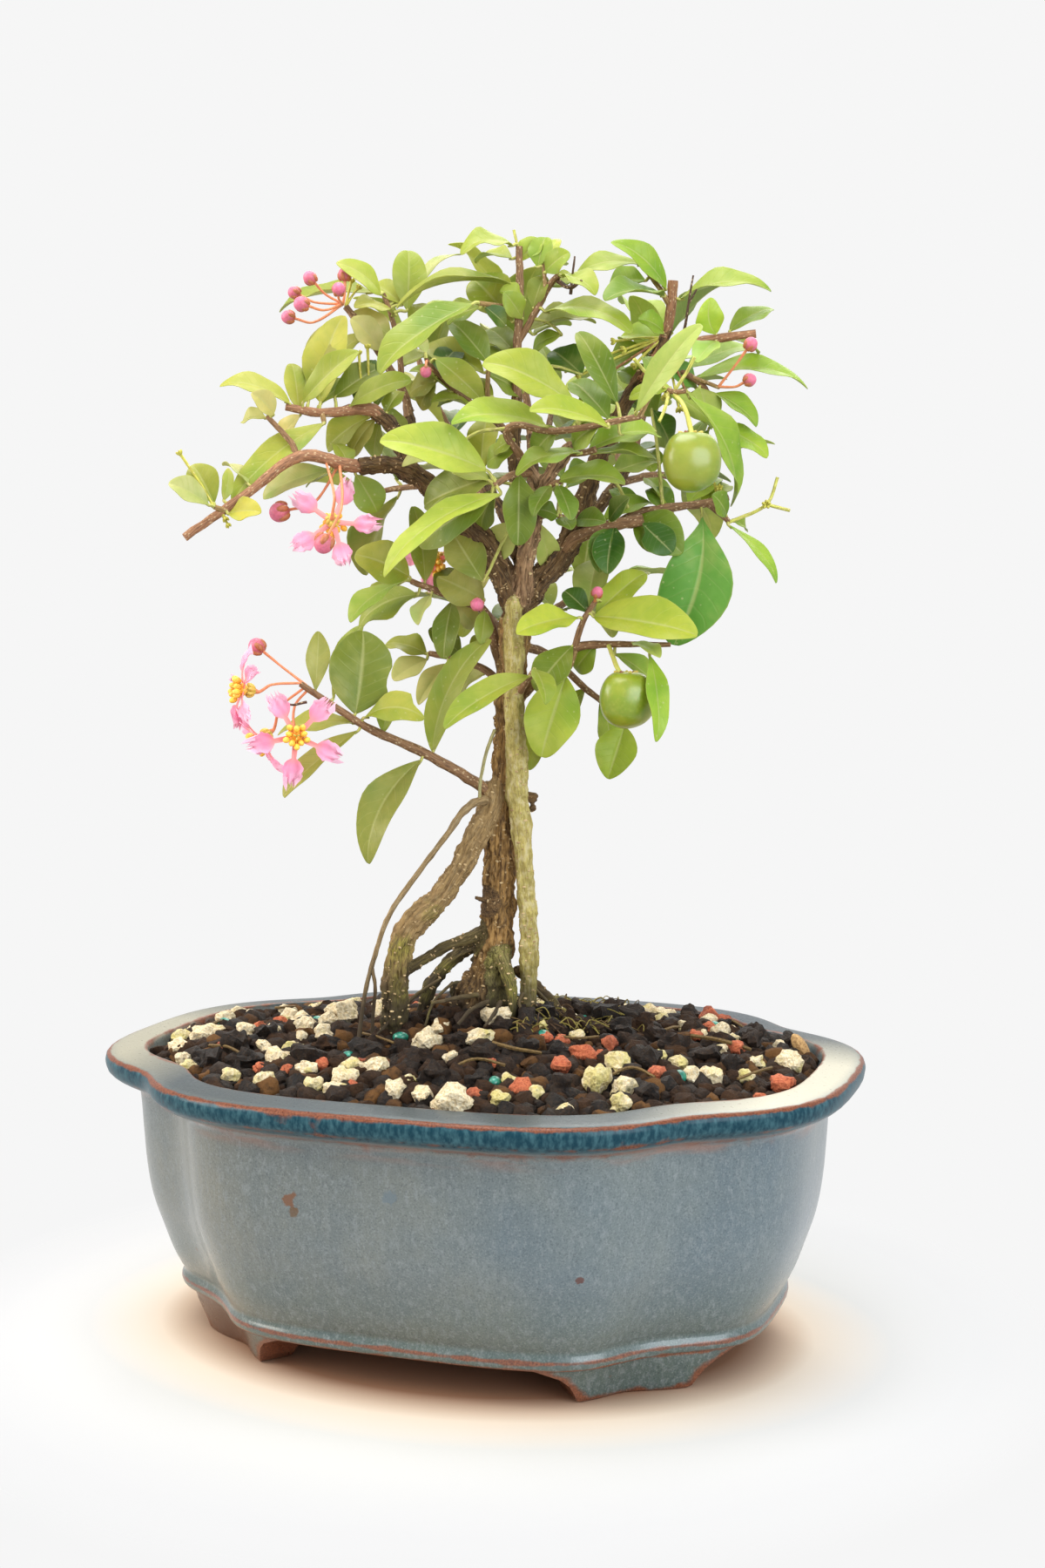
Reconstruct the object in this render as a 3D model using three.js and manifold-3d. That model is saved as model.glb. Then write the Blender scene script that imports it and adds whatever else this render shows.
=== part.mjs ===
// A barbados cherry bonsai in its glazed pot.
// Millimetres, +Z up. The origin is under the middle of the pot, on the surface that it stands on.
// X runs along the pot, and the front of the pot faces -Y.
import * as THREE from 'three';
import { mergeVertices } from 'three/addons/utils/BufferGeometryUtils.js';
import Module from 'manifold-3d';

const wasm = await Module();
wasm.setup();

// Driving dimensions of the pot
const POT_LENGTH = 203;
const POT_DEPTH = 163;
const RIM_HEIGHT = 75;
const LIP_WIDTH = 11.2;
const FOOT_HEIGHT = 10;
const FLOOR_THICKNESS = 7;
const DRAIN_RADIUS = 8;
const DRAIN_OFFSET = 38;

// Driving dimensions of the soil, the bark and the leaves
const SOIL_EDGE = 73.4;
const SOIL_SWELL = 6.6;
const SOIL_MOUND = 7;
const MOUND_RADIUS = 20;
const GAP = 0.3;
const BLADE_THICKNESS = 0.7;

// Where the picture of the tree was taken from, so that a place in its 1200 x 1800 frame
// and a distance behind the middle of the pot give a point in space
const PICTURE = { middleX: 600, middleY: 900, focal: 2400 };
const VIEW = {
  turn: THREE.MathUtils.degToRad(18.8),
  tilt: THREE.MathUtils.degToRad(4.8),
  distance: 557,
  side: 10.9,
  height: 193.4,
};
const RIGHT = new THREE.Vector3(Math.cos(VIEW.turn), Math.sin(VIEW.turn), 0);
const AWAY = new THREE.Vector3(-Math.sin(VIEW.turn), Math.cos(VIEW.turn), 0);
const UP = new THREE.Vector3(0, 0, 1);

function seen(x, y, away) {
  const across = x - PICTURE.middleX;
  const above = PICTURE.middleY - y;
  const reach = PICTURE.focal * Math.cos(VIEW.tilt) + above * Math.sin(VIEW.tilt);
  const rise = above * Math.cos(VIEW.tilt) - PICTURE.focal * Math.sin(VIEW.tilt);
  const scale = (VIEW.distance + away) / reach;
  const place = RIGHT.clone().multiplyScalar(VIEW.side + across * scale);
  place.addScaledVector(AWAY, away);
  place.z = VIEW.height + rise * scale;
  return place;
}

// Millimetres that one pixel of the picture covers at a distance behind the middle of the pot
const pixelSize = (away) => (VIEW.distance + away) / PICTURE.focal;

// One repeatable row of numbers between 0 and 1 for each seed
function drawer(seed) {
  let state = seed;
  return () => {
    state = (state * 16807) % 2147483647;
    return state / 2147483647;
  };
}

// Solids
function solidOf(geometry) {
  const bare = geometry.clone();
  bare.deleteAttribute('normal');
  bare.deleteAttribute('uv');
  const merged = mergeVertices(bare, 1e-4);
  const vertProperties = Float32Array.from(merged.attributes.position.array);
  const triVerts = Uint32Array.from(merged.index.array);
  return new wasm.Manifold(new wasm.Mesh({ numProp: 3, vertProperties, triVerts }));
}

function solidFrom(points, triangles) {
  let volume = 0;
  for (const [a, b, c] of triangles) {
    volume += points[a].dot(new THREE.Vector3().crossVectors(points[b], points[c]));
  }
  const outward = volume > 0 ? triangles : triangles.map(([a, b, c]) => [a, c, b]);
  const vertProperties = Float32Array.from(points.flatMap((p) => [p.x, p.y, p.z]));
  const triVerts = Uint32Array.from(outward.flat());
  return new wasm.Manifold(new wasm.Mesh({ numProp: 3, vertProperties, triVerts }));
}

function joined(solids) {
  return wasm.Manifold.union(solids);
}

function largest(solid) {
  const pieces = solid.decompose();
  pieces.sort((a, b) => b.volume() - a.volume());
  return pieces[0];
}

// A closed skin over rings of equally many points, with a point at the middle of each end
function loft(rings) {
  const count = rings[0].length;
  const points = rings.flat();
  const middle = (ring) => ring.reduce((sum, p) => sum.add(p), new THREE.Vector3()).divideScalar(count);
  const first = points.push(middle(rings[0])) - 1;
  const last = points.push(middle(rings[rings.length - 1])) - 1;
  const lastRing = (rings.length - 1) * count;
  const triangles = [];
  for (let i = 0; i < count; i++) {
    const j = (i + 1) % count;
    triangles.push([first, j, i], [last, lastRing + i, lastRing + j]);
    for (let r = 0; r < lastRing; r += count) {
      triangles.push([r + i, r + j, r + count + j], [r + i, r + count + j, r + count + i]);
    }
  }
  return solidFrom(points, triangles);
}

// A tapering round limb through places, each with its own radius
function limb(places, radii, sides) {
  const rings = [];
  let aside = null;
  places.forEach((place, i) => {
    const before = places[Math.max(i - 1, 0)];
    const after = places[Math.min(i + 1, places.length - 1)];
    const along = after.clone().sub(before).normalize();
    if (!aside) {
      aside = Math.abs(along.z) > 0.8 ? RIGHT.clone() : UP.clone();
    }
    aside.addScaledVector(along, -aside.dot(along)).normalize();
    const other = new THREE.Vector3().crossVectors(along, aside);
    const ring = [];
    for (let k = 0; k < sides; k++) {
      const angle = (2 * Math.PI * k) / sides;
      const out = aside.clone().multiplyScalar(Math.cos(angle) * radii[i]);
      ring.push(place.clone().add(out).addScaledVector(other, Math.sin(angle) * radii[i]));
    }
    rings.push(ring);
  });
  return loft(rings);
}

// Rows of [picture x, picture y, distance behind the middle, radius]
function stemOf(rows, sides, fatter = 0) {
  const places = rows.map(([x, y, away]) => seen(x, y, away));
  const last = places.length - 1;
  const start = places[0].clone().sub(places[1]).setLength(fatter);
  const end = places[last].clone().sub(places[last - 1]).setLength(fatter);
  places[0].add(start);
  places[last].add(end);
  const radii = rows.map((row) => row[3] + fatter);
  return limb(places, radii, sides);
}

// The pot
// Its plan is two rounded rectangles laid across each other, so that four lobes
// meet in four inward corners
const LONG_LOBE = { halfLength: POT_LENGTH / 2, halfDepth: 62.5, roundness: 3.0 };
const DEEP_LOBE = { halfLength: 77.5, halfDepth: POT_DEPTH / 2, roundness: 3.4 };
const CORNER_SHARPNESS = 34;
const QUARTER_STEPS = 8;

function lobeRadius(lobe, angle) {
  const x = Math.abs(Math.cos(angle)) / lobe.halfLength;
  const y = Math.abs(Math.sin(angle)) / lobe.halfDepth;
  return (x ** lobe.roundness + y ** lobe.roundness) ** (-1 / lobe.roundness);
}

function planRadius(angle) {
  const long = lobeRadius(LONG_LOBE, angle);
  const deep = lobeRadius(DEEP_LOBE, angle);
  const wider = Math.max(long, deep);
  const blend = (long / wider) ** CORNER_SHARPNESS + (deep / wider) ** CORNER_SHARPNESS;
  return wider * blend ** (1 / CORNER_SHARPNESS);
}

function cornerAngle() {
  let low = 0.2;
  let high = 1.3;
  for (let i = 0; i < 40; i++) {
    const angle = (low + high) / 2;
    if (lobeRadius(LONG_LOBE, angle) > lobeRadius(DEEP_LOBE, angle)) low = angle;
    else high = angle;
  }
  return low;
}

const CORNER = cornerAngle();

// The angles round the plan, with one on each inward corner
function planAngles() {
  const quarter = [];
  for (let i = 0; i < QUARTER_STEPS; i++) {
    const half = QUARTER_STEPS / 2;
    const inLong = i < half;
    quarter.push(inLong ? (CORNER * i) / half : CORNER + ((Math.PI / 2 - CORNER) * (i - half)) / half);
  }
  const round = quarter.map((angle) => angle);
  round.push(Math.PI / 2, ...quarter.slice(1).reverse().map((angle) => Math.PI - angle));
  return [...round, ...round.map((angle) => angle + Math.PI)];
}

const ANGLES = planAngles();

function planPoint(angle) {
  const radius = planRadius(angle);
  return new THREE.Vector2(Math.cos(angle) * radius, Math.sin(angle) * radius);
}

// The plan moved inward by inset, at height z
function planRing(inset, z, angles = ANGLES) {
  const tiny = 1e-3;
  return angles.map((angle) => {
    const place = planPoint(angle);
    const along = planPoint(angle + tiny).sub(planPoint(angle - tiny)).normalize();
    return new THREE.Vector3(place.x - along.y * inset, place.y + along.x * inset, z);
  });
}

// Rows of [inset from the rim's edge, height], from the underside up to the inner edge of the lip
const OUTER_PROFILE = [
  [21.5, FOOT_HEIGHT],
  [19.8, FOOT_HEIGHT + 2.2],
  [19.2, FOOT_HEIGHT + 6],
  [15.2, 26],
  [12.2, 35],
  [10.2, 50],
  [9.3, 64],
  [4.6, 67.4],
  [0.5, 70.2],
  [0, RIM_HEIGHT - 1.1],
  [1.2, RIM_HEIGHT - 0.1],
  [LIP_WIDTH - 1.2, RIM_HEIGHT + 0.6],
  [LIP_WIDTH, RIM_HEIGHT],
];
// Rows of [inset from the rim's edge, height] for the room that the soil fills
const NECK_INSET = LIP_WIDTH + 1.2;
const SOIL_ROOM = [
  [28, FOOT_HEIGHT + FLOOR_THICKNESS],
  [20.5, 28],
  [16.5, 44],
  [15.4, 60],
];
const INNER_PROFILE = [
  ...SOIL_ROOM,
  [NECK_INSET, 69],
  [LIP_WIDTH, RIM_HEIGHT - 0.6],
  [LIP_WIDTH, RIM_HEIGHT + 4],
];

function profileLoft(profile) {
  return loft(profile.map(([inset, z]) => planRing(inset, z)));
}

// A low corner foot follows the plan's corner, a distance inside the rim
const FOOT_OUTER_INSET = 22.5;
const FOOT_INNER_INSET = 40;
// Rows of [height, taper, half the angle that it spans], from inside the floor down
const FOOT_ROWS = [
  [FOOT_HEIGHT + 3, 0.1, 0.42],
  [FOOT_HEIGHT - 1, 0.6, 0.4],
  [3, 3.0, 0.27],
  [0, 3.6, 0.24],
];
const FOOT_STEPS = 4;
const INNER_TAPER = 1.5;

function foot(signX, signY) {
  const rings = FOOT_ROWS.map(([z, taper, halfAngle]) => {
    const outer = [];
    const inner = [];
    for (let i = 0; i <= FOOT_STEPS; i++) {
      const place = planPoint(CORNER + halfAngle * ((2 * i) / FOOT_STEPS - 1));
      const length = place.length();
      outer.push(place.clone().setLength(length - FOOT_OUTER_INSET - taper));
      inner.push(place.clone().setLength(length - FOOT_INNER_INSET + taper * INNER_TAPER));
    }
    const ring = [...outer, ...inner.reverse()];
    return ring.map((p) => new THREE.Vector3(p.x * signX, p.y * signY, z));
  });
  return loft(rings);
}

function drainHole(side) {
  const hole = new THREE.CylinderGeometry(DRAIN_RADIUS, DRAIN_RADIUS, 2 * FLOOR_THICKNESS, 12);
  hole.rotateX(Math.PI / 2);
  return solidOf(hole.translate(side * DRAIN_OFFSET, 0, FOOT_HEIGHT + FLOOR_THICKNESS / 2));
}

function pot() {
  const feet = [];
  for (const signX of [-1, 1]) {
    for (const signY of [-1, 1]) feet.push(foot(signX, signY));
  }
  const bowl = profileLoft(OUTER_PROFILE).subtract(profileLoft(INNER_PROFILE));
  return joined([bowl, ...feet]).subtract(joined([drainHole(-1), drainHole(1)]));
}

// A square of plastic net that lies over a drain hole and keeps the soil in
const SCREEN_SIZE = 24;
const SCREEN_THICKNESS = 1;
const SCREEN_CELLS = 3;
const OPEN_SHARE = 0.6;

function screen(side) {
  const plate = solidOf(new THREE.BoxGeometry(SCREEN_SIZE, SCREEN_SIZE, SCREEN_THICKNESS));
  const cell = (SCREEN_SIZE - 2) / SCREEN_CELLS;
  const opening = new THREE.BoxGeometry(cell * OPEN_SHARE, cell * OPEN_SHARE, 3 * SCREEN_THICKNESS);
  const openings = [];
  for (let i = 0; i < SCREEN_CELLS; i++) {
    for (let j = 0; j < SCREEN_CELLS; j++) {
      const x = (i - (SCREEN_CELLS - 1) / 2) * cell;
      const y = (j - (SCREEN_CELLS - 1) / 2) * cell;
      openings.push(solidOf(opening.clone().translate(x, y, 0)));
    }
  }
  const height = FOOT_HEIGHT + FLOOR_THICKNESS + GAP + SCREEN_THICKNESS / 2;
  return plate.subtract(joined(openings)).translate([side * DRAIN_OFFSET, 0, height]);
}

// The soil: a mound of coarse grains that fills the pot, highest round the trunk
const TRUNK_FOOT = seen(558, 1158, 2);
const SOIL_STEPS = 5;
const SOIL_ANGLES = ANGLES.filter((angle, i) => i % 2 === 0);
const SURFACE_LUMPS = 1.6;
const GRAIN_COUNT = 16;
const GRAIN_SIZE = { least: 2.2, spread: 2.0 };
const GRAIN_SPREAD = 0.86;

function soilHeight(x, y) {
  const edge = planRadius(Math.atan2(y, x)) - NECK_INSET;
  const share = Math.min(1, Math.hypot(x, y) / edge);
  const fromTrunk = Math.hypot(x - TRUNK_FOOT.x, y - TRUNK_FOOT.y);
  const mound = SOIL_MOUND * Math.exp(-((fromTrunk / MOUND_RADIUS) ** 2));
  return SOIL_EDGE + SOIL_SWELL * (1 - share ** 2) + mound;
}

// One squashed grain with its middle on the soil
function grain(draw) {
  const angle = draw() * 2 * Math.PI;
  const reach = (planRadius(angle) - NECK_INSET) * Math.sqrt(draw()) * GRAIN_SPREAD;
  const x = Math.cos(angle) * reach;
  const y = Math.sin(angle) * reach;
  const size = GRAIN_SIZE.least + GRAIN_SIZE.spread * draw();
  const stone = new THREE.IcosahedronGeometry(size, 0);
  stone.rotateX(draw() * Math.PI);
  stone.rotateZ(draw() * Math.PI);
  stone.scale(1.15, 0.95, 0.7);
  return solidOf(stone.translate(x, y, soilHeight(x, y) + 0.2 * size));
}

function soil(roots, screens) {
  const draw = drawer(4711);
  const rings = SOIL_ROOM.map(([inset, z]) => planRing(inset + GAP, z + GAP, SOIL_ANGLES));
  const rim = planRing(NECK_INSET + GAP, SOIL_EDGE, SOIL_ANGLES);
  rings.push(rim);
  for (let step = SOIL_STEPS - 1; step > 0; step--) {
    const lumps = rim.map((edge) => {
      const x = (edge.x * step) / SOIL_STEPS;
      const y = (edge.y * step) / SOIL_STEPS;
      return new THREE.Vector3(x, y, soilHeight(x, y) + SURFACE_LUMPS * (draw() - 0.5));
    });
    rings.push(lumps);
  }
  const grains = [];
  for (let i = 0; i < GRAIN_COUNT; i++) grains.push(grain(draw));
  const whole = joined([loft(rings), ...grains]);
  const nets = screens.map((side) => {
    const net = new THREE.BoxGeometry(SCREEN_SIZE + 1, SCREEN_SIZE + 1, 4);
    return solidOf(net.translate(side * DRAIN_OFFSET, 0, FOOT_HEIGHT + FLOOR_THICKNESS));
  });
  return largest(whole.subtract(joined([...roots, ...nets])));
}

// The wood: the trunk, the stem grown against it, its prop roots and the limbs that carry the shoots.
// Each limb is rows of [picture x, picture y, distance behind the middle, radius].
const WOOD = {
  trunk: [
    [556, 1212, 2, 7.0], [557, 1165, 2, 9.4], [560, 1135, 1, 7.6], [564, 1112, 1, 5.6],
    [567, 1083, 0, 4.6],
    [571, 1045, 0, 4.4], [573, 1000, 0, 4.1], [575, 950, 0, 3.6], [579, 900, 0, 3.5], [583, 840, 0, 3.4],
    [587, 780, 0, 3.5], [592, 720, 0, 3.7], [598, 664, 0, 4.0],
  ],
  grown_stem: [
    [589, 690, -3, 1.8], [591, 760, -4, 2.4], [592, 830, -5, 2.7], [594, 900, -5, 2.9],
    [600, 970, -5, 2.4], [604, 1025, -5, 2.4], [607, 1061, -5, 2.5], [607, 1098, -4, 2.6],
    [607, 1130, -3, 2.3], [606, 1185, -2, 2.0],
  ],
  prop_root: [
    [568, 898, -1, 2.2], [563, 925, -2, 2.9], [547, 960, -4, 3.2], [517, 1014, -6, 3.0],
    [500, 1036, -7, 3.1], [471, 1062, -8, 3.4], [459, 1093, -8, 3.2], [453, 1155, -8, 3.5],
    [451, 1225, -8, 3.2],
  ],
  hanging_root: [
    [562, 921, -3, 1.2], [553, 919, -5, 1.3], [533, 930, -8, 1.1], [514, 957, -10, 0.8],
    [475, 1009, -12, 0.8], [446, 1052, -13, 0.7], [429, 1102, -13, 0.7], [419, 1141, -13, 0.6],
    [409, 1215, -15, 0.6],
  ],
  hanging_root_fork: [
    [427, 1110, -13, 0.5], [431, 1134, -13, 0.5], [429, 1156, -12, 0.5], [426, 1215, -12, 0.5],
  ],
  hair_root: [[568, 838, -3, 0.5], [559, 862, -6, 0.45], [552, 895, -7, 0.45], [550, 922, -5, 0.45]],
  low_root: [[556, 1068, 0, 2.0], [538, 1077, -1, 1.7], [510, 1088, -4, 1.5], [462, 1117, -8, 1.4]],
  back_low_root: [[556, 1082, 2, 1.9], [530, 1093, 5, 1.8], [494, 1132, 6, 1.8], [480, 1180, 6, 1.5]],
  short_root: [[577, 1098, -3, 1.9], [583, 1118, -7, 1.6], [588, 1140, -9, 1.3], [586, 1195, -10, 1.1]],
  right_root: [[592, 1112, 2, 1.6], [622, 1138, 7, 1.4], [640, 1156, 9, 1.2], [655, 1200, 10, 1.0]],
  cut_stub: [[592, 915, -1, 1.4], [617, 914, -1, 1.3]],
  small_stub: [[563, 1036, -2, 0.8], [545, 1030, -4, 0.6]],
  left_main: [
    [594, 705, -1, 3.2], [577, 658, -1, 3.4], [545, 611, -3, 3.0], [510, 575, -5, 2.8],
    [485, 550, -6, 2.6], [462, 538, -7, 2.5], [440, 533, -8, 2.2], [412, 535, -10, 2.0],
  ],
  left_upper: [[478, 549, -6, 2.0], [464, 520, -5, 2.1], [451, 490, -3, 2.0], [430, 473, -2, 1.8]],
  left_rise: [[466, 525, -4, 1.6], [472, 495, 5, 1.5], [468, 466, 9, 1.3]],
  centre_limb: [
    [598, 690, -1, 2.6], [604, 640, -5, 2.4], [613, 600, -8, 2.1], [622, 565, -11, 1.9], [637, 537, -13, 1.8],
    [657, 510, -15, 1.6],
  ],
  front_limb: [[621, 566, -10, 1.2], [612, 542, -12, 1.3], [598, 524, -14, 1.2]],
  leader: [
    [601, 690, 1, 2.9], [602, 650, 3, 2.8], [598, 600, 4, 2.3], [592, 550, 6, 1.9], [591, 500, 7, 1.7],
    [594, 452, 7, 1.5],
  ],
  right_main: [
    [604, 690, 1, 3.2], [618, 668, 1, 3.2], [636, 648, 1, 3.1], [655, 620, 2, 3.0], [667, 590, 3, 2.8],
    [676, 560, 4, 2.6], [686, 530, 5, 2.3], [704, 488, 8, 2.0], [730, 442, 10, 1.8], [754, 408, 11, 1.6],
    [766, 378, 11, 1.4],
  ],
  back_left: [[596, 640, 3, 2.0], [578, 590, 14, 1.7], [548, 545, 25, 1.4]],
  back_middle: [[601, 620, 5, 2.0], [612, 560, 18, 1.7], [610, 500, 30, 1.4]],
  back_right: [[640, 640, 3, 2.0], [690, 580, 16, 1.6], [725, 530, 27, 1.4]],
};
const SLIM_ROOTS = new Set(['hanging_root', 'hanging_root_fork', 'hair_root']);
const ROOTS_IN_SOIL = [
  'trunk', 'grown_stem', 'prop_root', 'hanging_root', 'hanging_root_fork', 'back_low_root', 'short_root',
  'right_root',
];

function woodSides(name) {
  if (name === 'trunk') return 8;
  return SLIM_ROOTS.has(name) ? 3 : 5;
}

function wood(fatter = 0) {
  return Object.entries(WOOD).map(([name, rows]) => stemOf(rows, woodSides(name), fatter));
}

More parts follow.
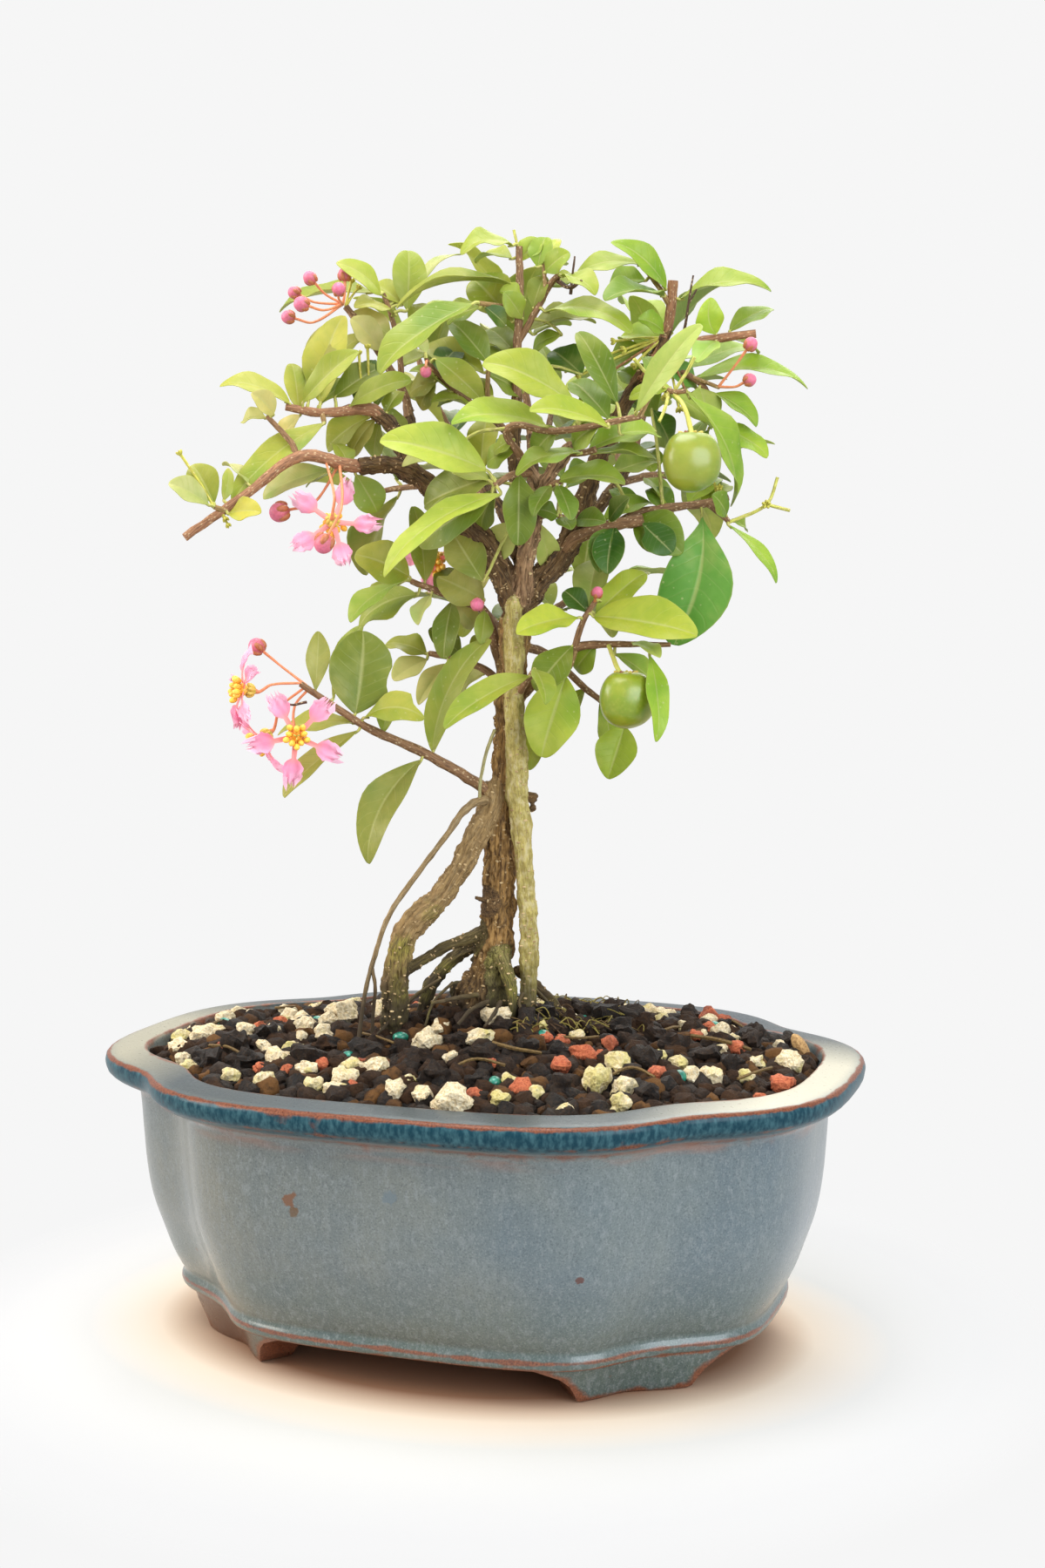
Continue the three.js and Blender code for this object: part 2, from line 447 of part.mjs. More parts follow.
// The foliage. A shoot is stems, as above, and leaves, each a row of
// [base x, base y, tip x, tip y, tip behind the base, width seen, roll in degrees, arch].
// At roll 0 a leaf shows its upper side, and at 90 its upper side faces up.
const SHOOTS = {
  leader_top: {
    stems: [
      [[593, 470, 7, 1.4], [594, 400, 7, 1.3], [597, 340, 7, 1.1], [596, 283, 7, 0.9]],
      [[596, 392, 7, 0.9], [618, 352, 6, 0.9], [632, 326, 5, 0.9], [642, 316, 3, 0.8]],
      [[627, 336, 5, 0.6], [624, 304, 5, 0.5]],
      [[597, 352, 7, 0.8], [572, 351, 1, 0.7], [550, 348, -5, 0.6]],
      [[596, 290, 7, 0.4], [590, 264, 7, 0.4]],
    ],
    leaves: [
      [589, 282, 529, 289, -6, 22, 55, 0.28],
      [589, 297, 546, 299, 8, 17, 60, 0.2],
      [592, 329, 454, 350, -4, 17, 72, 0.22],
      [589, 370, 543, 319, 5, 50, 15, 0.08],
      [600, 366, 580, 336, -8, 25, 10, 0.1],
      [618, 307, 626, 272, 3, 25, 20, 0.1],
      [626, 313, 653, 290, -5, 28, 25, 0.1],
      [628, 300, 642, 274, 8, 15, 20, 0.1],
      [643, 316, 684, 337, -7, 24, 50, 0.18],
      [604, 380, 684, 367, 7, 22, 60, 0.14],
      [626, 358, 726, 380, -12, 26, 55, 0.24],
      [612, 384, 655, 372, 12, 10, 65, 0.1],
      [543, 349, 433, 424, -10, 36, 45, 0.1],
    ],
  },
  upper_middle: {
    stems: [
      [[592, 505, 7, 1.1], [562, 478, 5, 0.9], [527, 452, 3, 0.8], [505, 432, 1, 0.7], [489, 412, 0, 0.6]],
      [[562, 478, 5, 0.7], [560, 448, 4, 0.7], [561, 420, 3, 0.6]],
    ],
    leaves: [
      [560, 416, 518, 368, 4, 30, 25, 0.1],
      [556, 428, 480, 399, 8, 32, 40, 0.12],
      [500, 412, 553, 458, -7, 30, 20, 0.1],
      [519, 450, 471, 424, -6, 15, 65, 0.16],
      [549, 474, 495, 460, -4, 16, 62, 0.26],
      [489, 406, 478, 383, 6, 14, 20, 0.1],
      [562, 420, 590, 396, 10, 20, 40, 0.1],
    ],
  },
  front_left: {
    stems: [
      [[610, 543, -12, 1.1], [586, 546, -18, 0.9], [567, 558, -21, 0.8]],
    ],
    leaves: [
      [575, 567, 437, 655, -12, 26, 50, 0.16],
      [564, 573, 480, 626, 6, 46, 25, 0.1],
      [559, 540, 437, 503, -6, 46, 35, 0.1],
      [596, 542, 595, 626, -5, 36, 15, 0.06],
    ],
  },
  front_middle: {
    stems: [
      [[599, 526, -14, 1.1], [583, 492, -16, 1.0], [638, 495, -21, 0.9], [735, 478, -28, 0.8]],
      [[735, 478, -28, 0.7], [748, 450, -30, 0.6]],
    ],
    leaves: [
      [628, 490, 519, 481, -8, 30, 50, 0.16],
      [661, 466, 556, 413, -4, 42, 35, 0.12],
      [699, 491, 610, 468, -12, 26, 45, 0.14],
      [709, 464, 664, 379, 4, 30, 15, 0.06],
      [730, 474, 803, 372, -12, 27, 25, 0.08],
      [712, 498, 758, 500, 9, 22, 50, 0.1],
      [590, 505, 566, 520, 4, 20, 40, 0.1],
    ],
  },
  limb_end: {
    stems: [
      [[650, 520, -14, 1.0], [668, 520, -17, 0.9], [684, 516, -19, 0.8]],
    ],
    leaves: [
      [668, 520, 592, 541, -7, 20, 62, 0.16],
      [676, 516, 753, 491, -9, 30, 50, 0.1],
      [678, 520, 755, 526, 3, 15, 68, 0.08],
    ],
  },
  limb_side: {
    stems: [[[621, 568, -10, 1.0], [634, 556, -14, 0.8], [644, 553, -16, 0.7]]],
    leaves: [
      [640, 553, 718, 551, -3, 24, 55, 0.16],
      [640, 557, 656, 596, -8, 22, 25, 0.1],
      [632, 558, 612, 590, -9, 20, 25, 0.1],
    ],
  },
  left_tip: {
    stems: [
      [[469, 480, 7, 1.3], [465, 455, 9, 1.2], [440, 412, 8, 1.1], [415, 375, 8, 1.0], [397, 352, 8, 0.9]],
      [[462, 450, 9, 0.9], [458, 400, 12, 0.8], [447, 355, 13, 0.7], [440, 337, 13, 0.6]],
    ],
    leaves: [
      [437, 338, 387, 301, -6, 24, 40, 0.2],
      [426, 336, 319, 352, 3, 18, 62, 0.12],
      [467, 357, 469, 286, 4, 36, 10, 0.05],
      [462, 345, 526, 287, 14, 16, 50, 0.1],
      [437, 402, 404, 365, -5, 28, 25, 0.1],
      [394, 402, 420, 387, -8, 16, 45, 0.1],
      [455, 362, 408, 351, -9, 17, 60, 0.2],
      [470, 372, 500, 352, 8, 24, 35, 0.1],
      [462, 420, 500, 408, 12, 26, 45, 0.1],
    ],
  },
  left_upper_end: {
    stems: [
      [[440, 480, -2, 1.6], [425, 470, -3, 1.7], [370, 474, -5, 1.2], [328, 467, -7, 1.0]],
      [[370, 474, -5, 0.7], [372, 486, -8, 0.6]],
    ],
    leaves: [
      [368, 462, 394, 361, 6, 36, 15, 0.05],
      [348, 462, 410, 402, -7, 28, 30, 0.1],
      [333, 463, 253, 439, -3, 20, 55, 0.18],
      [372, 486, 265, 575, -9, 34, 30, 0.04],
      [402, 466, 471, 435, -8, 26, 35, 0.14],
      [425, 478, 374, 516, 7, 30, 30, 0.1],
      [432, 480, 402, 524, 3, 24, 30, 0.1],
      [436, 484, 430, 528, 10, 24, 20, 0.1],
      [345, 476, 322, 508, 8, 22, 30, 0.1],
    ],
  },
  left_end: {
    stems: [
      [[420, 534, -9, 1.7], [405, 535, -10, 1.8], [345, 524, -14, 1.5],
        [285, 566, -18, 1.2], [212, 617, -22, 1.1]],
      [[342, 526, -14, 0.9], [334, 508, -13, 0.8], [307, 478, -12, 0.7]],
      [[258, 586, -20, 0.8], [246, 582, -22, 0.7]],
    ],
    leaves: [
      [314, 476, 289, 451, -4, 22, 30, 0.1],
      [306, 480, 278, 484, 4, 18, 45, 0.2],
      [380, 539, 301, 570, 5, 26, 45, 0.1],
      [400, 540, 350, 556, 5, 12, 65, 0.1],
      [408, 544, 434, 588, 3, 36, 15, 0.05],
      [246, 578, 221, 533, 3, 32, 15, 0.1],
      [240, 580, 194, 554, -5, 24, 35, 0.1],
      [262, 590, 299, 587, -5, 24, 35, 0.1],
      [257, 575, 263, 537, 3, 12, 40, 0.1],
      [285, 556, 257, 531, 9, 10, 60, 0.1],
    ],
  },
  left_mid: {
    stems: [
      [[582, 785, 0, 1.6], [572, 752, 3, 1.5], [556, 702, 5, 1.3], [530, 690, 6, 1.1], [472, 667, 8, 0.8]],
    ],
    leaves: [
      [470, 662, 408, 636, -5, 42, 25, 0.12],
      [488, 668, 476, 580, 6, 28, 25, 0.06],
      [462, 668, 401, 713, -7, 22, 55, 0.14],
      [480, 683, 410, 719, 4, 26, 50, 0.12],
      [495, 684, 479, 716, -8, 18, 40, 0.1],
      [520, 689, 509, 756, -5, 28, 20, 0.06],
      [557, 700, 552, 739, -6, 20, 20, 0.1],
      [556, 688, 502, 662, -8, 52, 12, 0.1],
      [540, 690, 560, 640, 12, 30, 20, 0.1],
    ],
  },
  left_inner: {
    stems: [
      [[584, 800, 2, 1.2], [560, 771, 9, 1.1], [526, 757, 14, 0.9], [493, 750, 18, 0.8]],
    ],
    leaves: [
      [514, 762, 480, 808, -8, 22, 30, 0.1],
      [558, 772, 524, 798, 8, 20, 50, 0.1],
      [530, 752, 493, 722, -4, 24, 25, 0.1],
      [490, 751, 443, 738, 4, 22, 55, 0.12],
      [490, 757, 451, 780, -4, 24, 35, 0.1],
      [543, 758, 566, 724, 12, 22, 25, 0.1],
    ],
  },
  left_low: {
    stems: [
      [[577, 922, -1, 1.8], [545, 898, -3, 1.6], [490, 866, -7, 1.3],
        [420, 834, -11, 1.1], [345, 785, -16, 0.8]],
    ],
    leaves: [
      [408, 820, 417, 723, 8, 62, 12, 0.08],
      [382, 803, 414, 716, 15, 22, 25, 0.08],
      [362, 795, 366, 724, 3, 24, 20, 0.06],
      [418, 824, 486, 822, -7, 28, 40, 0.16],
      [410, 830, 317, 839, 9, 18, 60, 0.1],
      [412, 838, 323, 913, -3, 22, 50, 0.06],
      [484, 872, 420, 990, -8, 48, 25, 0.1],
      [497, 864, 560, 731, 5, 26, 35, -0.1],
    ],
  },
  trunk_shoot: {
    stems: [[[594, 800, -4, 1.0], [605, 782, -10, 0.8], [613, 770, -13, 0.7]]],
    leaves: [
      [608, 776, 509, 834, -11, 26, 45, 0.1],
      [614, 768, 628, 806, -12, 24, 30, 0.1],
    ],
  },
  right_low: {
    stems: [
      [[592, 806, 0, 1.6], [612, 785, -2, 1.5], [660, 745, -6, 1.2],
        [690, 740, -8, 1.0], [770, 740, -12, 0.6]],
      [[659, 746, -6, 0.9], [670, 712, -9, 0.8], [684, 690, -10, 0.7]],
      [[662, 744, -6, 0.7], [655, 766, -9, 0.6]],
    ],
    leaves: [
      [650, 776, 621, 869, -4, 56, 15, 0.06],
      [634, 786, 604, 885, 6, 34, 20, 0.06],
      [658, 741, 615, 793, -9, 36, 25, 0.12],
      [665, 709, 593, 726, -8, 30, 45, 0.12],
      [682, 708, 801, 728, -12, 44, 35, 0.1],
      [684, 706, 741, 656, 5, 30, 30, 0.06],
      [676, 700, 690, 637, 14, 40, 20, 0.1],
      [690, 690, 746, 654, 14, 20, 40, 0.06],
      [746, 752, 757, 849, -5, 24, 25, 0.1],
      [706, 750, 754, 787, 8, 22, 45, 0.1],
      [727, 738, 758, 753, -9, 16, 50, 0.1],
    ],
  },
  right_fruiting: {
    stems: [
      [[600, 742, 2, 1.3], [630, 752, 9, 1.1], [672, 790, 9, 0.9], [712, 820, 9, 0.8]],
    ],
    leaves: [
      [717, 834, 698, 894, -4, 44, 15, 0.06],
      [672, 790, 640, 850, 10, 26, 30, 0.1],
      [690, 800, 700, 862, 13, 26, 25, 0.1],
    ],
  },
  right_inner: {
    stems: [[[672, 600, 0, 1.0], [658, 596, -6, 0.8], [640, 592, -9, 0.7]]],
    leaves: [
      [640, 592, 614, 584, -4, 20, 25, 0.1],
      [644, 594, 656, 606, -8, 20, 20, 0.1],
      [662, 597, 694, 598, -9, 24, 20, 0.1],
    ],
  },
  right_end: {
    stems: [
      [[648, 630, 0, 1.8], [662, 617, -2, 1.8], [690, 606, -4, 1.7], [738, 597, -7, 1.5]],
      [[705, 603, -4, 1.2], [730, 590, -1, 1.2], [758, 584, -1, 1.2], [810, 578, 0, 1.1], [836, 571, 1, 1.0]],
      [[812, 578, 0, 0.9], [828, 590, -3, 0.8], [838, 600, -4, 0.7]],
      [[836, 600, -4, 0.5], [880, 579, -6, 0.45], [893, 548, -6, 0.45]],
      [[880, 579, -6, 0.45], [907, 586, -8, 0.45]],
    ],
    leaves: [
      [700, 606, 688, 656, -6, 32, 15, 0.08],
      [736, 600, 772, 634, -4, 48, 12, 0.1],
      [690, 600, 748, 575, 6, 22, 50, 0.1],
      [700, 598, 722, 571, -9, 20, 30, 0.1],
      [806, 592, 773, 739, -9, 74, 12, 0.08],
      [836, 602, 895, 666, -6, 14, 55, 0.1],
      [834, 592, 819, 568, -8, 24, 25, 0.1],
      [842, 598, 857, 608, 8, 14, 30, 0.1],
      [768, 582, 742, 548, 10, 24, 35, 0.1],
      [790, 578, 826, 548, 10, 22, 45, 0.1],
    ],
  },
  fruit_twig: {
    stems: [
      [[738, 432, 10, 1.1], [752, 440, 2, 0.9], [766, 448, -6, 0.8],
        [778, 450, -12, 0.7], [788, 449, -13, 0.6]],
      [[774, 450, -11, 0.45], [790, 425, -13, 0.45], [798, 410, -14, 0.45]],
      [[766, 448, -6, 0.45], [742, 428, -12, 0.45], [728, 412, -15, 0.45]],
      [[768, 448, -7, 0.45], [764, 468, -16, 0.45], [757, 484, -18, 0.45]],
    ],
    leaves: [
      [768, 452, 820, 490, 10, 22, 40, 0.1],
      [770, 445, 722, 456, 4, 22, 55, 0.1],
      [760, 444, 740, 408, 6, 24, 30, 0.1],
      [790, 453, 846, 580, 16, 30, 55, 0.2],
    ],
  },
  upper_right: {
    stems: [
      [[762, 388, 11, 1.3], [769, 366, 11, 1.4], [773, 322, 10, 1.4]],
      [[770, 352, 11, 0.8], [754, 326, 8, 0.7], [738, 306, 6, 0.6]],
    ],
    leaves: [
      [765, 332, 704, 276, -8, 26, 35, 0.2],
      [738, 304, 658, 316, -6, 22, 55, 0.2],
      [742, 322, 697, 328, 9, 30, 30, 0.1],
      [763, 340, 695, 342, -10, 25, 55, 0.14],
      [780, 344, 886, 332, -4, 21, 60, 0.24],
      [762, 382, 734, 366, -7, 24, 30, 0.14],
      [760, 396, 711, 386, 8, 26, 45, 0.1],
    ],
  },
  right_top_end: {
    stems: [
      [[750, 412, 10, 1.3], [770, 402, 9, 1.3], [800, 392, 7, 1.2], [868, 383, 4, 1.1]],
    ],
    leaves: [
      [822, 384, 816, 342, -4, 27, 12, 0.06],
      [838, 380, 888, 353, 5, 20, 50, 0.14],
      [822, 392, 800, 416, -8, 24, 30, 0.1],
      [840, 388, 872, 404, 9, 14, 50, 0.1],
    ],
  },
  right_mid_end: {
    stems: [
      [[742, 428, 11, 1.1], [768, 424, 11, 1.0], [792, 432, 9, 0.9], [812, 450, 7, 0.8], [817, 490, 5, 0.7]],
      [[792, 432, 9, 0.6], [826, 445, 4, 0.5]],
    ],
    leaves: [
      [800, 434, 929, 440, -7, 20, 60, 0.2],
      [787, 424, 861, 396, 5, 24, 50, 0.08],
      [803, 445, 812, 486, -8, 34, 15, 0.1],
      [820, 452, 870, 488, -4, 22, 50, 0.12],
      [819, 488, 883, 523, -5, 24, 45, 0.1],
      [814, 492, 800, 540, 9, 26, 25, 0.1],
    ],
  },
};

// Shoots behind the crown, with leaves in opposite pairs, each pair turned a quarter from the last.
// A row gives the stem, the seed of its draws and the leaf's length.
const BACK_SHOOTS = {
  back_left_high: {
    stem: [[554, 553, 24, 1.2], [520, 500, 33, 1.1], [492, 445, 40, 0.9], [476, 398, 44, 0.7]],
    seed: 11,
    leaf: 23,
  },
  back_left_low: {
    stem: [[566, 571, 19, 1.2], [515, 556, 33, 1.0], [462, 560, 42, 0.9], [425, 566, 47, 0.7]],
    seed: 23,
    leaf: 23,
  },
  back_left_deep: {
    stem: [[548, 545, 25, 1.2], [556, 552, 38, 1.0], [552, 550, 52, 0.8], [545, 540, 62, 0.7]],
    seed: 37,
    leaf: 22,
  },
  back_top: {
    stem: [[610, 500, 30, 1.2], [604, 455, 36, 1.1], [592, 400, 40, 0.9], [588, 352, 42, 0.7]],
    seed: 41,
    leaf: 22,
  },
  back_middle_deep: {
    stem: [[611, 530, 24, 1.2], [628, 500, 42, 1.0], [634, 470, 54, 0.8], [640, 455, 62, 0.7]],
    seed: 53,
    leaf: 22,
  },
  back_right_high: {
    stem: [[725, 530, 27, 1.2], [738, 480, 35, 1.0], [752, 430, 40, 0.9], [762, 392, 43, 0.7]],
    seed: 67,
    leaf: 22,
  },
  back_right_low: {
    stem: [[706, 556, 21, 1.2], [752, 545, 35, 1.0], [780, 548, 43, 0.8], [800, 540, 48, 0.7]],
    seed: 71,
    leaf: 21,
  },
  back_right_deep: {
    stem: [[716, 542, 24, 1.2], [710, 524, 40, 1.0], [706, 505, 52, 0.8], [702, 492, 60, 0.7]],
    seed: 83,
    leaf: 22,
  },
  back_low_left: {
    stem: [[586, 742, 2, 1.2], [566, 712, 15, 1.0], [545, 690, 28, 0.9], [530, 672, 38, 0.7]],
    seed: 97,
    leaf: 20,
  },
  back_low_right: {
    stem: [[604, 722, 2, 1.3], [636, 700, 15, 1.1], [668, 680, 28, 0.9], [690, 672, 38, 0.7]],
    seed: 101,
    leaf: 20,
  },
};

// Where a stem passes nearest to a place of the picture: [x, y, distance behind the middle, radius]
function nearestOnStems(stems, x, y) {
  let best = null;
  let bestGap = Infinity;
  for (const rows of stems) {
    for (let i = 0; i + 1 < rows.length; i++) {
      const [ax, ay] = rows[i];
      const [bx, by] = rows[i + 1];
      const span = (bx - ax) ** 2 + (by - ay) ** 2;
      const share = Math.min(1, Math.max(0, ((x - ax) * (bx - ax) + (y - ay) * (by - ay)) / span));
      const near = rows[i].map((value, k) => value + share * (rows[i + 1][k] - value));
      const gap = Math.hypot(near[0] - x, near[1] - y);
      if (gap < bestGap) {
        bestGap = gap;
        best = near;
      }
    }
  }
  return best;
}

// A leaf's stalk starts inside its stem, at this share of the stem's radius from its middle
const ROOT_SHARE = 0.3;

const LEAF_ROWS = [[0.28, 0.86], [0.66, 0.94]];

// A leaf that a row of a shoot describes, with its tip moved back by a share of its length
function leafFromRow(stems, row, bend) {
  const [baseX, baseY, tipX, tipY, tipDeep, widthSeen, roll, arch] = row;
  const [rootX, rootY, rootAway, rootRadius] = nearestOnStems(stems, baseX, baseY);
  const flat = Math.hypot(tipX - baseX, tipY - baseY) * pixelSize(rootAway);
  const deep = tipDeep + bend * flat;
  const base = seen(baseX, baseY, rootAway + 0.12 * deep);
  const tip = seen(tipX, tipY, rootAway + deep);
  const root = sunk(seen(rootX, rootY, rootAway), base, rootRadius);
  const along = tip.clone().sub(base);
  const length = along.length();
  along.normalize();
  const upward = RIGHT.clone().multiplyScalar(-along.dot(UP)).addScaledVector(UP, along.dot(RIGHT));
  upward.normalize();
  const steep = Math.abs(upward.z) < 0.15 ? upward.dot(RIGHT) : upward.z;
  if (steep < 0) upward.negate();
  const turned = THREE.MathUtils.degToRad(roll);
  const normal = AWAY.clone().multiplyScalar(-Math.cos(turned)).addScaledVector(upward, Math.sin(turned));
  const width = widthSeen * pixelSize(rootAway) / Math.max(0.45, Math.cos(turned));
  return leafOf(root, base, tip, normal, Math.min(width, 0.62 * length + 1), arch);
}

function sunk(middle, outside, radius) {
  return middle.clone().add(outside.clone().sub(middle).setLength(ROOT_SHARE * radius));
}

function leafOf(root, base, tip, faceDirection, width, arch) {
  const along = tip.clone().sub(base);
  const length = along.length();
  along.normalize();
  const normal = faceDirection.clone().addScaledVector(along, -faceDirection.dot(along)).normalize();
  const across = new THREE.Vector3().crossVectors(along, normal);
  return { root, base, tip, along, normal, across, length, width, arch };
}

// The middle of a leaf at a share of its length
function spine(leaf, share) {
  const place = leaf.base.clone().lerp(leaf.tip, share);
  return place.addScaledVector(leaf.normal, leaf.arch * leaf.length * 4 * share * (1 - share));
}

// A thin blade through rows of [middle, half width], pointed at both ends
function blade(start, rows, end, across, normal, thickness) {
  const up = normal.clone().multiplyScalar(thickness / 2);
  const points = [];
  const both = (place) => points.push(place.clone().add(up), place.clone().sub(up)) - 2;
  const triangles = [];
  const face = (a, b, c) => triangles.push([a, b, c], [a + 1, c + 1, b + 1]);
  const edge = (a, b) => triangles.push([a, b + 1, a + 1], [a, b, b + 1]);
  const first = both(start);
  let left = first;
  let right = first;
  for (const [middle, half] of rows) {
    const nextLeft = both(middle.clone().addScaledVector(across, -half));
    const nextRight = both(middle.clone().addScaledVector(across, half));
    if (left !== right) face(left, right, nextRight);
    face(left, nextRight, nextLeft);
    edge(left, nextLeft);
    edge(nextRight, right);
    left = nextLeft;
    right = nextRight;
  }
  const last = both(end);
  face(left, right, last);
  edge(left, last);
  edge(last, right);
  return solidFrom(points, triangles);
}

function leafBlade(leaf, startShare = 0) {
  const rows = LEAF_ROWS.map(([share, wide]) => [spine(leaf, share), wide * leaf.width / 2]);
  const start = startShare > 0 ? spine(leaf, startShare) : leaf.root;
  return blade(start, rows, leaf.tip, leaf.across, leaf.normal, BLADE_THICKNESS);
}

// What is already in place, for leaves to bend clear of
const placed = [];
const CLEARANCE = 0.35;
const BENDS = [0, 0.2, -0.2, 0.4, -0.4, 0.6, -0.6, 0.8, -0.8];
const STALK_SHARE = 0.16;

function place(solid, shoot = null, free = solid) {
  placed.push({ solid, shoot, free, box: solid.boundingBox() });
}

function apart(solid, other, box) {
  const mine = solid.boundingBox();
  const meet = [0, 1, 2].every((i) => mine.min[i] < box.max[i] + 1 && box.min[i] < mine.max[i] + 1);
  return !meet || solid.minGap(other, 1) > CLEARANCE;
}

// The first of a leaf's bends that touches nothing, apart from its stalk on its own shoot and
// on the wood, or none
function clearLeaf(shapeAt, shoot) {
  for (const bend of BENDS) {
    const leaf = shapeAt(bend);
    const whole = leafBlade(leaf);
    const free = leafBlade(leaf, STALK_SHARE);
    const isClear = placed.every((other) => {
      if (other.shoot === shoot) return !other.free || apart(free, other.free, other.box);
      return apart(other.shoot === 'wood' ? free : whole, other.solid, other.box);
    });
    if (isClear) {
      place(whole, shoot, free);
      return leaf;
    }
  }
  return null;
}

// Leaves in opposite pairs along a back stem
const PAIRS = 3;
const PETIOLE_LENGTH = 2.2;
const BACK_ARCH = 0.12;

function backLeaves(shoot) {
  const draw = drawer(shoot.seed);
  const places = shoot.stem.map(([x, y, away]) => seen(x, y, away));
  const curve = new THREE.CatmullRomCurve3(places);
  const makers = [];
  for (let pair = 0; pair < PAIRS; pair++) {
    const at = (pair + 1) / PAIRS;
    const middle = curve.getPoint(at);
    const radius = shoot.stem[shoot.stem.length - 1][3];
    const along = curve.getTangent(at).normalize();
    const level = new THREE.Vector3().crossVectors(along, UP).normalize();
    const rise = new THREE.Vector3().crossVectors(level, along);
    const turned = (pair % 2) * Math.PI / 2 + 0.5 * (draw() - 0.5);
    for (const side of [1, -1]) {
      const out = level.clone().multiplyScalar(side * Math.cos(turned));
      out.addScaledVector(rise, side * Math.sin(turned)).addScaledVector(along, 0.75);
      const length = shoot.leaf * (0.8 + 0.35 * draw());
      const lift = 0.25 * (draw() - 0.3);
      const width = length * (0.42 + 0.1 * draw());
      out.addScaledVector(UP, lift).normalize();
      const base = middle.clone().addScaledVector(out, PETIOLE_LENGTH);
      const root = sunk(middle, base, radius);
      makers.push((bend) => {
        const tip = base.clone().addScaledVector(out, length).addScaledVector(along, bend * length * 0.5);
        tip.addScaledVector(UP, -bend * length * 0.4);
        const leaf = leafOf(root, base, tip, UP.clone().addScaledVector(out, 0.3), width, BACK_ARCH);
        return leaf;
      });
    }
  }
  return makers;
}

// Flowers: five spoon-shaped petals on narrow claws, joined by a ring that the flower's
// middle passes through: its pedicel, the calyx and the funnel of stamens.
// A row gives the middle of the ring, the way the flower faces as [right, up, nearer], the turn
// of its petals, its span and the places that its pedicel passes on the way to the stem.
const FLOWERS = {
  open: {
    middle: [340, 846, -24],
    facing: [0.15, 0.1, 1],
    turn: 0.5,
    span: 25,
    pedicel: [[338, 812, -15], [354, 791, -15.4]],
  },
  left: {
    middle: [283, 792, -19],
    facing: [-0.95, 0.15, 0.35],
    turn: 0.2,
    span: 22,
    pedicel: [[312, 786, -17], [347, 784, -16]],
  },
  lower: {
    middle: [303, 846, -12],
    facing: [-0.7, -0.55, 0.2],
    turn: 0.9,
    span: 21,
    pedicel: [[322, 812, -14], [350, 789, -15.6]],
  },
  hanging: {
    middle: [382, 598, -20],
    facing: [-0.05, -0.25, -0.9],
    turn: 0.35,
    span: 24,
    pedicel: [[384, 570, -24], [374, 529, -12]],
  },
  inner: {
    middle: [503, 642, 15],
    facing: [-0.35, -0.4, 0.8],
    turn: 0.1,
    span: 20,
    pedicel: [[514, 634, 22], [546, 646, 20], [554, 694, 6]],
  },
};
const PETALS = 5;
const PETAL_THICKNESS = 0.6;
const RING = { inner: 1.3, outer: 2.4 };
// Shares of a petal's reach, how far each place stands forward, and the half width there
const CLAW = { share: 0.42, rise: 1.0, half: 0.8 };
const BROAD = { share: 0.8, rise: 1.5, half: 3.4 };
const PETAL_TIP_RISE = 0.3;
// Rows of [place along the axis, radius] from the pedicel to the mouth of the stamens
const MIDDLE_PROFILE = [[-3.2, 0.6], [-1.8, 1.5], [-0.7, 0.85], [0.9, 0.85], [2.6, 1.8]];
const PEDICEL_RADIUS = 0.5;

function direction([right, up, nearer]) {
  const way = RIGHT.clone().multiplyScalar(right).addScaledVector(UP, up).addScaledVector(AWAY, -nearer);
  return way.normalize();
}

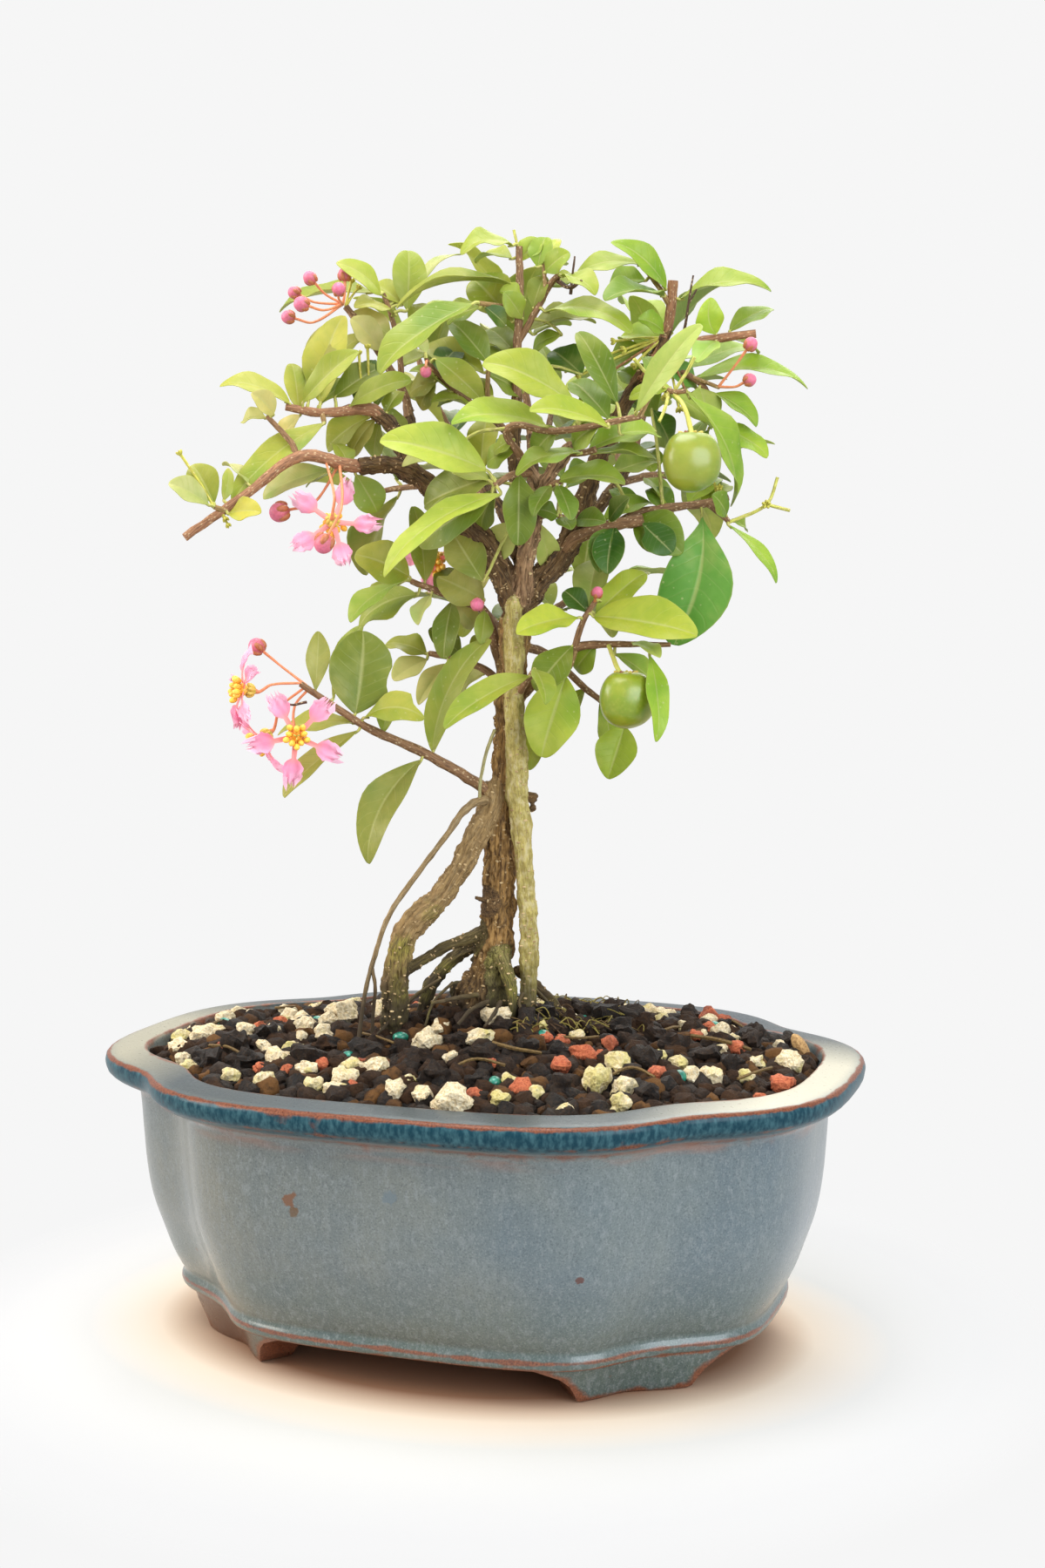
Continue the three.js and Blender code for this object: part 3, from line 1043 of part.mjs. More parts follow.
function flowerPetals({ middle, facing, turn, span }) {
  const centre = seen(...middle);
  const forward = direction(facing);
  const first = Math.abs(forward.z) > 0.8 ? RIGHT.clone() : UP.clone();
  first.addScaledVector(forward, -first.dot(forward)).normalize();
  const second = new THREE.Vector3().crossVectors(forward, first);
  const reach = span / 2;
  const half = forward.clone().multiplyScalar(PETAL_THICKNESS / 2);
  const points = [];
  const mark = (angle, radius, rise, aside = 0) => {
    const out = first.clone().multiplyScalar(Math.cos(angle)).addScaledVector(second, Math.sin(angle));
    const across = new THREE.Vector3().crossVectors(forward, out);
    const place = centre.clone().addScaledVector(out, radius).addScaledVector(forward, rise);
    place.addScaledVector(across, aside);
    return points.push(place.clone().add(half), place.clone().sub(half)) - 2;
  };
  const triangles = [];
  const face = (a, b, c) => triangles.push([a, b, c], [a + 1, c + 1, b + 1]);
  const edge = (a, b) => triangles.push([a, b + 1, b], [a, a + 1, b + 1]);
  const inner = [];
  const notches = [];
  for (let i = 0; i < PETALS; i++) {
    const between = turn + (2 * Math.PI * (i - 0.5)) / PETALS;
    inner.push(mark(between, RING.inner, 0));
    notches.push(mark(between, RING.outer, 0));
  }
  for (let i = 0; i < PETALS; i++) {
    const angle = turn + (2 * Math.PI * i) / PETALS;
    const next = (i + 1) % PETALS;
    const width = span / 25;
    const clawRight = mark(angle, CLAW.share * reach, CLAW.rise, -CLAW.half * width);
    const clawLeft = mark(angle, CLAW.share * reach, CLAW.rise, CLAW.half * width);
    const broadRight = mark(angle, BROAD.share * reach, BROAD.rise, -BROAD.half * width);
    const broadLeft = mark(angle, BROAD.share * reach, BROAD.rise, BROAD.half * width);
    const tip = mark(angle, reach, PETAL_TIP_RISE);
    const across = [
      [inner[i], inner[next]],
      [notches[i], notches[next]],
      [clawRight, clawLeft],
      [broadRight, broadLeft],
    ];
    for (let k = 0; k + 1 < across.length; k++) {
      const [right, left] = across[k];
      const [nextRight, nextLeft] = across[k + 1];
      face(right, nextRight, nextLeft);
      face(right, nextLeft, left);
    }
    face(broadRight, tip, broadLeft);
    const outline = [notches[i], clawRight, broadRight, tip, broadLeft, clawLeft, notches[next]];
    for (let k = 0; k + 1 < outline.length; k++) edge(outline[k], outline[k + 1]);
    edge(inner[next], inner[i]);
  }
  return solidFrom(points, triangles);
}

function flowerMiddle({ middle, facing, pedicel }) {
  const centre = seen(...middle);
  const forward = direction(facing);
  const stalk = pedicel.map((place) => seen(...place)).reverse();
  const core = MIDDLE_PROFILE.map(([rise]) => centre.clone().addScaledVector(forward, rise));
  const radii = [...stalk.map(() => PEDICEL_RADIUS), ...MIDDLE_PROFILE.map(([, radius]) => radius)];
  return limb([...stalk, ...core], radii, PETALS);
}

// Buds on their pedicels. A cluster gives its foot on a stem, and rows of
// [picture x, picture y, distance behind the middle, radius], with a bend of the pedicel before it.
const BUDS = {
  left_tip: {
    foot: [394, 349, 7],
    heads: [
      { bud: [356, 319, 2, 1.8], bend: [374, 338, 5] },
      { bud: [396, 315, 6, 1.8], bend: [396, 335, 6] },
      { bud: [338, 336, 9, 1.7], bend: [362, 347, 9] },
      { bud: [346, 349, -3, 2.0], bend: [372, 356, 2] },
      { bud: [389, 332, -3, 1.8], bend: [389, 343, 1] },
      { bud: [331, 364, 3, 1.8], bend: [360, 370, 5] },
    ],
  },
  upper_middle: { foot: [490, 414, 0], heads: [{ bud: [489, 427, -5, 1.5], bend: [489, 420, -3] }] },
  left_end: {
    foot: [390, 532, -11],
    heads: [
      { bud: [321, 588, -13, 2.6], bend: [360, 578, -12] },
      { bud: [372, 624, -31, 2.5], bend: [392, 584, -30] },
    ],
  },
  left_low: { foot: [352, 787, -15.6], heads: [{ bud: [295, 742, -12, 2.2], bend: [322, 764, -13] }] },
  left_mid: { foot: [549, 695, 4], heads: [{ bud: [548, 694, -4, 1.8], bend: [549, 695, 0] }] },
  right_low: { foot: [683, 691, -10], heads: [{ bud: [686, 680, -14, 1.5], bend: [684, 686, -13] }] },
  right_end: {
    foot: [825, 444, 4],
    heads: [
      { bud: [862, 395, -2, 1.8], bend: [844, 420, 1] },
      { bud: [861, 436, 0, 1.7], bend: [844, 444, 2] },
    ],
  },
};
// Rows of [share of the radius along the axis, share of the radius across it]
const BUD_PROFILE = [[-1, 0.4], [0, 1], [0.95, 0.35]];
const BUD_SIDES = 5;

function buds(cluster) {
  const foot = seen(...cluster.foot);
  const parts = cluster.heads.map(({ bud, bend }) => {
    const [x, y, away, radius] = bud;
    const middle = seen(x, y, away);
    const knee = seen(...bend);
    const along = middle.clone().sub(knee).normalize();
    const places = BUD_PROFILE.map(([step]) => middle.clone().addScaledVector(along, step * radius));
    const radii = BUD_PROFILE.map(([, wide]) => wide * radius);
    return limb([foot, knee, ...places], [PEDICEL_RADIUS, PEDICEL_RADIUS, ...radii], BUD_SIDES);
  });
  return joined(parts);
}

// Fruits: green, with three soft lobes, each hanging from its own stalk
const FRUITS = {
  upper: {
    middle: [793, 530, -19],
    radius: 7.6,
    height: 15.6,
    stalk: [[794, 497, -18, 0.7], [786, 468, -15, 0.6], [775, 452, -11, 0.6]],
  },
  lower: {
    middle: [719, 803, -14],
    radius: 7.4,
    height: 15.2,
    stalk: [[712, 772, -14, 0.7], [705, 757, -12, 0.6], [699, 741, -9, 0.6]],
  },
};
// Rows of [share of the half height, share of the radius]
const FRUIT_PROFILE = [[-0.97, 0.3], [-0.8, 0.68], [-0.35, 0.97], [0.2, 0.98], [0.66, 0.78], [0.9, 0.42]];
const FRUIT_SIDES = 12;
const LOBE_SWELL = 0.06;

function fruit({ middle, radius, height, stalk }) {
  const centre = seen(...middle);
  const rings = FRUIT_PROFILE.map(([level, wide]) => {
    const ring = [];
    for (let i = 0; i < FRUIT_SIDES; i++) {
      const angle = (2 * Math.PI * i) / FRUIT_SIDES;
      const reach = radius * wide * (1 + LOBE_SWELL * (Math.cos(3 * angle) - 0.5));
      const x = centre.x + reach * Math.cos(angle);
      ring.push(new THREE.Vector3(x, centre.y + reach * Math.sin(angle), centre.z + (level * height) / 2));
    }
    return ring;
  });
  const places = [centre.clone().addScaledVector(UP, 0.3 * height)];
  places.push(...stalk.map(([x, y, away]) => seen(x, y, away)));
  const stem = limb(places, [0.8, ...stalk.map((row) => row[3])], 4);
  return joined([loft(rings), stem]);
}

// Assembly
const COLOURS = {
  glaze: { color: 0x5f7f8a, roughness: 0.2, metalness: 0 },
  net: { color: 0x1c1c1c, roughness: 0.6, metalness: 0 },
  soil: { color: 0x2f241d, roughness: 0.95, metalness: 0 },
  bark: { color: 0x7a5f41, roughness: 0.85, metalness: 0 },
  leaf: { color: 0x7fa03c, roughness: 0.45, metalness: 0 },
  petal: { color: 0xf08fc0, roughness: 0.6, metalness: 0 },
  flowerMiddle: { color: 0xd9a23a, roughness: 0.6, metalness: 0 },
  bud: { color: 0xc9607a, roughness: 0.6, metalness: 0 },
  fruit: { color: 0x7fae4e, roughness: 0.35, metalness: 0 },
};
const materials = {};
for (const [name, finish] of Object.entries(COLOURS)) {
  materials[name] = new THREE.MeshStandardMaterial(finish);
}

const bonsai = new THREE.Group();

function add(name, solid, material) {
  const mesh = solid.getMesh();
  const geometry = new THREE.BufferGeometry();
  const positions = new Float32Array(mesh.numVert * 3);
  for (let i = 0; i < mesh.numVert; i++) {
    for (let k = 0; k < 3; k++) positions[3 * i + k] = mesh.vertProperties[mesh.numProp * i + k];
  }
  geometry.setAttribute('position', new THREE.BufferAttribute(positions, 3));
  geometry.setIndex(new THREE.BufferAttribute(Uint32Array.from(mesh.triVerts), 1));
  geometry.computeVertexNormals();
  const piece = new THREE.Mesh(geometry, material);
  piece.name = name;
  bonsai.add(piece);
}

const SMOOTHING = 0.02;
const allWood = joined(wood());
const fatWood = joined(wood(GAP));
const rootHoles = ROOTS_IN_SOIL.map((name) => stemOf(WOOD[name], woodSides(name), GAP));
add('pot', pot(), materials.glaze);
[-1, 1].forEach((side) => add(side < 0 ? 'drain_net_left' : 'drain_net_right', screen(side), materials.net));
add('soil', soil(rootHoles, [-1, 1]).simplify(SMOOTHING), materials.soil);
add('trunk_and_roots', largest(allWood).simplify(SMOOTHING), materials.bark);
place(fatWood, 'wood');

const STEM_SIDES = 4;
const shootStems = {};
const fatStems = {};
for (const [name, shoot] of Object.entries(SHOOTS)) shootStems[name] = shoot.stems;
for (const [name, shoot] of Object.entries(BACK_SHOOTS)) shootStems[name] = [shoot.stem];
for (const [name, stems] of Object.entries(shootStems)) {
  stems.forEach((rows) => place(stemOf(rows, STEM_SIDES), name, null));
  fatStems[name] = joined(stems.map((rows) => stemOf(rows, STEM_SIDES, GAP)));
}
const besideStems = joined([fatWood, ...Object.values(fatStems)]);

for (const [name, flower] of Object.entries(FLOWERS)) {
  const petals = largest(flowerPetals(flower));
  const middle = largest(flowerMiddle(flower).subtract(besideStems));
  add(`flower_${name}_petals`, petals, materials.petal);
  add(`flower_${name}_middle`, middle, materials.flowerMiddle);
  place(petals);
  place(middle);
}
for (const [name, cluster] of Object.entries(BUDS)) {
  const solid = largest(buds(cluster).subtract(besideStems));
  add(`buds_${name}`, solid, materials.bud);
  place(solid);
}
for (const [name, row] of Object.entries(FRUITS)) {
  const solid = largest(fruit(row).subtract(besideStems));
  add(`fruit_${name}`, solid, materials.fruit);
  place(solid);
}

// A shoot, cut clear of the wood and of the stems of the shoots before it
const carriers = [fatWood];

function shoot(name, makers) {
  const leaves = makers.map((maker) => clearLeaf(maker, name)).filter((leaf) => leaf !== null);
  const stems = shootStems[name].map((rows) => stemOf(rows, STEM_SIDES));
  const whole = joined([...stems, ...leaves.map((leaf) => leafBlade(leaf))]);
  add(`shoot_${name}`, largest(whole.subtract(joined(carriers))).simplify(SMOOTHING), materials.leaf);
  carriers.push(fatStems[name]);
}

for (const [name, { stems, leaves }] of Object.entries(SHOOTS)) {
  shoot(name, leaves.map((row) => (bend) => leafFromRow(stems, row, bend)));
}
for (const [name, row] of Object.entries(BACK_SHOOTS)) shoot(name, backLeaves(row));

export default bonsai;
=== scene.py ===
# %% [markdown]
# # A barbados cherry bonsai in a glazed pot
# This script dresses a measured model of a small tree. The measured solids, called the frame, are
# loaded first, and every piece that is made here sits exactly where one of those solids is. Lengths
# are worked out in millimetres and written to the meshes in metres, because Blender counts in metres.

# %% Load the frame
import math

import bpy
from mathutils import Matrix, Vector, kdtree, noise


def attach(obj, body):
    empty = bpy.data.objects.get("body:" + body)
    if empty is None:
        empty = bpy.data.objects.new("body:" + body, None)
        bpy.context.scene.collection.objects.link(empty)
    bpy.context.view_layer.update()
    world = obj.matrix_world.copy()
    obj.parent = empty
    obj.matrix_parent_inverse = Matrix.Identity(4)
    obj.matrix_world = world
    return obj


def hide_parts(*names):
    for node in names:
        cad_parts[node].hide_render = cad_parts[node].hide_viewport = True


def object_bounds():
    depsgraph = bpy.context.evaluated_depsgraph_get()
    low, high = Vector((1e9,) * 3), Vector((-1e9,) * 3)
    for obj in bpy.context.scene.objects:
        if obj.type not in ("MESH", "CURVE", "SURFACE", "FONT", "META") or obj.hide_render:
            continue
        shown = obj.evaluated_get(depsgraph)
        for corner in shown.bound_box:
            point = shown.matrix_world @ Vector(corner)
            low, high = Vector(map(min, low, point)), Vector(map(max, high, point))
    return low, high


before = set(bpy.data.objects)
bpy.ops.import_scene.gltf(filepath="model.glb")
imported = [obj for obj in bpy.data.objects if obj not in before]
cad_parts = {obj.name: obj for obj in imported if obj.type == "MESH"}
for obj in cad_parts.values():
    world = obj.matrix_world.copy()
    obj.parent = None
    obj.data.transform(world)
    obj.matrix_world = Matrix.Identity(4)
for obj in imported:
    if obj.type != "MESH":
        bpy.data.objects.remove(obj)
frame_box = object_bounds()
MM = 0.001
print("frame:", len(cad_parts), "solids in the box", frame_box)

# %% [markdown]
# ## The picture that the tree was read from
# A place on the tree is written as a column and a row of a picture of 1200 by 1800 dots, with a third
# number that says how far it lies behind the middle of the pot. One function turns the three into a
# point in space. That way a twig can be drawn where the eye sees it, and still have its own depth.

# %% From a place in the picture to a point in space
PICTURE_MIDDLE = (600, 900)
FOCAL_DOTS = 2400
VIEW_TURN = math.radians(18.8)
VIEW_TILT = math.radians(4.8)
VIEW_DISTANCE = 557
VIEW_SIDE = 10.9
VIEW_HEIGHT = 193.4
RIGHT = Vector((math.cos(VIEW_TURN), math.sin(VIEW_TURN), 0))
AWAY = Vector((-math.sin(VIEW_TURN), math.cos(VIEW_TURN), 0))
UP = Vector((0, 0, 1))


def seen(x, y, away):
    """The point, in mm, seen at a column and row of the picture, so far behind the pot's middle."""
    across = x - PICTURE_MIDDLE[0]
    above = PICTURE_MIDDLE[1] - y
    reach = FOCAL_DOTS * math.cos(VIEW_TILT) + above * math.sin(VIEW_TILT)
    rise = above * math.cos(VIEW_TILT) - FOCAL_DOTS * math.sin(VIEW_TILT)
    scale = (VIEW_DISTANCE + away) / reach
    place = RIGHT * (VIEW_SIDE + across * scale) + AWAY * away
    place.z = VIEW_HEIGHT + rise * scale
    return place


def dot_size(away):
    """How many mm one dot of the picture covers at a distance behind the middle of the pot."""
    return (VIEW_DISTANCE + away) / FOCAL_DOTS


def drawer(seed):
    """A function that gives one repeatable row of numbers between 0 and 1 for each seed."""
    state = seed

    def draw():
        nonlocal state
        state = state * 16807 % 2147483647
        return state / 2147483647

    return draw


print("one dot at the trunk covers", round(dot_size(0), 3), "mm")

# %% [markdown]
# ## Camera
# The camera stands where the picture was taken: a little above the soil, turned a little to the
# right of the pot's front. The lens is chosen so that one dot of the picture is one dot of the view.

# %% Camera
SENSOR = 36
PICTURE_HEIGHT = 1800
lens = bpy.data.cameras.new("camera")
lens.sensor_width = SENSOR
lens.lens = FOCAL_DOTS * SENSOR / PICTURE_HEIGHT
lens.clip_start = 0.01
lens.clip_end = 20
camera = bpy.data.objects.new("camera", lens)
camera.location = (RIGHT * VIEW_SIDE - AWAY * VIEW_DISTANCE + UP * VIEW_HEIGHT) * MM
camera.rotation_euler = (math.pi / 2 - VIEW_TILT, 0, VIEW_TURN)
bpy.context.scene.collection.objects.link(camera)
bpy.context.scene.camera = camera
print("camera at", [round(value, 4) for value in camera.location], "with a lens of", lens.lens, "mm")

# %% [markdown]
# ## Small helpers for materials
# A material in Blender is a tree of nodes. A few short helpers keep each tree readable: one adds a
# node and plugs in its inputs, one mixes two colours, and one turns a value into another range.

# %% Helpers for materials
def linear(red, green, blue):
    """A colour given as on a screen, from 0 to 255, in the linear values that nodes use."""
    return (*((value / 255) ** 2.2 for value in (red, green, blue)), 1)


def new_material(name):
    made = bpy.data.materials.new(name)
    made.use_nodes = True
    made.node_tree.nodes.clear()
    return made, made.node_tree


def node(tree, kind, inputs=None, **settings):
    """A new node, with its settings, and each input linked to a socket or set to a value."""
    made = tree.nodes.new(kind)
    for name, value in settings.items():
        setattr(made, name, value)
    for name, value in (inputs or {}).items():
        if isinstance(value, bpy.types.NodeSocket):
            tree.links.new(value, made.inputs[name])
        else:
            made.inputs[name].default_value = value
    return made


def calculate(tree, operation, first, second=0.0):
    return node(tree, "ShaderNodeMath", {0: first, 1: second}, operation=operation).outputs[0]


def mix(tree, share, first, second, blend="MIX"):
    """Two colours mixed by a share from 0 to 1."""
    inputs = {0: share, 6: first, 7: second}
    made = node(tree, "ShaderNodeMix", inputs, data_type="RGBA", blend_type=blend)
    return made.outputs[2]


def remap(tree, value, low, high, to_low=0.0, to_high=1.0):
    """A value's place between low and high, as a value between two others."""
    inputs = {0: value, 1: low, 2: high, 3: to_low, 4: to_high}
    return node(tree, "ShaderNodeMapRange", inputs).outputs[0]


def noise_value(tree, where, scale, detail=2.0, roughness=0.5, distortion=0.0):
    inputs = {"Vector": where, "Scale": scale, "Detail": detail}
    inputs.update({"Roughness": roughness, "Distortion": distortion})
    return node(tree, "ShaderNodeTexNoise", inputs).outputs[0]


def stretched(tree, where, scale):
    return node(tree, "ShaderNodeMapping", {"Vector": where, "Scale": scale}).outputs[0]


def attribute(tree, name, output):
    return node(tree, "ShaderNodeAttribute", attribute_name=name).outputs[output]


def bumped(tree, height, strength, distance):
    inputs = {"Height": height, "Strength": strength, "Distance": distance}
    return node(tree, "ShaderNodeBump", inputs).outputs[0]


def object_place(tree):
    return node(tree, "ShaderNodeTexCoord").outputs["Object"]


def finished(made, tree, shader):
    """Ends the tree of a material with its output."""
    node(tree, "ShaderNodeOutputMaterial", {"Surface": shader})
    print("material:", made.name, "with", len(tree.nodes), "nodes")
    return made


def principled(made, tree, inputs):
    """Ends the tree of a material with one Principled shader."""
    return finished(made, tree, node(tree, "ShaderNodeBsdfPrincipled", inputs).outputs[0])


# %% [markdown]
# ## Floor, backdrop and light
# The tree stands on a pale surface in a very bright room, so that its far edges melt into the
# background. A round floor fades out towards its edge, and the world behind it gives the same pale
# grey. Big soft lights stand for the windows or lamps round a table. The colours are shown as they
# are, with the Standard view, because the picture has clear whites and plain greens.

# %% Floor and world
FLOOR_RADIUS = 700
FLOOR_FADE = (0.13, 0.3)
FLOOR_NEAR = (0.58, 0.57, 0.54, 1)
FLOOR_FAR = (0.46, 0.46, 0.47, 1)
# painted warm glow: the floor round the pot tinted peach, as light reflected warm from the pot
FLOOR_PAINTED_WARM_GLOW = (0.86, 0.7, 0.54, 1)
# painted shadow: a dark warm brown laid on the floor under the pot
FLOOR_PAINTED_SHADOW = (0.3, 0.15, 0.08, 1)
# the oval under the pot that the painted shadow and the painted warm glow follow
UNDER_POT = (1 / 0.084, 1 / 0.066, 0)
FLOOR_EVEN = (0.085, 0.16, 0.0, 1.0)
PALE = 0.922
scene = bpy.context.scene
scene.view_settings.view_transform = "Standard"
floor_finish, tree = new_material("pale_floor")
place = object_place(tree)
distance = node(tree, "ShaderNodeVectorMath", {0: place}, operation="LENGTH").outputs[1]
cloth = noise_value(tree, stretched(tree, place, (1400, 1400, 1)), 1.0, 1.0)
colour = mix(tree, remap(tree, distance, 0.08, 0.135), FLOOR_NEAR, FLOOR_FAR)
colour = mix(tree, remap(tree, cloth, 0.3, 0.7, 0, 0.06), colour, (0.5, 0.45, 0.36, 1))
shape = stretched(tree, place, UNDER_POT)
under = node(tree, "ShaderNodeVectorMath", {0: shape}, operation="LENGTH").outputs[1]
# painted warm glow round the painted shadow
colour = mix(tree, remap(tree, under, 1.0, 1.32, 1, 0), colour, FLOOR_PAINTED_WARM_GLOW)
# painted shadow under the pot, dark brown inside the oval
colour = mix(tree, remap(tree, under, 0.85, 1.08, 1, 0), colour, FLOOR_PAINTED_SHADOW)
lit = node(tree, "ShaderNodeBsdfPrincipled", {"Base Color": colour, "Roughness": 0.9})
even = node(tree, "ShaderNodeEmission", {"Color": (PALE, PALE, PALE, 1), "Strength": 1.0})
share = {0: remap(tree, distance, *FLOOR_EVEN), 1: lit.outputs[0], 2: even.outputs[0]}
shader = node(tree, "ShaderNodeMixShader", share)
clear = node(tree, "ShaderNodeBsdfTransparent")
fade = remap(tree, distance, FLOOR_FADE[0], FLOOR_FADE[1])
faded = node(tree, "ShaderNodeMixShader", {0: fade, 1: shader.outputs[0], 2: clear.outputs[0]})
finished(floor_finish, tree, faded.outputs[0])

world = bpy.data.worlds.new("bright_room")
scene.world = world
world.use_nodes = True
tree = world.node_tree
tree.nodes.clear()
path = node(tree, "ShaderNodeLightPath")
room = node(tree, "ShaderNodeBackground", {"Color": (1, 1, 1, 1), "Strength": 0.8})
backdrop = node(tree, "ShaderNodeBackground", {"Color": (PALE, PALE, PALE, 1), "Strength": 1.0})
share = {0: path.outputs["Is Camera Ray"], 1: room.outputs[0], 2: backdrop.outputs[0]}
shown = node(tree, "ShaderNodeMixShader", share)
node(tree, "ShaderNodeOutputWorld", {"Surface": shown.outputs[0]})

sides = 96
ring = [Vector((math.cos(a), math.sin(a), 0)) for a in (2 * math.pi * i / sides for i in range(sides))]
mesh = bpy.data.meshes.new("floor")
mesh.from_pydata([point * FLOOR_RADIUS * MM for point in ring], [], [list(range(sides))])
mesh.materials.append(floor_finish)
floor = bpy.data.objects.new("floor", mesh)
scene.collection.objects.link(floor)
print("floor of", 2 * FLOOR_RADIUS, "mm across")

# %% Soft lights
def soft_light(name, place, target, size, power, colour=(1, 1, 1)):
    """A square lamp at a place in mm that faces a target."""
    lamp = bpy.data.lights.new(name, "AREA")
    lamp.size = size * MM
    lamp.energy = power
    lamp.color = colour
    made = bpy.data.objects.new(name, lamp)
    made.location = Vector(place) * MM
    made.rotation_euler = (Vector(target) - Vector(place)).to_track_quat("-Z", "Y").to_euler()
    scene.collection.objects.link(made)
    return made


TREE_MIDDLE = (0, 0, 170)
soft_light("window_left", (-900, -500, 620), TREE_MIDDLE, 700, 12.0, (1.0, 0.95, 0.87))
soft_light("window_right", (800, -520, 420), TREE_MIDDLE, 700, 8.5, (0.84, 0.93, 1.0))
soft_light("light_above", (-60, -100, 1150), TREE_MIDDLE, 700, 10.0)
soft_light("light_behind", (-60, 850, 1000), TREE_MIDDLE, 900, 10.0, (1.0, 0.98, 0.92))

# %% [markdown]
# ## Skins: how the meshes of this scene are built
# Every grown piece is a closed skin of rings or grids. A small class gathers the points and faces of
# many leaves or twigs into one mesh. It also keeps two values for each point, which the materials
# read: tint, the point's own colour, and spot, its place on the leaf or along the twig, so that
# veins and bark follow the shape wherever it bends.

# %% Skin
class Skin:
    """Points, faces, materials and the two values of a mesh in the making, in mm."""

    def __init__(self):
        self.points = []
        self.faces = []
        self.finishes = []
        self.tints = []
        self.spots = []

    def add(self, points, faces, finish, tints, spots):
        start = len(self.points)
        self.points += points
        self.faces += [[start + i for i in face] for face in faces]
        self.finishes += [finish] * len(faces)
        self.tints += tints
        self.spots += spots

    def piece(self, name, materials, sharp=60):
        mesh = bpy.data.meshes.new(name)
        mesh.from_pydata([point * MM for point in self.points], [], self.faces)
        for material in materials:
            mesh.materials.append(material)
        mesh.polygons.foreach_set("material_index", self.finishes)
        tint = mesh.attributes.new("tint", "FLOAT_COLOR", "POINT")
        tint.data.foreach_set("color", [value for row in self.tints for value in row])
        spot = mesh.attributes.new("spot", "FLOAT_VECTOR", "POINT")
        spot.data.foreach_set("vector", [value for row in self.spots for value in row])
        mesh.shade_smooth()
        mesh.set_sharp_from_angle(angle=math.radians(sharp))
        made = bpy.data.objects.new(name, mesh)
        scene.collection.objects.link(made)
        return made


def point_values(mesh, name, values):
    """Keeps one number for each point of a mesh, which a material can read."""
    mesh.attributes.new(name, "FLOAT", "POINT").data.foreach_set("value", values)


def triangles(mesh):
    return sum(len(face.vertices) - 2 for face in mesh.polygons)


def declare(piece, slot, *nodes):
    """Puts a finished piece on the one body of the tree and hides the frame's solids that it stands for."""
    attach(piece, "root")
    if nodes:
        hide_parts(*nodes)
    print("piece:", piece.name, triangles(piece.data), "triangles")
    return piece


# %% [markdown]
# ## Smooth lines and round limbs
# A twig is drawn by a few places with a radius each. A smooth line through them is made span by
# span, with each bend no longer than the span it is in, so it never swings past a place. A limb is
# then a ring of points carried along that line without twisting, closed at both ends.

# %% Smooth lines and round limbs
# A way that rises more than this counts as upright, and is then turned by the guide to the right.
STEEP = 0.8


def smooth_path(rows, steps):
    """(place, radius) rows on a smooth line through the given ones, with steps in each span."""
    places = [place for place, radius in rows]
    last = len(places) - 1
    ways = []
    for i in range(last + 1):
        ways.append((places[min(i + 1, last)] - places[max(i - 1, 0)]).normalized())
    path = []
    for i in range(last):
        length = (places[i + 1] - places[i]).length
        for k in range(steps):
            t = k / steps
            place = places[i] * (2 * t ** 3 - 3 * t ** 2 + 1) + places[i + 1] * (3 * t ** 2 - 2 * t ** 3)
            place += ways[i] * length * (t ** 3 - 2 * t ** 2 + t) + ways[i + 1] * length * (t ** 3 - t ** 2)
            path.append((place, rows[i][1] + (rows[i + 1][1] - rows[i][1]) * t))
    path.append(rows[last])
    return path


def beside(axis, guide):
    """Two ways across an axis, the first as near to the guide as it can be."""
    first = (guide - axis * guide.dot(axis)).normalized()
    return first, axis.cross(first)


def spokes(count, first, second, shift=0, start=0):
    """The ways of evenly spaced spokes, turned by a share of one step and by an angle."""
    for i in range(count):
        angle = start + math.tau * (i + shift) / count
        yield first * math.cos(angle) + second * math.sin(angle)


def carried(path):
    """For each place of a path: the way along it, and two ways across that don't twist."""
    last = len(path) - 1
    aside = None
    axes = []
    for i in range(last + 1):
        along = (path[min(i + 1, last)][0] - path[max(i - 1, 0)][0]).normalized()
        if aside is None:
            aside = RIGHT if abs(along.z) > STEEP else UP
        aside, other = beside(along, aside)
        axes.append((along, aside, other))
    return axes


def skin_of_rings(rings):
    """Points and faces of a closed skin over rings of equally many points."""
    count = len(rings[0])
    points = [point for ring in rings for point in ring]
    first = len(points)
    points.append(sum(rings[0], Vector()) / count)
    points.append(sum(rings[-1], Vector()) / count)
    top = (len(rings) - 1) * count
    faces = []
    for i in range(count):
        j = (i + 1) % count
        faces.append([first, j, i])
        faces.append([first + 1, top + i, top + j])
        for r in range(0, top, count):
            faces.append([r + i, r + j, r + count + j, r + count + i])
    return points, faces


def sheet_faces(steps, columns, flipped):
    """Faces of a thin closed sheet: a grid for its upper side, one for its underside, and a rim."""
    width = columns + 1
    other = width * (steps + 1)
    faces = []
    for i in range(steps):
        for j in range(columns):
            a, b = i * width + j, (i + 1) * width + j
            faces.append([a, b, b + 1, a + 1])
            faces.append([other + a, other + a + 1, other + b + 1, other + b])
    edge = list(range(width)) + [i * width + columns for i in range(1, steps + 1)]
    edge += [steps * width + j for j in range(columns - 1, -1, -1)]
    edge += [i * width for i in range(steps - 1, 0, -1)]
    for a, b in zip(edge, edge[1:] + edge[:1]):
        faces.append([a, b, other + b, other + a])
    return [face[::-1] for face in faces] if flipped else faces


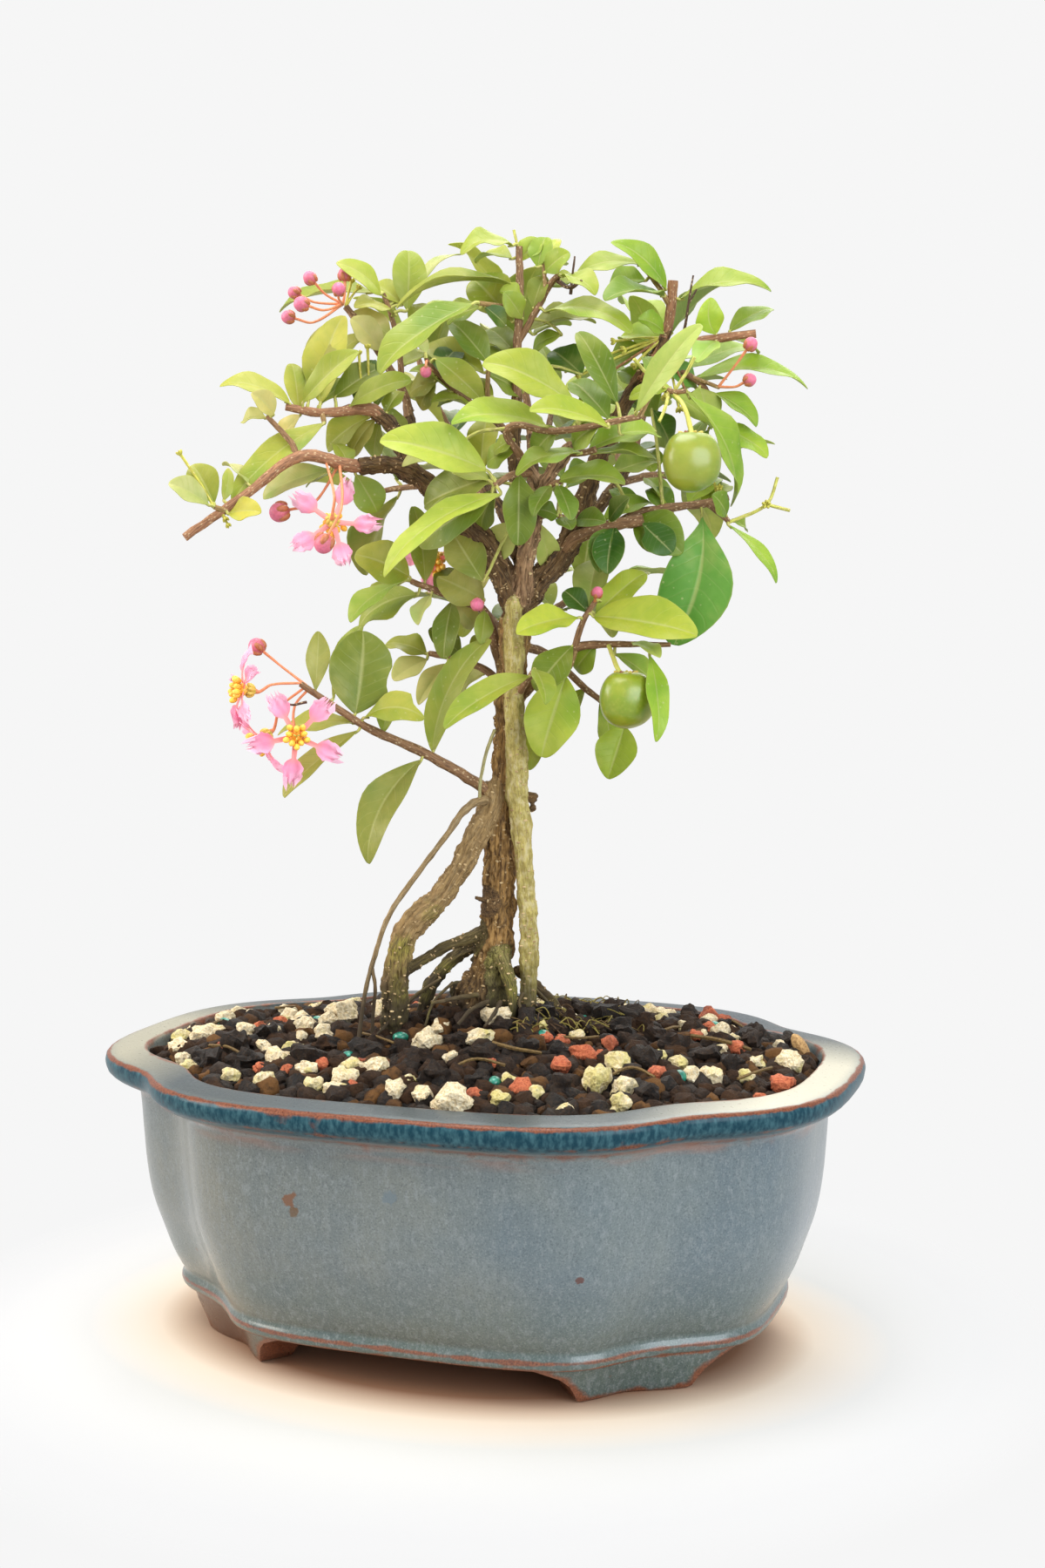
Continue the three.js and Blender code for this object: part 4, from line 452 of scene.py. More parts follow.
def add_limb(skin, path, sides, finish, tint, knots=0.0):
    """A round limb along a path. knots is how much its radius varies."""
    rings = []
    spots = []
    run = 0
    for i, ((place, radius), (along, aside, other)) in enumerate(zip(path, carried(path))):
        run += (place - path[max(i - 1, 0)][0]).length
        ring = []
        for k in range(sides):
            angle = 2 * math.pi * k / sides
            out = aside * math.cos(angle) + other * math.sin(angle)
            reach = radius * (1 + knots * noise.noise(place * 0.55 + out * 0.6))
            ring.append(place + out * reach)
            spots.append((math.cos(angle) * radius, math.sin(angle) * radius, run))
        rings.append(ring)
    points, faces = skin_of_rings(rings)
    spots += [(0, 0, 0), (0, 0, run)]
    skin.add(points, faces, finish, [tint] * len(points), spots)


def add_ball(skin, centre, axis, radii, finish, tints, sides=12, rings=8):
    """An egg along an axis: radii are its half length and half width, tints its two ends' colours."""
    axis = axis.normalized()
    aside, other = beside(axis, RIGHT if abs(axis.z) > STEEP else UP)
    lines = []
    shades = []
    for r in range(rings + 1):
        turn = math.pi * (0.06 + 0.88 * r / rings)
        reach = math.sin(turn) * radii[1]
        middle = centre - axis * math.cos(turn) * radii[0]
        share = r / rings
        shade = tuple(a + (b - a) * share for a, b in zip(*tints))
        ring = []
        for k in range(sides):
            angle = 2 * math.pi * k / sides
            ring.append(middle + (aside * math.cos(angle) + other * math.sin(angle)) * reach)
        lines.append(ring)
        shades += [shade] * sides
    points, faces = skin_of_rings(lines)
    spots = [tuple((point - centre)[:]) for point in points]
    skin.add(points, faces, finish, [*shades, tints[0], tints[1]], spots)


print("a smooth line of three places has", len(smooth_path([(UP, 1), (RIGHT, 1), (AWAY, 1)], 4)), "rows")

# %% [markdown]
# ## The pot
# The pot is thrown from grey-brown clay and pressed into four lobes, then dipped in a blue-grey
# glaze. Seen from above it is two rounded rectangles laid across each other. The outline is kept as
# a rule, so that the wall, the lip and the feet are all the same outline moved inward. Its side is
# a profile, drawn as rows of how far inward and how high, and smoothed like the twigs are.

# %% Outline of the pot
LONG_LOBE = (101.5, 62.5, 3.0)
DEEP_LOBE = (77.5, 81.5, 3.4)
CORNER_SHARPNESS = 34
LIP_WIDTH = 11.2
FOOT_HEIGHT = 10
FLOOR_THICKNESS = 7


def lobe_radius(lobe, angle):
    half_length, half_depth, roundness = lobe
    x = abs(math.cos(angle)) / half_length
    y = abs(math.sin(angle)) / half_depth
    return (x ** roundness + y ** roundness) ** (-1 / roundness)


def plan_radius(angle):
    """How far the rim's edge is from the middle of the pot."""
    long = lobe_radius(LONG_LOBE, angle)
    deep = lobe_radius(DEEP_LOBE, angle)
    wider = max(long, deep)
    sharp = CORNER_SHARPNESS
    return wider * ((long / wider) ** sharp + (deep / wider) ** sharp) ** (1 / sharp)


def plan_point(angle):
    return Vector((math.cos(angle), math.sin(angle))) * plan_radius(angle)


def corner_angle():
    low, high = 0.2, 1.3
    for _ in range(40):
        angle = (low + high) / 2
        if lobe_radius(LONG_LOBE, angle) > lobe_radius(DEEP_LOBE, angle):
            low = angle
        else:
            high = angle
    return low


CORNER = corner_angle()
print("the lobes meet at", round(math.degrees(CORNER), 1), "degrees")

# %% Angles round the plan
HALF_QUARTER = 18
CROWDING = 2.0


def plan_angles(half_quarter):
    """Angles round the plan, crowded towards the inward corners, where the outline turns."""
    quarter = []
    for i in range(half_quarter):
        quarter.append(CORNER * (1 - (1 - i / half_quarter) ** CROWDING))
    for i in range(half_quarter):
        quarter.append(CORNER + (math.pi / 2 - CORNER) * (i / half_quarter) ** CROWDING)
    half = quarter + [math.pi / 2] + [math.pi - angle for angle in reversed(quarter[1:])]
    return half + [angle + math.pi for angle in half]


def plan_ring(inset, z, angles):
    """The outline moved inward, at a height."""
    tiny = 1e-3
    ring = []
    for angle in angles:
        place = plan_point(angle)
        along = (plan_point(angle + tiny) - plan_point(angle - tiny)).normalized()
        ring.append(Vector((place.x - along.y * inset, place.y + along.x * inset, z)))
    return ring


ANGLES = plan_angles(HALF_QUARTER)
print("angles round the pot:", len(ANGLES))

# %% Profile of the pot
OUTER_PROFILE = [
    (21.5, 10), (20.3, 10.3), (19.7, 11.3), (19.6, 12.6), (20.2, 14.4), (19.2, 16.4), (17.2, 20.5),
    (15.2, 26), (12.2, 35), (10.7, 44), (9.9, 54), (9.3, 62.5), (8.6, 65.2), (6.4, 66.9), (3.0, 68.2),
    (0.7, 70.0),
    (0.05, 71.9), (0.1, 73.6), (0.8, 74.6), (2.0, 75.0), (5.5, 75.35), (9.6, 75.6), (10.7, 75.45),
    (LIP_WIDTH, 74.9),
]
SOIL_ROOM = [(28, FOOT_HEIGHT + FLOOR_THICKNESS), (20.5, 28), (16.5, 44), (15.4, 60)]
INNER_PROFILE = [(LIP_WIDTH + 0.3, 73.6), (12.6, 69), (15.4, 60), (16.5, 44), (20.5, 28)]
INNER_PROFILE += [(28, 17.2), (31, 17)]
PROFILE_STEPS = 4


def smooth_profile(rows, steps):
    path = smooth_path([(Vector((inset, z, 0)), 0) for inset, z in rows], steps)
    return [(place.x, place.y) for place, radius in path]


profile = smooth_profile(OUTER_PROFILE, PROFILE_STEPS) + smooth_profile(INNER_PROFILE, 2)
rings = [plan_ring(inset, z, ANGLES) for inset, z in profile]
print("rings of the pot:", len(rings))

# %% [markdown]
# Four low feet stand under the inward corners. Each one follows the outline between two angles, and
# its ends sweep in like a cloud's edge. The feet are joined to the bowl, and the drain holes cut out,
# with Boolean modifiers, so that the pot is one clean skin of fired clay.

# %% Feet
FOOT_OUTER_INSET = 22.5
FOOT_INNER_INSET = 40
FOOT_ROWS = [
    (13.5, 0.0, 0.43), (10.2, 0.35, 0.42), (8.9, 0.7, 0.36), (7.0, 1.4, 0.29), (4.8, 2.2, 0.25),
    (2.4, 2.9, 0.228), (0.7, 3.3, 0.215), (0.0, 4.0, 0.2),
]
FOOT_STEPS = 14
INNER_TAPER = 1.5
DRAIN_RADIUS = 8
DRAIN_SIDES = 40
DRAIN_SPARE = 4
DRAIN_OFFSET = 38


def foot_rings(sign_x, sign_y):
    rings = []
    for z, taper, half_angle in FOOT_ROWS:
        outer = []
        inner = []
        for i in range(FOOT_STEPS + 1):
            place = plan_point(CORNER + half_angle * (2 * i / FOOT_STEPS - 1))
            way = place.normalized()
            outer.append(way * (place.length - FOOT_OUTER_INSET - taper))
            inner.append(way * (place.length - FOOT_INNER_INSET + taper * INNER_TAPER))
        ring = outer + inner[::-1]
        rings.append([Vector((p.x * sign_x, p.y * sign_y, z)) for p in ring])
    return rings


def plain_object(name, points, faces):
    """An object for use in a modifier, with every face turned outwards."""
    mesh = bpy.data.meshes.new(name)
    mesh.from_pydata([point * MM for point in points], [], faces)
    volume = 0
    for face in faces:
        for i in range(1, len(face) - 1):
            volume += points[face[0]].dot(points[face[i]].cross(points[face[i + 1]]))
    if volume < 0:
        mesh.flip_normals()
    made = bpy.data.objects.new(name, mesh)
    scene.collection.objects.link(made)
    return made


def final_mesh(made, name):
    """What an object's modifiers make of it, as a plain mesh. The object is deleted."""
    depsgraph = bpy.context.evaluated_depsgraph_get()
    mesh = bpy.data.meshes.new_from_object(made.evaluated_get(depsgraph))
    mesh.name = name
    bpy.data.objects.remove(made)
    return mesh


bowl = plain_object("bowl", *skin_of_rings(rings))
cutters = []
for sign_x in (-1, 1):
    for sign_y in (-1, 1):
        foot = plain_object("foot", *skin_of_rings(foot_rings(sign_x, sign_y)))
        cutters.append((foot, "UNION"))
for side in (-1, 1):
    tube = []
    for z in (FOOT_HEIGHT - DRAIN_SPARE, FOOT_HEIGHT + FLOOR_THICKNESS + DRAIN_SPARE):
        ring = []
        for i in range(DRAIN_SIDES):
            turn = 2 * math.pi * i / DRAIN_SIDES
            x = side * DRAIN_OFFSET + DRAIN_RADIUS * math.cos(turn)
            ring.append(Vector((x, DRAIN_RADIUS * math.sin(turn), z)))
        tube.append(ring)
    cutters.append((plain_object("drain", *skin_of_rings(tube)), "DIFFERENCE"))
for cutter, operation in cutters:
    change = bowl.modifiers.new(operation, "BOOLEAN")
    change.operation = operation
    change.solver = "MANIFOLD"
    change.object = cutter
pot_mesh = final_mesh(bowl, "pot")
for cutter, operation in cutters:
    bpy.data.objects.remove(cutter)
print("pot:", triangles(pot_mesh), "triangles")

# %% [markdown]
# ## Glaze
# Glaze runs off sharp edges while it melts, so the clay shows red-brown through it there: along the
# rim, under the rim, on the base line and on the feet. It pools deep teal on the rim's band. Each
# point of the pot gets one number for thin glaze and one for pooled glaze, worked out from where it
# lies on the profile, and the material breaks both up with noise so that no line looks drawn.

# %% Thin and pooled glaze
def bell(value, middle, width):
    return math.exp(-(((value - middle) / width) ** 2))


def thin_glaze(inset, z):
    if z > 73:
        return max(bell(inset, 0.8, 0.8) * bell(z, 74.5, 0.9), 0.75 * bell(inset, 10.9, 0.7))
    under_rim = 0.66 * bell(z, 66.4, 0.9) + 0.4 * bell(z, 69.4, 0.6) * (inset < 4)
    base = 0.9 * bell(z, 12.4, 0.7) + 0.9 * bell(z, 10.2, 0.7)
    foot = 0.9 * bell(z, 0.2, 0.8)
    return max(under_rim, base, foot, 0.42 * bell(z, 66.6, 2.4) * (inset > 4))


def pooled_glaze(inset, z):
    band = min(1, max(0, (z - 67.6) / 1.6)) if inset < 7 else 0
    return band * min(1, max(0, (75.0 - z) / 0.5))


def foot_half_angle(z):
    """Half the angle that a foot takes up at a height."""
    for (high, taper, wide), (low, taper_below, narrow) in zip(FOOT_ROWS, FOOT_ROWS[1:]):
        if z >= low:
            return narrow + (wide - narrow) * min(1, (z - low) / (high - low))
    return FOOT_ROWS[-1][2]


def foot_edge(point):
    """How near a point of a foot is to its inner side, its ends or its bottom edge, from 0 to 1."""
    angle = math.atan2(abs(point.y), abs(point.x))
    depth = plan_radius(angle) - point.xy.length
    inside = min(1, max(0, (depth - FOOT_OUTER_INSET - 5) / 3))
    swept = min(1, max(0, abs(angle - CORNER) / foot_half_angle(point.z) - 0.78) / 0.2)
    return min(1, max(inside, swept, 0.9 * bell(point.z, 0, 1.1)))


def on_wall(x, y):
    """The point of the pot's wall that shows at a column and row of the picture."""
    heights = [z for inset, z in OUTER_PROFILE]
    away = -110
    while away < 0:
        point = seen(x, y, away)
        near = min(range(len(heights)), key=lambda i: abs(heights[i] - point.z))
        if plan_radius(math.atan2(point.y, point.x)) - point.xy.length > OUTER_PROFILE[near][0]:
            break
        away += 0.25
    return point


UNDERSIDE = 0.1
thin = []
pooled = []
for vertex in pot_mesh.vertices:
    point = vertex.co / MM
    inset = plan_radius(math.atan2(point.y, point.x)) - point.xy.length
    amount = thin_glaze(inset, point.z)
    if point.z < FOOT_HEIGHT - UNDERSIDE:
        amount = foot_edge(point)
    elif point.z < FOOT_HEIGHT + UNDERSIDE and inset > FOOT_OUTER_INSET:
        amount = 1
    thin.append(amount)
    pooled.append(pooled_glaze(inset, point.z))
point_values(pot_mesh, "thin_glaze", thin)
point_values(pot_mesh, "pooled_glaze", pooled)
print("thin glaze on", sum(value > 0.5 for value in thin), "points of", len(thin))

# %% Glaze material
# Column and row in the picture, radius in mm, colour
BLEMISHES = [
    (332, 1379, 2.1, (104, 62, 26)), (337, 1391, 1.4, (90, 66, 40)), (665, 1470, 1.1, (82, 42, 32)),
    (448, 1376, 1.9, (92, 104, 110)),
]
LIP_BOTTOM = 67.8


def glaze_tree(name, coat, specular):
    """The glaze, with the weight of its clear coat and its specular level."""
    made, tree = new_material(name)
    place = object_place(tree)
    thin = attribute(tree, "thin_glaze", "Fac")
    pooled = attribute(tree, "pooled_glaze", "Fac")
    cloudy = noise_value(tree, place, 30.0, 3.0, 0.6)
    grains = noise_value(tree, place, 2100.0, 2.0, 0.6)
    specks = noise_value(tree, stretched(tree, place, (1.0, 1.0, 0.5)), 800.0, 2.0, 0.6)
    streaks = noise_value(tree, stretched(tree, place, (1.0, 1.0, 0.1)), 300.0, 3.0)
    along, deep, height = node(tree, "ShaderNodeSeparateXYZ", {0: place}).outputs
    body = mix(tree, remap(tree, cloudy, 0.3, 0.7), linear(88, 98, 103), linear(106, 109, 104))
    cooler = mix(tree, 1.0, body, (0.97, 1.07, 1.14, 1), "MULTIPLY")
    warmer = mix(tree, 1.0, body, (1.1, 1.02, 0.9, 1), "MULTIPLY")
    body = mix(tree, remap(tree, along, -0.05, 0.05), warmer, cooler)
    body = mix(tree, remap(tree, height, 0.034, 0.012, 0, 0.7), body, linear(62, 78, 70))
    body = mix(tree, remap(tree, streaks, 0.4, 0.75, 0, 0.22), body, linear(70, 84, 92))
    body = mix(tree, remap(tree, specks, 0.5, 0.75, 0, 0.5), body, linear(126, 132, 134))
    body = mix(tree, remap(tree, grains, 0.55, 0.72, 0, 0.4), body, linear(140, 146, 146))
    body = mix(tree, remap(tree, grains, 0.46, 0.3, 0, 0.45), body, linear(50, 58, 64))
    pool = mix(tree, remap(tree, specks, 0.4, 0.72), linear(20, 56, 68), linear(58, 92, 100))
    colour = mix(tree, pooled, body, pool)
    ends = remap(tree, calculate(tree, "ABSOLUTE", along), 0.058, 0.088, 0.06, 1)
    ends = calculate(tree, "MULTIPLY", ends, remap(tree, deep, 0.008, 0.04, 1, 0.1))
    top = remap(tree, height, 0.0744, 0.0752, 0, 0.85)
    cream = mix(tree, remap(tree, along, -0.05, 0.05), linear(146, 141, 122), linear(186, 180, 160))
    colour = mix(tree, top, colour, mix(tree, ends, linear(20, 40, 50), cream))
    crumbly = noise_value(tree, place, 210.0, 3.0)
    ragged = calculate(tree, "ADD", thin, remap(tree, crumbly, 0.3, 0.7, -0.28, 0.28))
    washed = noise_value(tree, stretched(tree, place, (1.0, 1.0, 3.0)), 26.0, 3.0)
    washed = remap(tree, washed, 0.5, 0.66, 0, 0.34)
    ragged = calculate(tree, "ADD", ragged, calculate(tree, "MULTIPLY", pooled, washed))
    streaked = calculate(tree, "MULTIPLY", top, remap(tree, deep, 0.02, 0.05, 0, 0.5))
    ragged = calculate(tree, "ADD", ragged, calculate(tree, "MULTIPLY", streaked, washed))
    rust = mix(tree, remap(tree, grains, 0.3, 0.7), linear(82, 42, 28), linear(132, 78, 52))
    colour = mix(tree, remap(tree, ragged, 0.34, 0.74, 0, 0.92), colour, rust)
    run = noise_value(tree, stretched(tree, place, (1.0, 1.0, 6.0)), 42.0, 3.0, 0.6)
    run = remap(tree, run, 0.44, 0.62)
    under_lip = remap(tree, height, 0.0615, 0.065)
    under_lip = calculate(tree, "MULTIPLY", under_lip, remap(tree, height, 0.0676, 0.0664))
    run = calculate(tree, "MULTIPLY", calculate(tree, "MULTIPLY", run, under_lip), 0.6)
    colour = mix(tree, run, colour, linear(140, 98, 80))
    low = remap(tree, height, 0.0112, 0.0096)
    low = calculate(tree, "MULTIPLY", low, remap(tree, along, -0.04, -0.052, 0, 0.8))
    colour = mix(tree, low, colour, linear(88, 54, 38))
    spots = node(tree, "ShaderNodeTexVoronoi", {"Vector": place, "Scale": 55.0}).outputs[0]
    pits = remap(tree, spots, 0.045, 0.02)
    colour = mix(tree, calculate(tree, "MULTIPLY", pits, 0.7), colour, linear(92, 60, 44))
    wander = noise_value(tree, place, 420.0, 3.0, 0.6)
    for x, y, reach, shade in BLEMISHES:
        spot = on_wall(x, y) * MM
        away = node(tree, "ShaderNodeVectorMath", {0: place, 1: spot}, operation="DISTANCE").outputs[1]
        reach *= MM
        away = calculate(tree, "ADD", away, remap(tree, wander, 0.3, 0.7, -0.5 * reach, 0.5 * reach))
        colour = mix(tree, remap(tree, away, reach, 0.7 * reach, 0, 0.85), colour, linear(*shade))
    relief = calculate(tree, "ADD", calculate(tree, "MULTIPLY", grains, 0.3), cloudy)
    inputs = {"Base Color": colour, "Normal": bumped(tree, relief, 0.12, 0.0006)}
    inputs["Roughness"] = remap(tree, specks, 0.3, 0.7, 0.26, 0.42)
    inputs.update({"Coat Weight": coat, "Coat Roughness": 0.14, "Coat IOR": 1.5})
    inputs["Specular IOR Level"] = specular
    return principled(made, tree, inputs)


wall_glaze = glaze_tree("blue_grey_glaze", 0.4, 0.5)
lip_glaze = glaze_tree("glaze_of_the_lip", 0.08, 0.16)
pot_mesh.materials.clear()
for made in (wall_glaze, lip_glaze):
    pot_mesh.materials.append(made)
for face in pot_mesh.polygons:
    face.material_index = int(face.center.z / MM > LIP_BOTTOM)
pot_mesh.shade_smooth()
pot_mesh.set_sharp_from_angle(angle=math.radians(50))
pot = bpy.data.objects.new("glazed_pot", pot_mesh)
scene.collection.objects.link(pot)
declare(pot, "pot_glaze", "pot")

# %% [markdown]
# ## Soil
# The pot is filled with a coarse mix: dark clumps of compost and crushed rock, cream pumice, orange
# baked clay, a few teal fertiliser pearls, and bits of bark and root. A bed follows the mound of the
# soil. The clumps are scattered on it by Geometry Nodes, which can hold thousands of copies of a few
# rough lumps and turn each one at random.

# %% Height of the soil
SOIL_EDGE = 73.4
SOIL_SWELL = 6.6
SOIL_MOUND = 7
MOUND_RADIUS = 20
NECK_INSET = 12.4
TRUNK_FOOT = seen(558, 1158, 2)


def soil_height(x, y):
    edge = plan_radius(math.atan2(y, x)) - NECK_INSET
    share = min(1, math.hypot(x, y) / edge)
    from_trunk = math.hypot(x - TRUNK_FOOT.x, y - TRUNK_FOOT.y)
    mound = SOIL_MOUND * math.exp(-((from_trunk / MOUND_RADIUS) ** 2))
    return SOIL_EDGE + SOIL_SWELL * (1 - share ** 2) + mound


def on_soil(x, y, higher=0.0):
    """The point on the soil that shows at a column and row of the picture."""
    near, far = -110, 110
    for _ in range(30):
        away = (near + far) / 2
        point = seen(x, y, away)
        if point.z > soil_height(point.x, point.y) + higher:
            near = away
        else:
            far = away
    return seen(x, y, near)


print("the soil is", round(soil_height(0, 0), 1), "mm high in the middle of the pot")

# %% Bed of the soil
BED_ANGLES = plan_angles(10)
BED_STEPS = 26
rings = [plan_ring(inset + 0.4, max(z, 18.6), BED_ANGLES) for inset, z in SOIL_ROOM]
edge = plan_ring(NECK_INSET + 0.4, SOIL_EDGE - 1.6, BED_ANGLES)
rings.append(edge)
for step in range(BED_STEPS - 1, 0, -1):
    ring = []
    for point in edge:
        x = point.x * step / BED_STEPS
        y = point.y * step / BED_STEPS
        lump = 1.4 * noise.noise(Vector((x, y, 0)) * 0.16) + 0.7 * noise.noise(Vector((x, y, 9)) * 0.5)
        ring.append(Vector((x, y, soil_height(x, y) - 1.2 + lump)))
    rings.append(ring)
bed_points, bed_faces = skin_of_rings(rings)
bed = plain_object("soil_bed", bed_points, bed_faces)
top_rings = rings[len(SOIL_ROOM):]
top_points, top_faces = skin_of_rings(top_rings)
under_middle = len(top_rings) * len(edge)
cover = plain_object("soil_cover", top_points, [f for f in top_faces if under_middle not in f])
print("bed:", triangles(bed.data), "triangles")

# %% Materials of the soil
earth, tree = new_material("dark_soil_clumps")
place = object_place(tree)
tone = attribute(tree, "tone", "Fac")
fine = noise_value(tree, place, 1400.0, 4.0, 0.7)
coarse = noise_value(tree, place, 330.0, 2.0)
colour = mix(tree, remap(tree, tone, 0.0, 0.75), linear(20, 15, 11), linear(56, 38, 24))
colour = mix(tree, remap(tree, tone, 0.82, 0.94), colour, linear(98, 68, 38))
# painted highlight: fine flecks, lighter where the fine bump rises
colour = mix(tree, remap(tree, fine, 0.48, 0.78, 0, 0.5), colour, linear(84, 60, 36))
colour = mix(tree, remap(tree, coarse, 0.5, 0.35, 0, 0.6), colour, linear(18, 15, 15))
relief = calculate(tree, "ADD", fine, coarse)
inputs = {"Base Color": colour, "Normal": bumped(tree, relief, 0.9, 0.0009)}
inputs["Roughness"] = remap(tree, tone, 0.0, 0.7, 0.55, 0.98)
inputs["Specular IOR Level"] = 0.3
principled(earth, tree, inputs)


def stone_finish(name, light, shade, stain, stained, pits):
    """A porous grain: its light colour, its shaded colour, and a stain over part of it, with painted shade
    in its pits.
    """
    made, tree = new_material(name)
    place = object_place(tree)
    tone = attribute(tree, "tone", "Fac")
    holes = node(tree, "ShaderNodeTexVoronoi", {"Vector": place, "Scale": 900.0}).outputs[0]
    fine = noise_value(tree, place, 1600.0, 3.0, 0.65)
    cloud = noise_value(tree, place, 260.0, 2.0)
    colour = mix(tree, remap(tree, fine, 0.35, 0.7), linear(*shade), linear(*light))
    part = calculate(tree, "ADD", cloud, calculate(tree, "MULTIPLY", tone, 0.35))
    colour = mix(tree, remap(tree, part, 0.62, 0.9, 0, stained), colour, linear(*stain))
    # painted shade in the pits: the shaded colour at under half its brightness
    painted_pit_shade = linear(*(value * 0.45 for value in shade))
    colour = mix(tree, remap(tree, holes, 0.22, 0.08, 0, 0.55), colour, painted_pit_shade)
    relief = calculate(tree, "ADD", calculate(tree, "MULTIPLY", holes, pits), fine)
    inputs = {"Base Color": colour, "Roughness": 0.85, "Normal": bumped(tree, relief, 0.8, 0.0007)}
    return principled(made, tree, inputs)


pumice = stone_finish("cream_pumice", (232, 220, 190), (192, 168, 126), (176, 166, 66), 0.6, 1.2)
clay = stone_finish("orange_baked_clay", (196, 112, 74), (150, 68, 42), (96, 50, 38), 0.7, 0.8)
pearl, tree = new_material("teal_fertiliser_pearls")
glow = noise_value(tree, object_place(tree), 700.0, 2.0)
colour = mix(tree, remap(tree, glow, 0.35, 0.7), linear(10, 92, 78), linear(40, 140, 116))
inputs = {"Base Color": colour, "Roughness": 0.32, "Coat Weight": 0.4, "Coat Roughness": 0.15}
principled(pearl, tree, inputs)

# %% [markdown]
# ## A tree of nodes that scatters grains
# The tree starts with points spread over the bed. It makes a few rough lumps from a ball of only
# some dozen faces, each pushed in and out by noise, and picks one of them for each point. Each grain
# also keeps a random tone, which the materials read. Realize Instances turns the copies into faces
# of one mesh, because only plain meshes are kept.

# %% Scatter tree
LUMP_KINDS = 5
KIND_STEP = 7.3


def link(tree, source, target):
    tree.links.new(source, target)


def new_group(name, lengths, whole):
    """A Geometry Nodes tree with named inputs, and the sockets that give them."""
    tree = bpy.data.node_groups.new(name, "GeometryNodeTree")
    face = tree.interface
    face.new_socket("Geometry", in_out="INPUT", socket_type="NodeSocketGeometry")
    for label in lengths:
        face.new_socket(label, in_out="INPUT", socket_type="NodeSocketFloat")
    face.new_socket(whole, in_out="INPUT", socket_type="NodeSocketInt")
    face.new_socket("Geometry", in_out="OUTPUT", socket_type="NodeSocketGeometry")
    return tree, node(tree, "NodeGroupInput").outputs


def end_group(tree, copies, material):
    """Ends such a tree: the copies become real faces and get their material."""
    real = node(tree, "GeometryNodeRealizeInstances", {"Geometry": copies})
    dressed = node(tree, "GeometryNodeSetMaterial", {"Geometry": real.outputs[0], "Material": material})
    node(tree, "NodeGroupOutput", {"Geometry": dressed.outputs[0]})


def scatter_tree(name, material, sides, rings):
    """Rough grains on a surface, with named inputs for their spacing, sizes and seed."""
    lengths = ("Spacing", "Least Size", "Most Size", "Roughness")
    tree, given = new_group(name, lengths, "Seed")
    spread = node(tree, "GeometryNodeDistributePointsOnFaces", distribute_method="POISSON")
    link(tree, given["Geometry"], spread.inputs["Mesh"])
    link(tree, given["Spacing"], spread.inputs["Distance Min"])
    link(tree, given["Seed"], spread.inputs["Seed"])
    spread.inputs["Density Max"].default_value = 1e6
    lumps = node(tree, "GeometryNodeJoinGeometry")
    for kind in range(LUMP_KINDS):
        ball = node(tree, "GeometryNodeMeshUVSphere", {"Segments": sides, "Rings": rings, "Radius": 1.0})
        where = node(tree, "GeometryNodeInputPosition").outputs[0]
        inputs = {"Vector": where, "W": KIND_STEP * kind + 1, "Scale": 1.1, "Detail": 1.0}
        wild = node(tree, "ShaderNodeTexNoise", inputs, noise_dimensions="4D").outputs["Color"]
        inputs = {0: wild, 1: (0.5, 0.5, 0.5)}
        centred = node(tree, "ShaderNodeVectorMath", inputs, operation="SUBTRACT").outputs[0]
        inputs = {0: centred, "Scale": given["Roughness"]}
        push = node(tree, "ShaderNodeVectorMath", inputs, operation="SCALE").outputs[0]
        rough = node(tree, "GeometryNodeSetPosition", {"Geometry": ball.outputs[0], "Offset": push})
        single = node(tree, "GeometryNodeGeometryToInstance", {"Geometry": rough.outputs[0]})
        link(tree, single.outputs[0], lumps.inputs[0])
    tone = node(tree, "FunctionNodeRandomValue", {"Seed": 3}, data_type="FLOAT").outputs[1]
    inputs = {"Geometry": spread.outputs["Points"], "Name": "tone", "Value": tone}
    toned = node(tree, "GeometryNodeStoreNamedAttribute", inputs, data_type="FLOAT", domain="POINT")
    inputs = {"Max": (math.tau, math.tau, math.tau)}
    turn = node(tree, "FunctionNodeRandomValue", inputs, data_type="FLOAT_VECTOR").outputs[0]
    size = node(tree, "FunctionNodeRandomValue", {"Seed": 11}, data_type="FLOAT")
    link(tree, given["Least Size"], size.inputs[2])
    link(tree, given["Most Size"], size.inputs[3])
    inputs = {"Points": toned.outputs[0], "Instance": lumps.outputs[0], "Pick Instance": True}
    inputs.update({"Rotation": turn, "Scale": size.outputs[1]})
    placed = node(tree, "GeometryNodeInstanceOnPoints", inputs)
    end_group(tree, placed.outputs[0], material)
    return tree


def set_inputs(modifier, values):
    """Sets a Geometry Nodes modifier's inputs by the identifiers of their sockets."""
    for socket in modifier.node_group.interface.items_tree:
        if socket.in_out == "INPUT" and socket.name in values:
            modifier[socket.identifier] = values[socket.name]


def grown_mesh(source, tree, values, name):
    """The plain mesh that a Geometry Nodes tree makes from an object."""
    modifier = source.modifiers.new(tree.name, "NODES")
    modifier.node_group = tree
    set_inputs(modifier, values)
    depsgraph = bpy.context.evaluated_depsgraph_get()
    mesh = bpy.data.meshes.new_from_object(source.evaluated_get(depsgraph))
    mesh.name = name
    source.modifiers.remove(modifier)
    return mesh


clump_tree = scatter_tree("soil_clumps", earth, 9, 6)
print("scatter tree:", len(clump_tree.nodes), "nodes")

